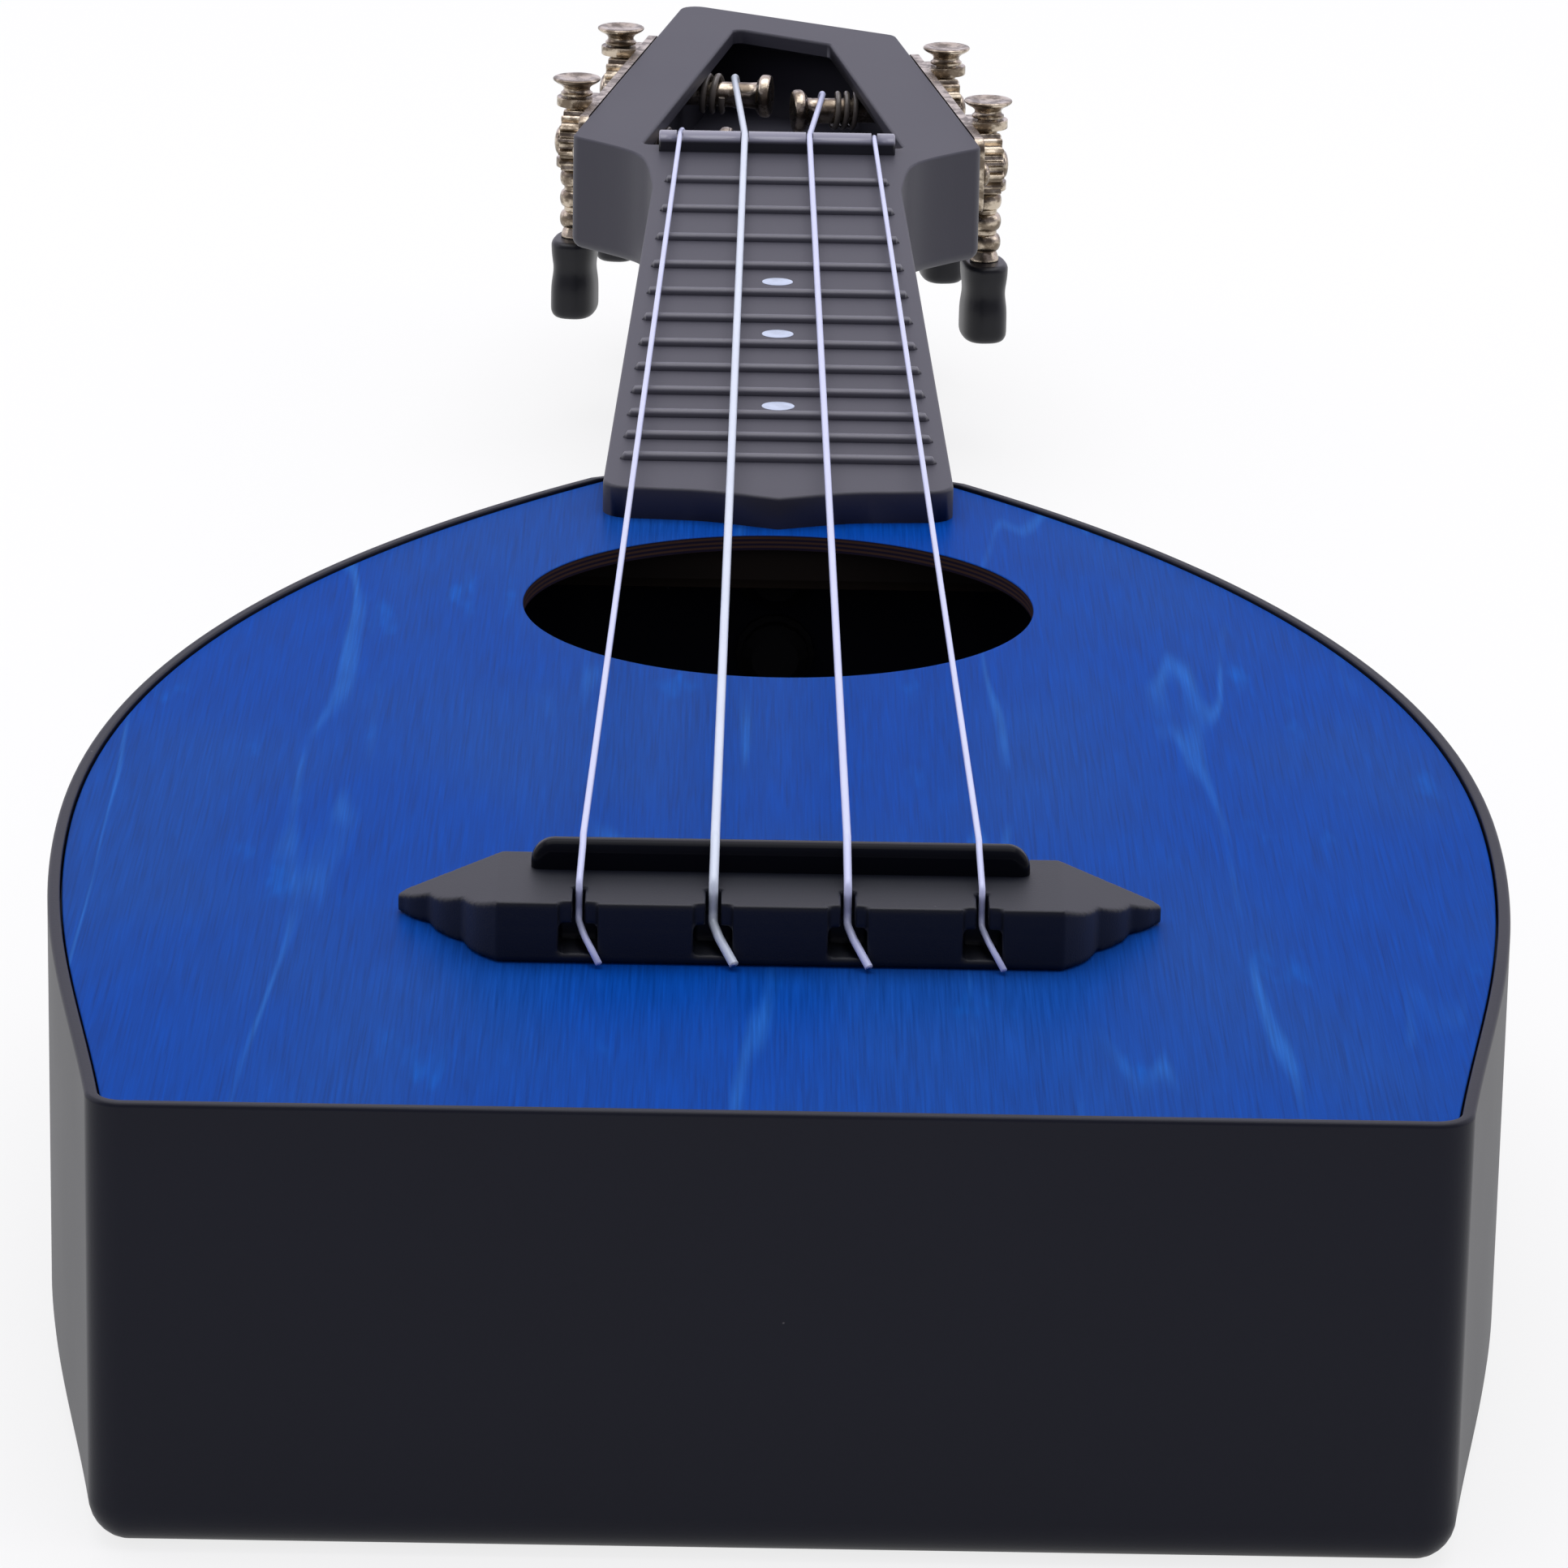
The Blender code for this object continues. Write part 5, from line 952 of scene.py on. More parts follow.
def nylon(colours, name, warmth):
    """Clear nylon that looks milky against a dark ground."""
    finish = Finish(name, 0.28)
    tone = finish.use(grain_group, "moulded_grain", fine=0.6 * MM, broad=9 * MM)
    base = [c * (1 - warmth) + w * warmth for c, w in zip(colours.nylon, (0.66, 0.74, 0.8))]
    finish.colour(blend(finish.tree, tone["Tone"], [c * 0.92 for c in base], [min(c * 1.06, 1) for c in base]))
    finish.shader.inputs["Subsurface Weight"].default_value = 0.0
    finish.bump(tone["Height"], 0.004 * MM)
    return finish.material


def spruce_painted_dark():
    """Spruce with its growth rings along X, painted dark as the shade inside the body."""
    finish = Finish("spruce_in_painted_shade", 0.65, specular=0.3)
    rings = add(
        finish.tree, "ShaderNodeTexWave",
        {"Vector": stretched(finish.tree, finish.place, (40 * MM, 4 * MM, 4 * MM)), "Scale": 1.0, "Distortion": 2.0},
        bands_direction="Y",
    )
    # Painted shade: both ring colours are dark because the wood lies in the body's shade.
    finish.colour(blend(finish.tree, rings.outputs["Fac"], (0.014, 0.009, 0.005), (0.026, 0.018, 0.011)))
    finish.bump(rings.outputs["Fac"], 0.02 * MM)
    return finish.material


def pearl(colours):
    """Pearly position dots with a faint swirl."""
    finish = Finish("pearl_dot", 0.3)
    swirl = noise(finish.tree, stretched(finish.tree, finish.place, (1.6 * MM, 1.6 * MM, 1.6 * MM)), 3.0)
    pale = [min(c * 1.2, 1) for c in colours.dots]
    finish.colour(blend(finish.tree, ramp(finish.tree, swirl, 0.35, 0.65), colours.dots, pale))
    finish.bump(swirl, 0.005 * MM)
    return finish.material


def look(name):
    """A finish by name, made when it is first asked for."""
    colours = bpy.context.scene.ukulele_colours
    makers = {
        "moulded_body": lambda: moulded("moulded_body", colours.body, 0.42, 0.15, 0.35),
        "moulded_neck": lambda: moulded("moulded_neck", colours.neck, 0.5, 0.35, 0.0),
        "moulded_bridge": lambda: moulded("moulded_bridge", colours.bridge, 0.5, 0.34, 0.4, 0.2 * MM, 0.02 * MM),
        # Frets and nut: the pale bands near their tops are painted highlights.
        "moulded_fret": lambda: moulded(
            "moulded_fret", colours.neck, 0.35, 0.5, 0.0, relief=0.003 * MM,
            painted_highlight_band=(FRET_CREST - 0.6 * MM, FRET_CREST - 0.2 * MM, (0.1, 0.098, 0.12))),
        "glossy_nut": lambda: moulded(
            "glossy_nut", (0.014, 0.014, 0.019), 0.22, 0.6, 0.0, relief=0.004 * MM,
            painted_highlight_band=(NUT_HIGH.z - 1.3 * MM, NUT_HIGH.z - 0.6 * MM, (0.19, 0.19, 0.24))),
        "glossy_saddle": lambda: moulded("glossy_saddle", (0.003, 0.0035, 0.006), 0.2, 0.05, 0.3, relief=0.004 * MM),
        "tuner_button": lambda: moulded("tuner_button", (0.007, 0.0075, 0.0105), 0.36, 0.3, 0.0, relief=0.005 * MM),
        "stained_veneer": lambda: stained_top(colours),
        "nickel_plate": lambda: nickel_plate(colours),
        "dark_steel": lambda: moulded("dark_steel", (0.012, 0.012, 0.013), 0.5, 0.2, 0.0),
        "thin_nylon": lambda: nylon(colours, "thin_nylon", 0.0),
        "thick_nylon": lambda: nylon(colours, "thick_nylon", 0.8),
        # Windings: dark warm nylon, a painted reflection of the nickel roller seen through the clear string.
        "wound_nylon_painted_reflection": lambda: moulded("wound_nylon_painted_reflection", (0.13, 0.115, 0.1), 0.25, 0.5, 0.0, relief=0.004 * MM),
        "spruce_in_painted_shade": spruce_painted_dark,
        "pearl_dot": lambda: pearl(colours),
    }
    return bpy.data.materials.get(name) or makers[name]()


def keep_node(node, finish):
    """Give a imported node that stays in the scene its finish."""
    made = frame["nodes"][node]
    made.data.materials.clear()
    made.data.materials.append(look(finish))


# Body


class UKULELE_OT_body(bpy.types.Operator):
    """Black moulded back and sides with a raised rim round the top"""

    bl_idname = "ukulele.body"
    bl_label = "Body shell"

    def execute(self, context):
        shapes = context.scene.ukulele_shapes
        outline = body_outline(shapes.curve_points)
        cavity_floor = BACK_THICKNESS - BODY_DEPTH
        rebate = -TOP_THICKNESS - SEAT_GAP
        outside = edge_profile(-BODY_DEPTH, RIM_HEIGHT, shapes.back_radius, 0.45 * MM, 8)
        bead = edge_profile(rebate, RIM_HEIGHT, 0.0, 0.3 * MM)
        inside = [(RIM_WIDTH - by, z) for by, z in reversed(bead)]
        inside += [(WALL, rebate), (WALL, cavity_floor + 1 * MM), (WALL + 1 * MM, cavity_floor)]
        shape = bmesh.new()
        loops = [self.ring(shape, outline, by, z, False) for by, z in outside]
        loops += [self.ring(shape, outline, by, z, by >= WALL) for by, z in inside]
        wall(shape, loops)
        lid(shape, [loops[0]])
        lid(shape, [loops[-1]])
        made = piece("moulded_body_shell", shape, look("moulded_body"))
        dress(made, ROOT, "black_moulding", "body_shell")
        return {"FINISHED"}

    def ring(self, shape, outline, by, height, inner):
        """One loop of the shell, lowered under the fingerboard and cut off at the neck block."""
        block_face = SHOULDER_Y - NECK_BLOCK_LENGTH
        points = []
        for x, y in inset(outline, min(by, BUTT_CORNER_RADIUS * 0.96)):
            under_board = abs(x) < board_half_width(y) + SEAT_GAP and y > BOARD_END_Y
            z = min(height, 0.0) if under_board else height
            points.append(shape.verts.new((x, min(y, block_face) if inner else y, z)))
        return points


class UKULELE_OT_top(bpy.types.Operator):
    """Stained plywood top with its sound hole, and the wood under it"""

    bl_idname = "ukulele.top"
    bl_label = "Top plate"

    def execute(self, context):
        shapes = context.scene.ukulele_shapes
        outline = inset(body_outline(shapes.curve_points), RIM_WIDTH + SEAT_GAP)
        hole = circle(SOUND_HOLE_RADIUS, 144, (0, SOUND_HOLE_Y))
        shape = moulding(outline, [hole], -TOP_THICKNESS, 0.0, 0.0, 0.2 * MM)
        made = piece("stained_top_plate", shape, look("stained_veneer"))
        dress(made, ROOT, "blue_plywood", "top_plate")
        for node in ("front_brace", "rear_brace", "bridge_patch"):
            keep_node(node, "spruce_in_painted_shade")
        for end in ("upper", "lower"):
            keep_node(f"neck_screw_{end}", "dark_steel")
            keep_node(f"neck_washer_{end}", "dark_steel")
        return {"FINISHED"}


def string_x(name, y):
    """Place across of a string at a place along the instrument."""
    share = (STRING_NAMES.index(name) - 1.5) / 3
    return share * (SPREAD_AT_NUT + (SPREAD_AT_BRIDGE - SPREAD_AT_NUT) * (-y / SCALE_LENGTH))


class UKULELE_OT_bridge(bpy.types.Operator):
    """Bridge with scalloped wings and tie slots, and its saddle"""

    bl_idname = "ukulele.bridge"
    bl_label = "Bridge and saddle"

    def execute(self, context):
        grain = context.scene.ukulele_shapes.bridge_grain
        layers = [
            self.layer(0.0, 0.0, SEAT_GAP, TIE_HOLE_FLOOR),
            self.layer(TIE_HOLE_DEPTH, 0.0, TIE_HOLE_FLOOR - grain / 2, TIE_HOLE_TOP),
            self.layer(TIE_RECESS_DEPTH, TIE_SLOT_LENGTH, TIE_HOLE_TOP - grain / 2, BRIDGE_HEIGHT),
        ]
        for shape in layers:
            self.plane(shape)
        rough = piece("bridge_rough", joined(layers), look("moulded_bridge"))
        cells = rough.modifiers.new("cells", "REMESH")
        cells.mode = "VOXEL"
        cells.voxel_size = grain
        ease = rough.modifiers.new("ease", "SMOOTH")
        ease.factor = 0.5
        ease.iterations = 2
        made = baked(rough, "moulded_bridge_block", look("moulded_bridge"), math.radians(60))
        dress(made, ROOT, "bridge_black", "bridge")
        saddle_low, saddle_high = SADDLE_LOW.z - TOP_Z, SADDLE_HIGH.z - TOP_Z
        corner = 2.4 * MM
        face = rounded(
            [
                (SADDLE_LOW.x, saddle_low, 0.5 * MM),
                (SADDLE_HIGH.x, saddle_low, 0.5 * MM),
                (SADDLE_HIGH.x, saddle_high, corner),
                (SADDLE_LOW.x, saddle_high, corner),
            ],
            10,
        )
        low, high = SADDLE_LOW.y - NUT_FACE_Y, SADDLE_HIGH.y - NUT_FACE_Y
        bar = moulding(face, [], low, high, 1.1 * MM, 1.1 * MM)
        made = piece("rounded_saddle", bar, look("glossy_saddle"), FROM_NUT @ UPRIGHT)
        dress(made, ROOT, "gloss_black", "saddle")
        return {"FINISHED"}

    def layer(self, notch_depth, slit_depth, low, high):
        """One slice of the bridge, its rear edge cut for the strings."""
        right = bridge_outline()
        rear = []
        for name in reversed(STRING_NAMES):
            middle = string_x(name, BRIDGE_REAR_Y)
            half = TIE_RECESS_WIDTH / 2
            if not notch_depth:
                continue
            notch = BRIDGE_REAR_Y + notch_depth
            slit = STRING_RADIUS[name] + TIE_SLOT_CLEARANCE
            rear += [(middle + half, BRIDGE_REAR_Y), (middle + half, notch)]
            if slit_depth:
                end = BRIDGE_REAR_Y + slit_depth
                rear += [(middle + slit, notch), (middle + slit, end)]
                rear += [(middle - slit, end), (middle - slit, notch)]
            rear += [(middle - half, notch), (middle - half, BRIDGE_REAR_Y)]
        outline = right + rear + [(-x, y) for x, y in reversed(right)]
        return moulding(outline, [], low, high)

    def plane(self, shape):
        """Cut a slice along the wings, which fall to their tips."""
        crease = BRIDGE_BLOCK_HALF - BRIDGE_WING_INSET
        fall, reach = BRIDGE_HEIGHT - BRIDGE_TIP_HEIGHT, BRIDGE_HALF_LENGTH - crease
        for sign in (-1, 1):
            place, normal = (sign * crease, 0, BRIDGE_HEIGHT + SEAT_GAP / 2), (sign * fall, 0, reach)
            everything = shape.verts[:] + shape.edges[:] + shape.faces[:]
            cut = bmesh.ops.bisect_plane(
                shape, geom=everything, plane_co=place, plane_no=Vector(normal).normalized(), clear_outer=True
            )["geom_cut"]
            rim = [item for item in cut if isinstance(item, bmesh.types.BMEdge)]
            if rim:
                bmesh.ops.edgeloop_fill(shape, edges=rim)


# Neck, fingerboard and nut


class UKULELE_OT_neck(bpy.types.Operator):
    """Neck with its heel, and the hollow headstock"""

    bl_idname = "ukulele.neck"
    bl_label = "Neck and headstock"

    def execute(self, context):
        shape = bmesh.new()
        heel_start = SHOULDER_Y + HEEL_LENGTH
        end = SHOULDER_Y - 10 * MM
        stations = [NECK_INTO_HEAD + (heel_start - NECK_INTO_HEAD) * step / 20 for step in range(20)]
        stations += [heel_start - HEEL_LENGTH * step / 36 for step in range(37)] + [end]
        loops = [self.section(shape, y) for y in stations]
        wall(shape, loops)
        lid(shape, [loops[0]])
        lid(shape, [loops[-1]])
        head = moulding(
            head_outline(), [hollow_outline()], -HEAD_DEPTH, 0.0, 1.6 * MM, 0.0, HEAD_FLOOR - HEAD_DEPTH
        )
        neck = piece("neck_blank", shape, look("moulded_neck"))
        block = piece("head_blank", head, look("moulded_neck"))
        both = neck.modifiers.new("both", "BOOLEAN")
        both.operation = "UNION"
        both.object = block
        neck.modifiers.move(len(neck.modifiers) - 1, 0)
        made = carved(neck, roller_bores(), "moulded_neck_and_head", look("moulded_neck"))
        bpy.data.objects.remove(block, do_unlink=True)
        dress(made, ROOT, "charcoal_moulding", "neck")
        return {"FINISHED"}

    def section(self, shape, y):
        """One cross section of the neck, deeper and narrower at its foot in the heel."""
        share = min(y / SHOULDER_Y, 1)
        depth = NECK_DEPTH_AT_NUT + (NECK_DEPTH_AT_BODY - NECK_DEPTH_AT_NUT) * share
        into_heel = min(max((SHOULDER_Y + HEEL_LENGTH - y) / HEEL_LENGTH, 0), 1)
        depth += (HEEL_DEPTH - depth) * into_heel ** 2.6
        foot = 1 - (1 - HEEL_FOOT_SHARE) * into_heel ** 1.5
        points = []
        for step in range(41):
            angle = math.pi * step / 40
            low = max(math.sin(angle), 0.0) ** 0.8
            across = -math.cos(angle)
            width = board_half_width(y) * (1 - (1 - foot) * low)
            x = width * math.copysign(abs(across) ** 0.85, across)
            points.append(shape.verts.new((x, y, -depth * low)))
        return points


def roller_bores():
    """Cutters for the rollers' bores through the headstock's walls."""
    bores = []
    for name in STRING_NAMES:
        radius = ROLLER_JOURNAL_RADIUS + RUNNING_GAP
        profile = [(0, 3 * MM), (radius, 3 * MM), (radius, -HEAD_WALL - 3 * MM), (0, -HEAD_WALL - 3 * MM)]
        bores.append(piece(f"bore_{name}", turned(profile, 32), look("moulded_neck"), spool_matrix(name)))
    return bores


class UKULELE_OT_fingerboard(bpy.types.Operator):
    """Fingerboard and headstock face, with its frets and dots"""

    bl_idname = "ukulele.fingerboard"
    bl_label = "Fingerboard"

    def execute(self, context):
        shapes = context.scene.ukulele_shapes
        board = moulding(
            board_outline(), [window_outline()], 0.0, BOARD_TOP, 0.0, shapes.board_edge
        )
        blank = piece("board_blank", board, look("moulded_neck"))
        near = NUT_LENGTH + SEAT_GAP + WINDOW_CORNER_RADIUS
        under = moulding(hollow_outline(near), [], -1 * MM, BOARD_TOP - FACE_THICKNESS)
        cutters = [piece("under_face", under, look("moulded_neck")), *roller_bores()]
        made = carved(blank, cutters, "moulded_fingerboard", look("moulded_neck"))
        dress(made, ROOT, "charcoal_moulding", "fingerboard")
        holder = bpy.data.objects.new("fret_holder", bpy.data.meshes.new("fret_holder"))
        context.scene.collection.objects.link(holder)
        nodes = holder.modifiers.new("frets", "NODES")
        nodes.node_group = fret_tree()
        values = {
            "Count": shapes.fret_count,
            "Scale length": SCALE_LENGTH,
            "Half width at nut": BOARD_HALF_AT_NUT - shapes.fret_inset,
            "Widening": (BOARD_HALF_AT_END - BOARD_HALF_AT_NUT) / -BOARD_END_Y,
            "Height": shapes.fret_height,
            "Half width": shapes.fret_half_width,
            "Base": tuple(FROM_NUT @ Vector((0, 0, BOARD_TOP))),
            "Material": look("moulded_fret"),
        }
        set_inputs(nodes, values)
        made = baked(holder, "moulded_frets", look("moulded_fret"), math.radians(50))
        dress(made, ROOT, "charcoal_moulding")
        for number in DOT_FRETS:
            places = [SCALE_LENGTH * (2 ** (-n / 12) - 1) for n in (number - 1, number)]
            outline = circle(DOT_RADIUS, 48, (0, sum(places) / 2))
            dot = moulding(outline, [], BOARD_TOP - 0.4 * MM, BOARD_TOP + 0.05 * MM, 0.0, 0.04 * MM)
            made = piece(f"pearl_dot_{number}", dot, look("pearl_dot"))
            dress(made, ROOT, "pearl_white", f"position_dot_{number}")
        return {"FINISHED"}


def set_inputs(modifier, values):
    """Set a node modifier's inputs by the names of its sockets."""
    for item in modifier.node_group.interface.items_tree:
        if item.item_type == "SOCKET" and item.in_out == "INPUT" and item.name in values:
            modifier[item.identifier] = values[item.name]


def fret_tree():
    """Frets by the twelfth-root rule: each is a rounded ridge that dies away at its ends."""
    tree = bpy.data.node_groups.new("fret_rule", "GeometryNodeTree")
    for label, kind in (
        ("Geometry", "NodeSocketGeometry"), ("Count", "NodeSocketInt"),
        ("Scale length", "NodeSocketFloat"), ("Half width at nut", "NodeSocketFloat"),
        ("Widening", "NodeSocketFloat"), ("Height", "NodeSocketFloat"),
        ("Half width", "NodeSocketFloat"), ("Base", "NodeSocketVector"),
        ("Material", "NodeSocketMaterial"),
    ):
        tree.interface.new_socket(label, in_out="INPUT", socket_type=kind)
    tree.interface.new_socket("Geometry", in_out="OUTPUT", socket_type="NodeSocketGeometry")
    given = add(tree, "NodeGroupInput").outputs
    line = add(tree, "GeometryNodeMeshLine", {"Count": given["Count"], "Offset": (0, 0, 0)})
    number = maths(tree, "ADD", add(tree, "GeometryNodeInputIndex").outputs[0], 1.0)
    octave = maths(tree, "POWER", 2.0, maths(tree, "DIVIDE", number, -12.0))
    along = maths(tree, "MULTIPLY", maths(tree, "SUBTRACT", octave, 1.0), given["Scale length"])
    place = add(tree, "ShaderNodeCombineXYZ", {1: along}).outputs[0]
    placed = add(
        tree, "GeometryNodeSetPosition",
        {"Geometry": line.outputs[0],
         "Position": add(tree, "ShaderNodeVectorMath", {0: place, 1: given["Base"]}, operation="ADD").outputs[0]},
    )
    half = maths(
        tree, "SUBTRACT", given["Half width at nut"], maths(tree, "MULTIPLY", along, given["Widening"])
    )
    ridge = fret_ridge(tree, given["Half width"], given["Height"])
    copies = add(
        tree, "GeometryNodeInstanceOnPoints",
        {"Points": placed.outputs[0], "Instance": ridge,
         "Scale": add(tree, "ShaderNodeCombineXYZ", {0: half, 1: 1.0, 2: 1.0}).outputs[0]},
    )
    real = add(tree, "GeometryNodeRealizeInstances", {0: copies.outputs[0]})
    finish = add(tree, "GeometryNodeSetMaterial", {"Geometry": real.outputs[0], "Material": given["Material"]})
    tree.links.new(finish.outputs[0], add(tree, "NodeGroupOutput").inputs[0])
    return tree


def fret_ridge(tree, half_width, height):
    """A ridge one unit to each side of the middle, closed all round."""
    grid = add(
        tree, "GeometryNodeMeshGrid", {"Size X": 2.0, "Size Y": 1.0, "Vertices X": 65, "Vertices Y": 25}
    )
    spot = add(tree, "ShaderNodeSeparateXYZ", {0: add(tree, "GeometryNodeInputPosition").outputs[0]}).outputs
    bulk = maths(
        tree, "POWER",
        maths(tree, "SUBTRACT", 1.0, maths(tree, "POWER", maths(tree, "ABSOLUTE", spot[0]), 70.0)), 0.5,
    )
    angle = maths(tree, "MULTIPLY", spot[1], math.tau)
    y = maths(tree, "MULTIPLY", maths(tree, "MULTIPLY", maths(tree, "COSINE", angle), half_width), bulk)
    z = maths(tree, "MULTIPLY", maths(tree, "MULTIPLY", maths(tree, "SINE", angle), height), bulk)
    moved = add(
        tree, "GeometryNodeSetPosition",
        {"Geometry": grid.outputs[0], "Position": add(tree, "ShaderNodeCombineXYZ", {0: spot[0], 1: y, 2: z}).outputs[0]},
    )
    closed = add(tree, "GeometryNodeMergeByDistance", {"Geometry": moved.outputs[0], "Distance": 0.001 * MM})
    return closed.outputs[0]


class UKULELE_OT_nut(bpy.types.Operator):
    """Nut with a rounded crown and four slots"""

    bl_idname = "ukulele.nut"
    bl_label = "Nut"

    def execute(self, context):
        low = BOARD_TOP - 0.8 * MM
        crown = [(0, low), (NUT_LENGTH, low)]
        for step in range(25):
            angle = math.pi * step / 24
            across = NUT_LENGTH / 2 * (1 + math.cos(angle))
            crown.append((across, NUT_TOP - 1.1 * MM * (1 - math.sin(angle) ** 0.8)))
        bar = moulding(crown, [], NUT_LOW.x, NUT_HIGH.x, 0.3 * MM, 0.3 * MM)
        blank = piece("nut_blank", bar, look("glossy_nut"), FROM_NUT @ SIDEWAYS)
        cutters = []
        for name in STRING_NAMES:
            slot_half = STRING_RADIUS[name] + 0.1 * MM
            x = string_x(name, 0)
            outline = [(-1 * MM, STRING_FLOOR_AT_NUT), (NUT_LENGTH * 0.6, STRING_FLOOR_AT_NUT),
                       (NUT_LENGTH + 1 * MM, low), (NUT_LENGTH + 1 * MM, 9 * MM), (-1 * MM, 9 * MM)]
            slot = moulding(outline, [], x - slot_half, x + slot_half)
            cutters.append(piece(f"slot_{name}", slot, look("glossy_nut"), FROM_NUT @ SIDEWAYS))
        made = carved(blank, cutters, "moulded_nut", look("glossy_nut"))
        dress(made, ROOT, "charcoal_moulding", "nut")
        return {"FINISHED"}


# Tuners


def side_matrix(side):
    """Frame on the headstock's side: x along it from the near roller, y outwards, z up."""
    near, far = ("g", "c") if side == "left" else ("a", "e")
    origin = Vector(JOINTS[f"spool_{near}_turn"]["pos_m"])
    along = (Vector(JOINTS[f"spool_{far}_turn"]["pos_m"]) - origin).normalized()
    outward = Vector(JOINTS[f"spool_{near}_turn"]["axis"])
    matrix = Matrix((along, outward, (0, 0, 1))).transposed().to_4x4()
    matrix.translation = (origin.x, origin.y, TOP_Z)
    return matrix


def peg_matrix(name):
    """Frame on a worm's upright axis, at the height of the top plate."""
    x, y, _ = JOINTS[f"peg_{name}_turn"]["pos_m"]
    turn = side_matrix("left" if name in "gc" else "right").to_3x3()
    angle = math.atan2(turn.col[0].y, turn.col[0].x)
    return Matrix.Translation((x, y, TOP_Z)) @ Matrix.Rotation(angle, 4, "Z")


def spool_matrix(name):
    """Frame on a roller's axis: z outwards from the headstock's side."""
    joint = JOINTS[f"spool_{name}_turn"]
    outward = Vector(joint["axis"])
    across = Vector((0, 0, 1)).cross(outward)
    matrix = Matrix((across, Vector((0, 0, 1)), outward)).transposed().to_4x4()
    matrix.translation = joint["pos_m"]
    return matrix


class UKULELE_OT_strips(bpy.types.Operator):
    """Tuner strips with their lugs and screws"""

    bl_idname = "ukulele.strips"
    bl_label = "Tuner strips"

    def execute(self, context):
        steps = context.scene.ukulele_shapes.round_steps
        for side in ("left", "right"):
            worms = (WORM_TO_GEAR, WORM_TO_GEAR + TUNER_SPACING)
            corners = [
                (worms[0] - STRIP_BEFORE_WORM, TUNER_HEIGHT - STRIP_HEIGHT / 2),
                (worms[1] + STRIP_AFTER_WORM, TUNER_HEIGHT - STRIP_HEIGHT / 2),
                (worms[1] + STRIP_AFTER_WORM, TUNER_HEIGHT + STRIP_HEIGHT / 2),
                (worms[0] - STRIP_BEFORE_WORM, TUNER_HEIGHT + STRIP_HEIGHT / 2),
            ]
            plate = rounded([(x, z, STRIP_CORNER_RADIUS) for x, z in corners])
            bore = ROLLER_JOURNAL_RADIUS + RUNNING_GAP
            bores = [circle(bore, steps, (x - WORM_TO_GEAR, TUNER_HEIGHT)) for x in worms]
            strip = moulding(plate, bores, SEAT_GAP, SEAT_GAP + STRIP_THICKNESS, 0.0, 0.2 * MM)
            bmesh.ops.transform(strip, matrix=UPRIGHT, verts=strip.verts)
            lugs = [self.lug(x, sign, steps) for x in worms for sign in (-1, 1)]
            made = piece(
                f"tuner_strip_plate_{side}", joined([strip, *lugs]), look("nickel_plate"), side_matrix(side)
            )
            dress(made, ROOT, "nickel", f"tuner_strip_{side}")
            self.screws(side)
        return {"FINISHED"}

    def lug(self, x, sign, steps):
        """One bored lug that holds an end of a worm."""
        arc = [
            (x + LUG_RADIUS * math.cos(math.pi * step / 16), WORM_STAND_OFF + LUG_RADIUS * math.sin(math.pi * step / 16))
            for step in range(17)
        ]
        near = SEAT_GAP + STRIP_THICKNESS / 2
        outline = [(x - LUG_RADIUS, near), (x + LUG_RADIUS, near)] + arc
        bore = circle(JOURNAL_RADIUS + RUNNING_GAP * 0.4, steps, (x, WORM_STAND_OFF))
        middle = TUNER_HEIGHT + sign * (WORM_HALF_LENGTH + RUNNING_GAP + LUG_THICKNESS / 2)
        half = LUG_THICKNESS / 2
        return moulding(outline, [bore], middle - half, middle + half, 0.15 * MM, 0.15 * MM)

    def screws(self, side):
        """Three pan-headed screws, clear of the gears and the lugs."""
        spots = (
            -GEAR_TIP_RADIUS - STRIP_SCREW_HEAD - RUNNING_GAP,
            (TUNER_SPACING + WORM_TO_GEAR - GEAR_TIP_RADIUS + LUG_RADIUS) / 2,
            TUNER_SPACING + WORM_TO_GEAR + LUG_RADIUS + STRIP_SCREW_HEAD + STRIP_SCREW_MARGIN,
        )
        matrix = side_matrix(side)
        seat = SEAT_GAP * 2 + STRIP_THICKNESS
        points = [matrix @ Vector((spot, seat, TUNER_HEIGHT)) for spot in spots]
        mesh = bpy.data.meshes.new("screw_places")
        mesh.from_pydata([tuple(point) for point in points], [], [])
        holder = bpy.data.objects.new("screw_places", mesh)
        bpy.context.scene.collection.objects.link(holder)
        head = piece("screw_head", screw_head(STRIP_SCREW_HEAD, STRIP_SCREW_HEAD_HEIGHT), look("nickel_plate"),
                     Matrix.Identity(4))
        nodes = holder.modifiers.new("screws", "NODES")
        nodes.node_group = screw_tree()
        set_inputs(nodes, {"Head": head, "Outward": tuple(matrix.to_3x3().col[1]), "Material": look("nickel_plate")})
        made = baked(holder, f"strip_screws_{side}", look("nickel_plate"))
        bpy.data.objects.remove(head, do_unlink=True)
        dress(made, ROOT, "nickel", *[f"strip_screw_{side}_{number}" for number in (1, 2, 3)])


def screw_head(radius, height):
    """A domed head on a short shank; it stands on Z."""
    dome = [(0, height), (radius * 0.45, height * 0.97), (radius * 0.8, height * 0.72), (radius, height * 0.3),
            (radius, 0), (radius * 0.6, 0), (radius * 0.6, -radius), (0, -radius)]
    shape = turned(dome[:1] + eased(dome[1:5], 4) + dome[5:], 24)
    return shape


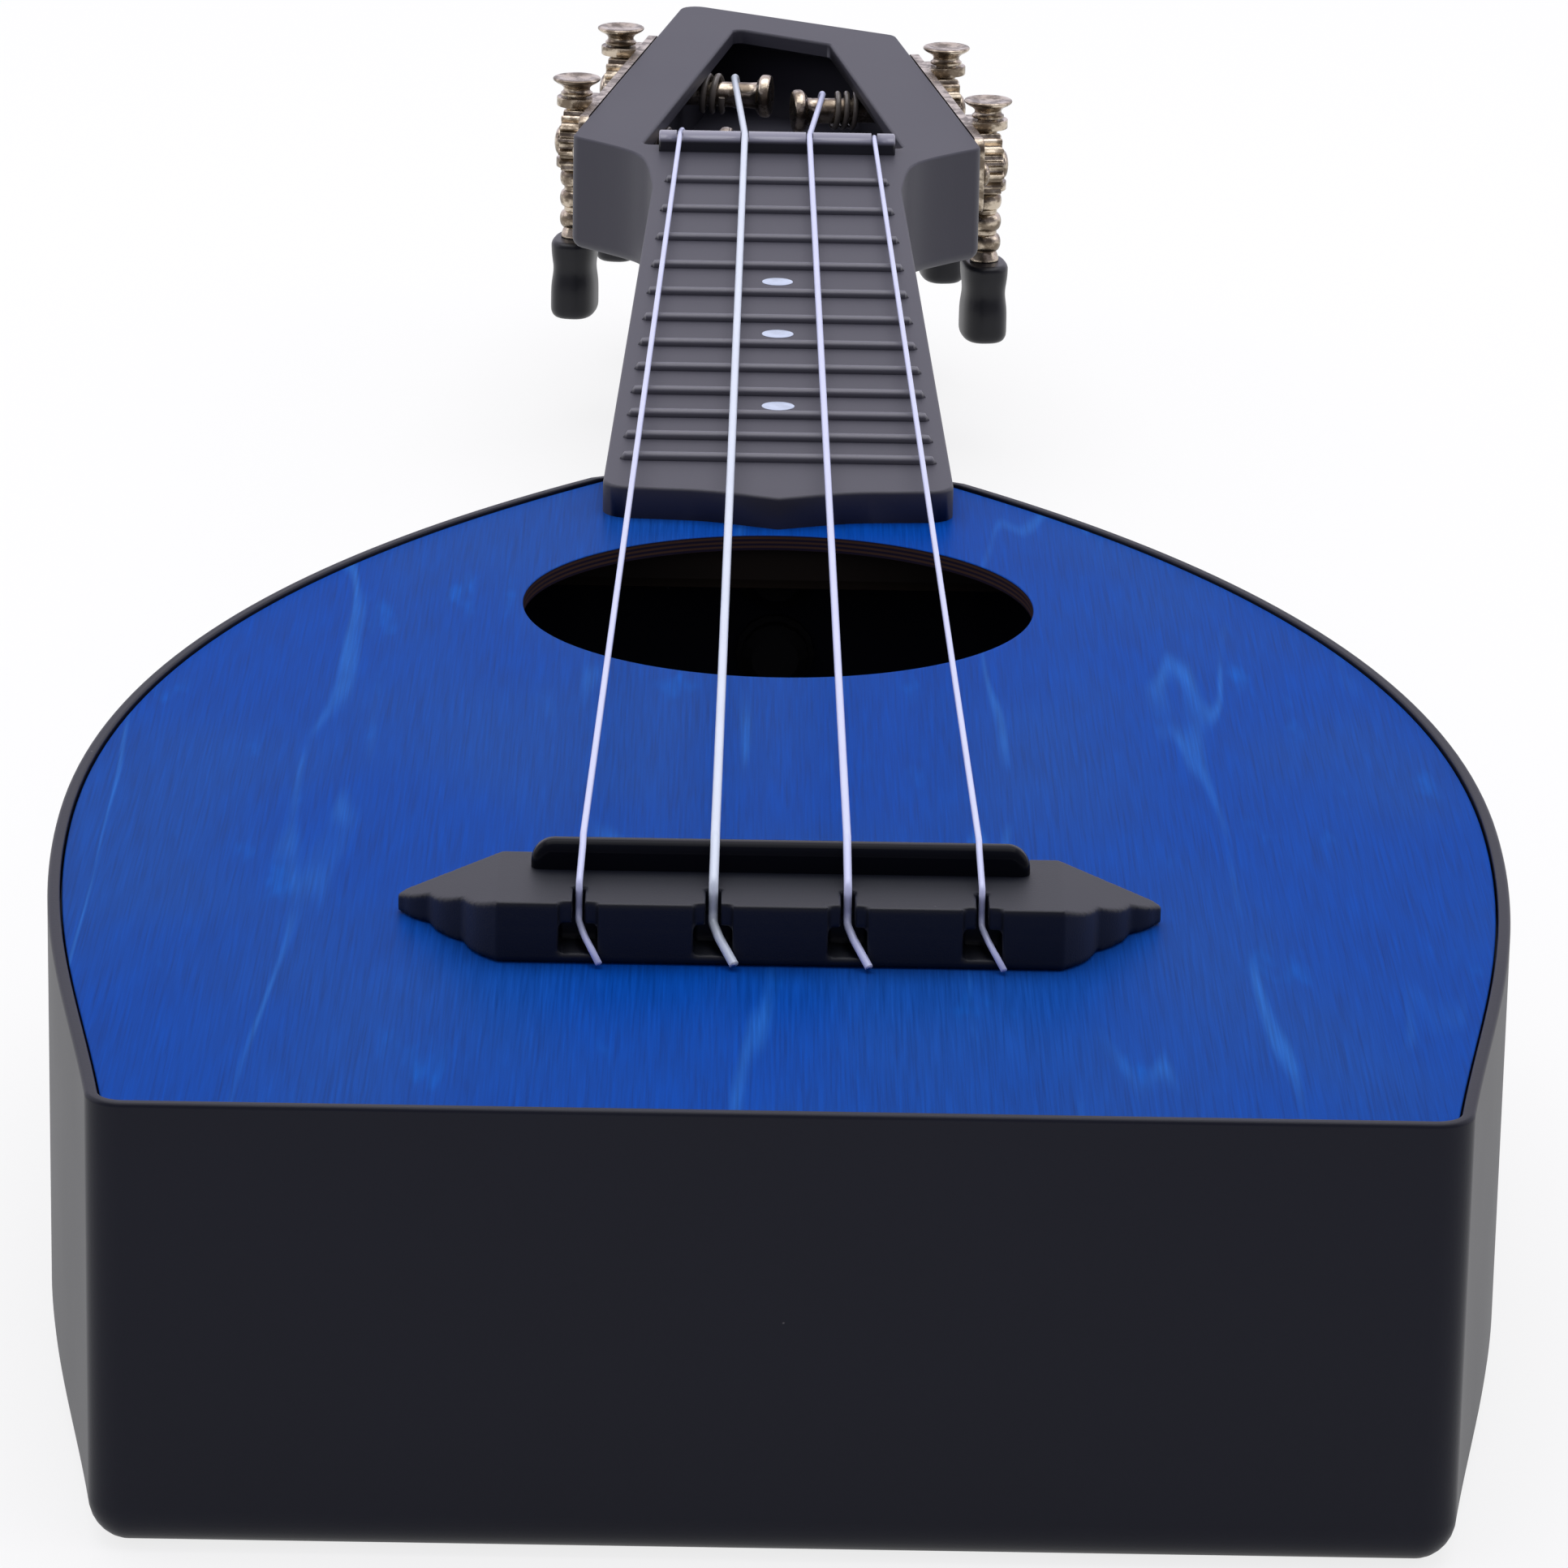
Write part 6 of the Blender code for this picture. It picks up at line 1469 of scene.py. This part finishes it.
def screw_tree():
    """A screw on each point, turned to point outwards."""
    found = bpy.data.node_groups.get("screw_row")
    if found:
        return found
    tree = bpy.data.node_groups.new("screw_row", "GeometryNodeTree")
    for label, kind in (
        ("Geometry", "NodeSocketGeometry"), ("Head", "NodeSocketObject"),
        ("Outward", "NodeSocketVector"), ("Material", "NodeSocketMaterial"),
    ):
        tree.interface.new_socket(label, in_out="INPUT", socket_type=kind)
    tree.interface.new_socket("Geometry", in_out="OUTPUT", socket_type="NodeSocketGeometry")
    given = add(tree, "NodeGroupInput").outputs
    turn = add(tree, "FunctionNodeAlignRotationToVector", {"Vector": given["Outward"]}, axis="Z")
    head = add(tree, "GeometryNodeObjectInfo", {"Object": given["Head"]})
    copies = add(
        tree, "GeometryNodeInstanceOnPoints",
        {"Points": given["Geometry"], "Instance": head.outputs["Geometry"], "Rotation": turn.outputs[0]},
    )
    real = add(tree, "GeometryNodeRealizeInstances", {0: copies.outputs[0]})
    finish = add(tree, "GeometryNodeSetMaterial", {"Geometry": real.outputs[0], "Material": given["Material"]})
    tree.links.new(finish.outputs[0], add(tree, "NodeGroupOutput").inputs[0])
    return tree


class UKULELE_OT_pegs(bpy.types.Operator):
    """Worm shafts with their beads and flared tops, and the buttons"""

    bl_idname = "ukulele.pegs"
    bl_label = "Worm shafts and buttons"

    def execute(self, context):
        steps = context.scene.ukulele_shapes.round_steps
        for name in STRING_NAMES:
            matrix = peg_matrix(name)
            thread = worm_thread(steps)
            bmesh.ops.translate(thread, vec=(0, 0, TUNER_HEIGHT), verts=thread.verts)
            shaft = joined([turned(self.upper_profile(), steps), thread, turned(self.lower_profile(), steps)])
            made = piece(f"beaded_worm_shaft_{name}", shaft, look("nickel_plate"), matrix)
            dress(made, f"peg_{name}", "nickel", f"worm_shaft_{name}")
            made = piece(f"waisted_button_{name}", self.button(), look("tuner_button"), matrix)
            dress(made, f"peg_{name}", "black_button", f"tuner_button_{name}")
        return {"FINISHED"}

    def upper_profile(self):
        """From the flared top down to the worm."""
        lug_top = TUNER_HEIGHT + WORM_HALF_LENGTH + 2 * RUNNING_GAP + LUG_THICKNESS
        r, top = FLARE_RADIUS, FLARE_TOP
        flare = [(r * 0.45, top - 0.3 * MM), (r * 0.8, top - 0.05 * MM), (r * 0.97, top - 0.12 * MM), (r, top - 0.4 * MM),
                 (r * 0.9, top - 0.75 * MM), (r * 0.7, top - 1.15 * MM), (r * 0.57, top - 1.6 * MM),
                 (r * 0.56, top - 2.0 * MM), (r * 0.62, top - 2.3 * MM)]
        collar = [(BEAD_RADIUS, lug_top + 0.3 * MM), (BEAD_RADIUS, lug_top), (JOURNAL_RADIUS, lug_top)]
        foot = TUNER_HEIGHT + WORM_HALF_LENGTH - 0.2 * MM
        return [(0, top - 0.4 * MM)] + eased(flare, 4) + collar + [(JOURNAL_RADIUS, foot), (0, foot)]

    def lower_profile(self):
        """From the worm down over the beads into the button."""
        lug_bottom = TUNER_HEIGHT - WORM_HALF_LENGTH - 2 * RUNNING_GAP - LUG_THICKNESS
        start = TUNER_HEIGHT - WORM_HALF_LENGTH + 0.2 * MM
        first = BUTTON_TOP + BEAD_PITCH * (BEADS - 0.1)
        waist = BEAD_RADIUS * 0.62
        profile = [(0, start), (JOURNAL_RADIUS, start), (JOURNAL_RADIUS, lug_bottom), (waist, lug_bottom - 0.02 * MM)]
        for bead in range(BEADS):
            middle = first - bead * BEAD_PITCH
            for step in range(13):
                angle = math.radians(-78 + 13 * step)
                profile.append(
                    (waist + (BEAD_RADIUS - waist) * math.cos(angle) ** 0.8, middle - math.sin(angle) * BEAD_PITCH * 0.42)
                )
        collar = BUTTON_TOP + 0.1 * MM
        return profile + [(BEAD_RADIUS * 0.9, collar + 0.4 * MM), (BEAD_RADIUS * 0.9, collar), (1.2 * MM, collar),
                          (1.2 * MM, BUTTON_TOP - 1 * MM), (0, BUTTON_TOP - 1 * MM)]

    def button(self):
        """Waisted button, oval from above, its bottom end rounded off."""
        shape = bmesh.new()
        length = BUTTON_TOP - BUTTON_BOTTOM
        loops = []
        rows = 40
        for row in range(rows + 1):
            share = (1 - math.cos(math.pi * row / rows)) / 2
            near_top = max(0.0, 1 - share / 0.07)
            near_end = max(0.0, 1 - (1 - share) / 0.14)
            size = (1 - near_top ** 2.2) ** 0.5 * 0.2 + 0.8 if near_top else 1.0
            size *= (1 - near_end ** 2.4) ** 0.5 * 0.3 + 0.7 if near_end else 1.0
            size *= 1 - 0.09 * math.exp(-((share - 0.38) / 0.16) ** 2)
            ring = []
            for step in range(40):
                angle = math.tau * step / 40
                cos, sin = math.cos(angle), math.sin(angle)
                ring.append((
                    BUTTON_HALF_WIDTH * size * math.copysign(abs(cos) ** 0.75, cos),
                    BUTTON_HALF_THICKNESS * size * math.copysign(abs(sin) ** 0.75, sin),
                ))
            loops.append(loop(shape, ring, BUTTON_TOP - length * share))
        wall(shape, loops)
        lid(shape, [loops[0]])
        lid(shape, [loops[-1]])
        return shape


class UKULELE_OT_spools(bpy.types.Operator):
    """Rollers with their gears, screws and turns of string"""

    bl_idname = "ukulele.spools"
    bl_label = "Rollers, gears and windings"

    def execute(self, context):
        steps = context.scene.ukulele_shapes.round_steps
        for name in STRING_NAMES:
            matrix = spool_matrix(name)
            body = f"spool_{name}"
            made = piece(f"turned_roller_{name}", turned(self.roller(), steps), look("nickel_plate"), matrix)
            dress(made, body, "nickel", f"roller_{name}")
            made = piece(f"toothed_gear_{name}", self.gear(steps), look("nickel_plate"), matrix)
            dress(made, body, "nickel", f"gear_{name}")
            seat = GEAR_STAND_OFF + GEAR_THICKNESS + SEAT_GAP
            head = screw_head(GEAR_SCREW_HEAD, GEAR_SCREW_HEAD_HEIGHT)
            made = piece(f"gear_screw_head_{name}", head, look("nickel_plate"), matrix @ Matrix.Translation((0, 0, seat)))
            dress(made, body, "nickel", f"gear_screw_{name}")
            self.winding(name, matrix, body)
        return {"FINISHED"}

    def roller(self):
        """Journal, waist for the string and flared end."""
        shank_end = GEAR_STAND_OFF + GEAR_THICKNESS - SEAT_GAP
        collar = GEAR_STAND_OFF - SEAT_GAP
        start = -(ROLLER_LENGTH - ROLLER_FLANGE_LENGTH)
        waist = [(ROLLER_JOURNAL_RADIUS, -ROLLER_WAIST_START + 1 * MM), (ROLLER_WAIST_RADIUS, -ROLLER_WAIST_START),
                 (ROLLER_WAIST_RADIUS, start + 1.2 * MM), (ROLLER_FLANGE_RADIUS * 0.8, start + 0.2 * MM),
                 (ROLLER_FLANGE_RADIUS * 0.98, start - 0.4 * MM), (ROLLER_FLANGE_RADIUS, -ROLLER_LENGTH + 0.7 * MM),
                 (ROLLER_FLANGE_RADIUS * 0.9, -ROLLER_LENGTH + 0.15 * MM), (ROLLER_FLANGE_RADIUS * 0.5, -ROLLER_LENGTH)]
        return [(0, shank_end), (1.7 * MM, shank_end), (1.7 * MM, collar), (ROLLER_JOURNAL_RADIUS, collar),
                (ROLLER_JOURNAL_RADIUS, -ROLLER_WAIST_START + 1.4 * MM)] + eased(waist, 4) + [(0, -ROLLER_LENGTH)]

    def gear(self, steps):
        """Gear with rounded teeth and a bore."""
        outline = []
        for tooth in range(GEAR_TEETH):
            for share, radius in ((-0.36, 0.0), (-0.27, 0.12), (-0.17, 0.85), (-0.1, 1.0), (0.1, 1.0), (0.17, 0.85),
                                  (0.27, 0.12), (0.36, 0.0)):
                angle = math.tau * (tooth + 0.5 + share) / GEAR_TEETH
                reach = GEAR_ROOT_RADIUS + (GEAR_TIP_RADIUS - GEAR_ROOT_RADIUS) * radius
                outline.append((reach * math.cos(angle), reach * math.sin(angle)))
        bore = circle(1.8 * MM, steps)
        high = GEAR_STAND_OFF + GEAR_THICKNESS
        return moulding(outline, [bore], GEAR_STAND_OFF, high, 0.12 * MM, 0.12 * MM)

    def winding(self, name, matrix, body):
        """Turns of string beside the place where it meets the roller."""
        holder = bpy.data.objects.new("turns", bpy.data.meshes.new("turns"))
        bpy.context.scene.collection.objects.link(holder)
        nodes = holder.modifiers.new("turns", "NODES")
        nodes.node_group = winding_tree()
        radius = STRING_RADIUS[name]
        pitch = 2 * radius + WINDING_TURN_GAP
        # The turns' finish paints the roller's nickel reflected in the clear string.
        finish = look("wound_nylon_painted_reflection")
        set_inputs(nodes, {
            "Turns": float(WINDING_TURNS[name]),
            "Pitch": pitch,
            "Radius": ROLLER_WAIST_RADIUS + SEAT_GAP + radius,
            "Wire radius": radius,
            "Start": pitch - string_reach(name),
            "Material": finish,
        })
        holder.matrix_world = matrix
        made = baked(holder, f"string_turns_{name}", finish, math.radians(60))
        weld_ends(made.data)
        dress(made, body, "clear_nylon", f"winding_{name}")


def winding_tree():
    """A wire wound in an even helix about Z."""
    found = bpy.data.node_groups.get("string_turns")
    if found:
        return found
    tree = bpy.data.node_groups.new("string_turns", "GeometryNodeTree")
    for label, kind in (
        ("Geometry", "NodeSocketGeometry"), ("Turns", "NodeSocketFloat"), ("Pitch", "NodeSocketFloat"),
        ("Radius", "NodeSocketFloat"), ("Wire radius", "NodeSocketFloat"), ("Start", "NodeSocketFloat"),
        ("Material", "NodeSocketMaterial"),
    ):
        tree.interface.new_socket(label, in_out="INPUT", socket_type=kind)
    tree.interface.new_socket("Geometry", in_out="OUTPUT", socket_type="NodeSocketGeometry")
    given = add(tree, "NodeGroupInput").outputs
    spiral = add(
        tree, "GeometryNodeCurveSpiral",
        {"Resolution": 40, "Rotations": given["Turns"], "Start Radius": given["Radius"], "End Radius": given["Radius"],
         "Height": maths(tree, "MULTIPLY", given["Turns"], given["Pitch"])},
    )
    moved = add(
        tree, "GeometryNodeSetPosition",
        {"Geometry": spiral.outputs[0], "Offset": add(tree, "ShaderNodeCombineXYZ", {2: given["Start"]}).outputs[0]},
    )
    ring = add(tree, "GeometryNodeCurvePrimitiveCircle", {"Resolution": 12, "Radius": given["Wire radius"]})
    tube = add(
        tree, "GeometryNodeCurveToMesh",
        {"Curve": moved.outputs[0], "Profile Curve": ring.outputs[0], "Fill Caps": True},
    )
    real = add(tree, "GeometryNodeRealizeInstances", {0: tube.outputs[0]})
    finish = add(tree, "GeometryNodeSetMaterial", {"Geometry": real.outputs[0], "Material": given["Material"]})
    tree.links.new(finish.outputs[0], add(tree, "NodeGroupOutput").inputs[0])
    return tree


# Strings


def string_line_end(name):
    """Where a string's run meets its roller, seen from above."""
    joint = JOINTS[f"spool_{name}_turn"]
    middle, outward = Vector(joint["pos_m"]), Vector(joint["axis"])
    across = string_x(name, 0) + SIDESTEP_TO_ROLLER[name]
    return middle - outward * ((across - middle.x) / -outward.x)


def string_reach(name):
    """How far inside the headstock's side a string meets its roller."""
    joint = JOINTS[f"spool_{name}_turn"]
    return (Vector(joint["pos_m"]) - string_line_end(name)).dot(Vector(joint["axis"]))


class UKULELE_OT_strings(bpy.types.Operator):
    """Four strings from their tails behind the bridge to their rollers"""

    bl_idname = "ukulele.strings"
    bl_label = "Strings"

    def execute(self, context):
        for name in STRING_NAMES:
            finish = look("thick_nylon" if name == "c" else "thin_nylon")
            radius = STRING_RADIUS[name]
            line = bent(self.route(name), 0.6 * MM) + self.round_roller(name)
            made = wire(f"nylon_string_{name}", [tuple(point) for point in line], radius, finish)
            dress(made, ROOT, "clear_nylon", f"string_{name}")
        return {"FINISHED"}

    def route(self, name):
        """Tail, tie slot, saddle and nut."""
        radius = STRING_RADIUS[name]
        tie_x = string_x(name, BRIDGE_REAR_Y)
        slot_y = BRIDGE_REAR_Y + TIE_SLOT_LENGTH - radius - TIE_SLOT_CLEARANCE
        hole_z = (TIE_HOLE_FLOOR + TIE_HOLE_TOP) / 2
        edge_z = BRIDGE_HEIGHT
        saddle_y = (SADDLE_LOW.y + SADDLE_HIGH.y) / 2 - NUT_FACE_Y
        saddle_rear = SADDLE_LOW.y - NUT_FACE_Y
        saddle_z = SADDLE_HIGH.z - TOP_Z + SEAT_GAP / 4 + radius
        saddle_x = string_x(name, saddle_y)
        nut_z = STRING_FLOOR_AT_NUT + SEAT_GAP / 2 + radius
        nut_x = string_x(name, 0)
        places = [
            (tie_x + TAIL_ASIDE, BRIDGE_REAR_Y - TAIL_BEHIND, radius + SEAT_GAP),
            (tie_x + TAIL_ASIDE * 0.3, BRIDGE_REAR_Y + TAIL_BEHIND, hole_z),
            (tie_x, slot_y - TIE_BEND, hole_z + (TIE_HOLE_TOP - hole_z) * 0.4),
            (tie_x, slot_y - radius * 0.4, TIE_HOLE_TOP),
            (tie_x, slot_y, edge_z - radius * 0.5),
            (tie_x, slot_y + radius, edge_z + radius * 1.5),
            (saddle_x, saddle_rear - SEAT_GAP, saddle_z - SADDLE_DROP),
            (saddle_x, saddle_y, saddle_z),
            (nut_x, 0, nut_z),
            (nut_x, NUT_LENGTH * 0.5, nut_z),
        ]
        return [FROM_NUT @ Vector(place) for place in places]

    def round_roller(self, name):
        """The last stretch, bent over the roller."""
        joint = JOINTS[f"spool_{name}_turn"]
        outward = Vector(joint["axis"])
        forward = Vector((-outward.y, outward.x, 0))
        if forward.y < 0:
            forward.negate()
        wound = ROLLER_WAIST_RADIUS + SEAT_GAP + STRING_RADIUS[name]
        foot = string_line_end(name)
        start = self.route(name)[-1]
        run = (foot - start).dot(forward)
        fall = start.z - foot.z
        tangent = math.pi / 2 + math.atan2(fall, run) - math.asin(wound / math.hypot(run, fall))
        places = []
        for step in range(25):
            angle = tangent - math.radians(150) * step / 24
            places.append(foot + forward * math.cos(angle) * wound + Vector((0, 0, wound * math.sin(angle))))
        return places


# Studio


class UKULELE_OT_studio(bpy.types.Operator):
    """Pale floor, soft lamps and the camera"""

    bl_idname = "ukulele.studio"
    bl_label = "Studio and camera"

    def execute(self, context):
        scene = context.scene
        studio = scene.ukulele_studio
        half = studio.floor_size / 2
        mesh = bpy.data.meshes.new("floor")
        mesh.from_pydata([(-half, -half, 0), (half, -half, 0), (half, half, 0), (-half, half, 0)], [], [(0, 1, 2, 3)])
        floor = bpy.data.objects.new("floor", mesh)
        scene.collection.objects.link(floor)
        mesh.materials.append(self.floor_finish(studio))
        self.world(scene, studio)
        self.lamp("overhead_softbox", (0, 0.15, 1.35), (0, -0.05, 0), 1.5, studio.key)
        self.lamp("left_softbox", (-1.4, 0.1, 0.8), (0, 0, 0.03), 0.9, studio.side)
        self.lamp("right_softbox", (1.4, 0.1, 0.8), (0, 0, 0.03), 0.9, studio.side)
        self.camera(scene)
        scene.view_settings.view_transform = "Standard"
        return {"FINISHED"}

    def seen_white(self, tree, place, dark, bright):
        """1 where a camera ray looks, and for a glossy ray away from the dark front of the room."""
        rays = add(tree, "ShaderNodeLightPath").outputs
        along = add(tree, "ShaderNodeSeparateXYZ", {0: add(tree, "ShaderNodeTexCoord").outputs[place]}).outputs[1]
        away = add(tree, "ShaderNodeMapRange", {0: along, 1: dark, 2: bright, 3: 0.3, 4: 1.0}).outputs[0]
        glossy = maths(tree, "MULTIPLY", rays["Is Glossy Ray"], away)
        return maths(tree, "MAXIMUM", rays["Is Camera Ray"], glossy)

    def floor_finish(self, studio):
        """White paper, part of it plain white so that shadows stay faint."""
        material = bpy.data.materials.new("studio_floor")
        material.use_nodes = True
        tree = material.node_tree
        tree.nodes.clear()
        paper = add(tree, "ShaderNodeBsdfDiffuse", {"Color": (0.9, 0.9, 0.9, 1)})
        white = add(tree, "ShaderNodeEmission", {"Color": (1, 1, 1, 1), "Strength": 1.0})
        share = maths(tree, "MULTIPLY", self.seen_white(tree, "Object", -0.5, -0.25), studio.lift)
        mixed = add(tree, "ShaderNodeMixShader", {0: share, 1: paper.outputs[0], 2: white.outputs[0]})
        out = add(tree, "ShaderNodeOutputMaterial")
        tree.links.new(mixed.outputs[0], out.inputs[0])
        return material

    def world(self, scene, studio):
        """Even fill that shows as white."""
        world = bpy.data.worlds.new("studio_world")
        scene.world = world
        world.use_nodes = True
        tree = world.node_tree
        background = tree.nodes["Background"]
        rays = add(tree, "ShaderNodeLightPath").outputs
        shade = blend(tree, rays["Is Camera Ray"], (0.96, 0.93, 1.08), (1, 1, 1))
        tree.links.new(shade, background.inputs["Color"])
        fill = maths(tree, "MULTIPLY", rays["Is Diffuse Ray"], studio.world)
        strength = maths(tree, "ADD", self.seen_white(tree, "Generated", -0.35, 0.2), fill)
        tree.links.new(strength, background.inputs["Strength"])

    def lamp(self, name, place, target, size, power):
        """A square soft lamp that looks at a place."""
        data = bpy.data.lights.new(name, "AREA")
        data.size = size
        data.energy = power
        made = bpy.data.objects.new(name, data)
        made.location = place
        made.rotation_euler = (Vector(target) - Vector(place)).to_track_quat("-Z", "Y").to_euler()
        bpy.context.scene.collection.objects.link(made)

    def camera(self, scene):
        """The photograph's camera: long lens, low over the butt end."""
        data = bpy.data.cameras.new("photo_camera")
        data.sensor_width = SENSOR_WIDTH
        data.lens = CAMERA_LENS
        data.clip_end = 50
        made = bpy.data.objects.new("photo_camera", data)
        cos_pitch = math.cos(CAMERA_PITCH)
        ahead = Vector((math.sin(CAMERA_YAW) * cos_pitch, math.cos(CAMERA_YAW) * cos_pitch, -math.sin(CAMERA_PITCH)))
        right = Vector((math.cos(CAMERA_YAW), -math.sin(CAMERA_YAW), 0))
        up = right.cross(ahead)
        cos_roll, sin_roll = math.cos(CAMERA_ROLL), math.sin(CAMERA_ROLL)
        leaned = right * cos_roll + up * sin_roll
        risen = up * cos_roll - right * sin_roll
        made.matrix_world = FROM_NUT @ Matrix.Translation(CAMERA_PLACE) @ Matrix((leaned, risen, -ahead)).transposed().to_4x4()
        scene.collection.objects.link(made)
        scene.camera = made


STEPS = (
    UKULELE_OT_body, UKULELE_OT_top, UKULELE_OT_bridge, UKULELE_OT_neck, UKULELE_OT_fingerboard,
    UKULELE_OT_nut, UKULELE_OT_strips, UKULELE_OT_pegs, UKULELE_OT_spools, UKULELE_OT_strings,
    UKULELE_OT_studio,
)


class UKULELE_PT_steps(bpy.types.Panel):
    """The steps of the dressing, in order"""

    bl_idname = "UKULELE_PT_steps"
    bl_label = "Soprano ukulele"
    bl_space_type = "VIEW_3D"
    bl_region_type = "UI"
    bl_category = "Ukulele"

    def draw(self, context):
        layout = self.layout
        for settings in (context.scene.ukulele_shapes, context.scene.ukulele_colours, context.scene.ukulele_studio):
            for name in settings.__annotations__:
                layout.prop(settings, name)
        for step in STEPS:
            layout.operator(step.bl_idname)


CLASSES = (UkuleleShapes, UkuleleColours, UkuleleStudio, *STEPS, UKULELE_PT_steps)


def register():
    """Register the classes and hang the settings on the scene."""
    for item in CLASSES:
        bpy.utils.register_class(item)
    bpy.types.Scene.ukulele_shapes = PointerProperty(type=UkuleleShapes)
    bpy.types.Scene.ukulele_colours = PointerProperty(type=UkuleleColours)
    bpy.types.Scene.ukulele_studio = PointerProperty(type=UkuleleStudio)


def unregister():
    """Take the settings off the scene and the classes out."""
    del bpy.types.Scene.ukulele_shapes
    del bpy.types.Scene.ukulele_colours
    del bpy.types.Scene.ukulele_studio
    for item in reversed(CLASSES):
        bpy.utils.unregister_class(item)


def main():
    """Dress the whole instrument."""
    register()
    for step in STEPS:
        family, name = step.bl_idname.split(".")
        getattr(getattr(bpy.ops, family), name)()


if __name__ == "__main__":
    main()
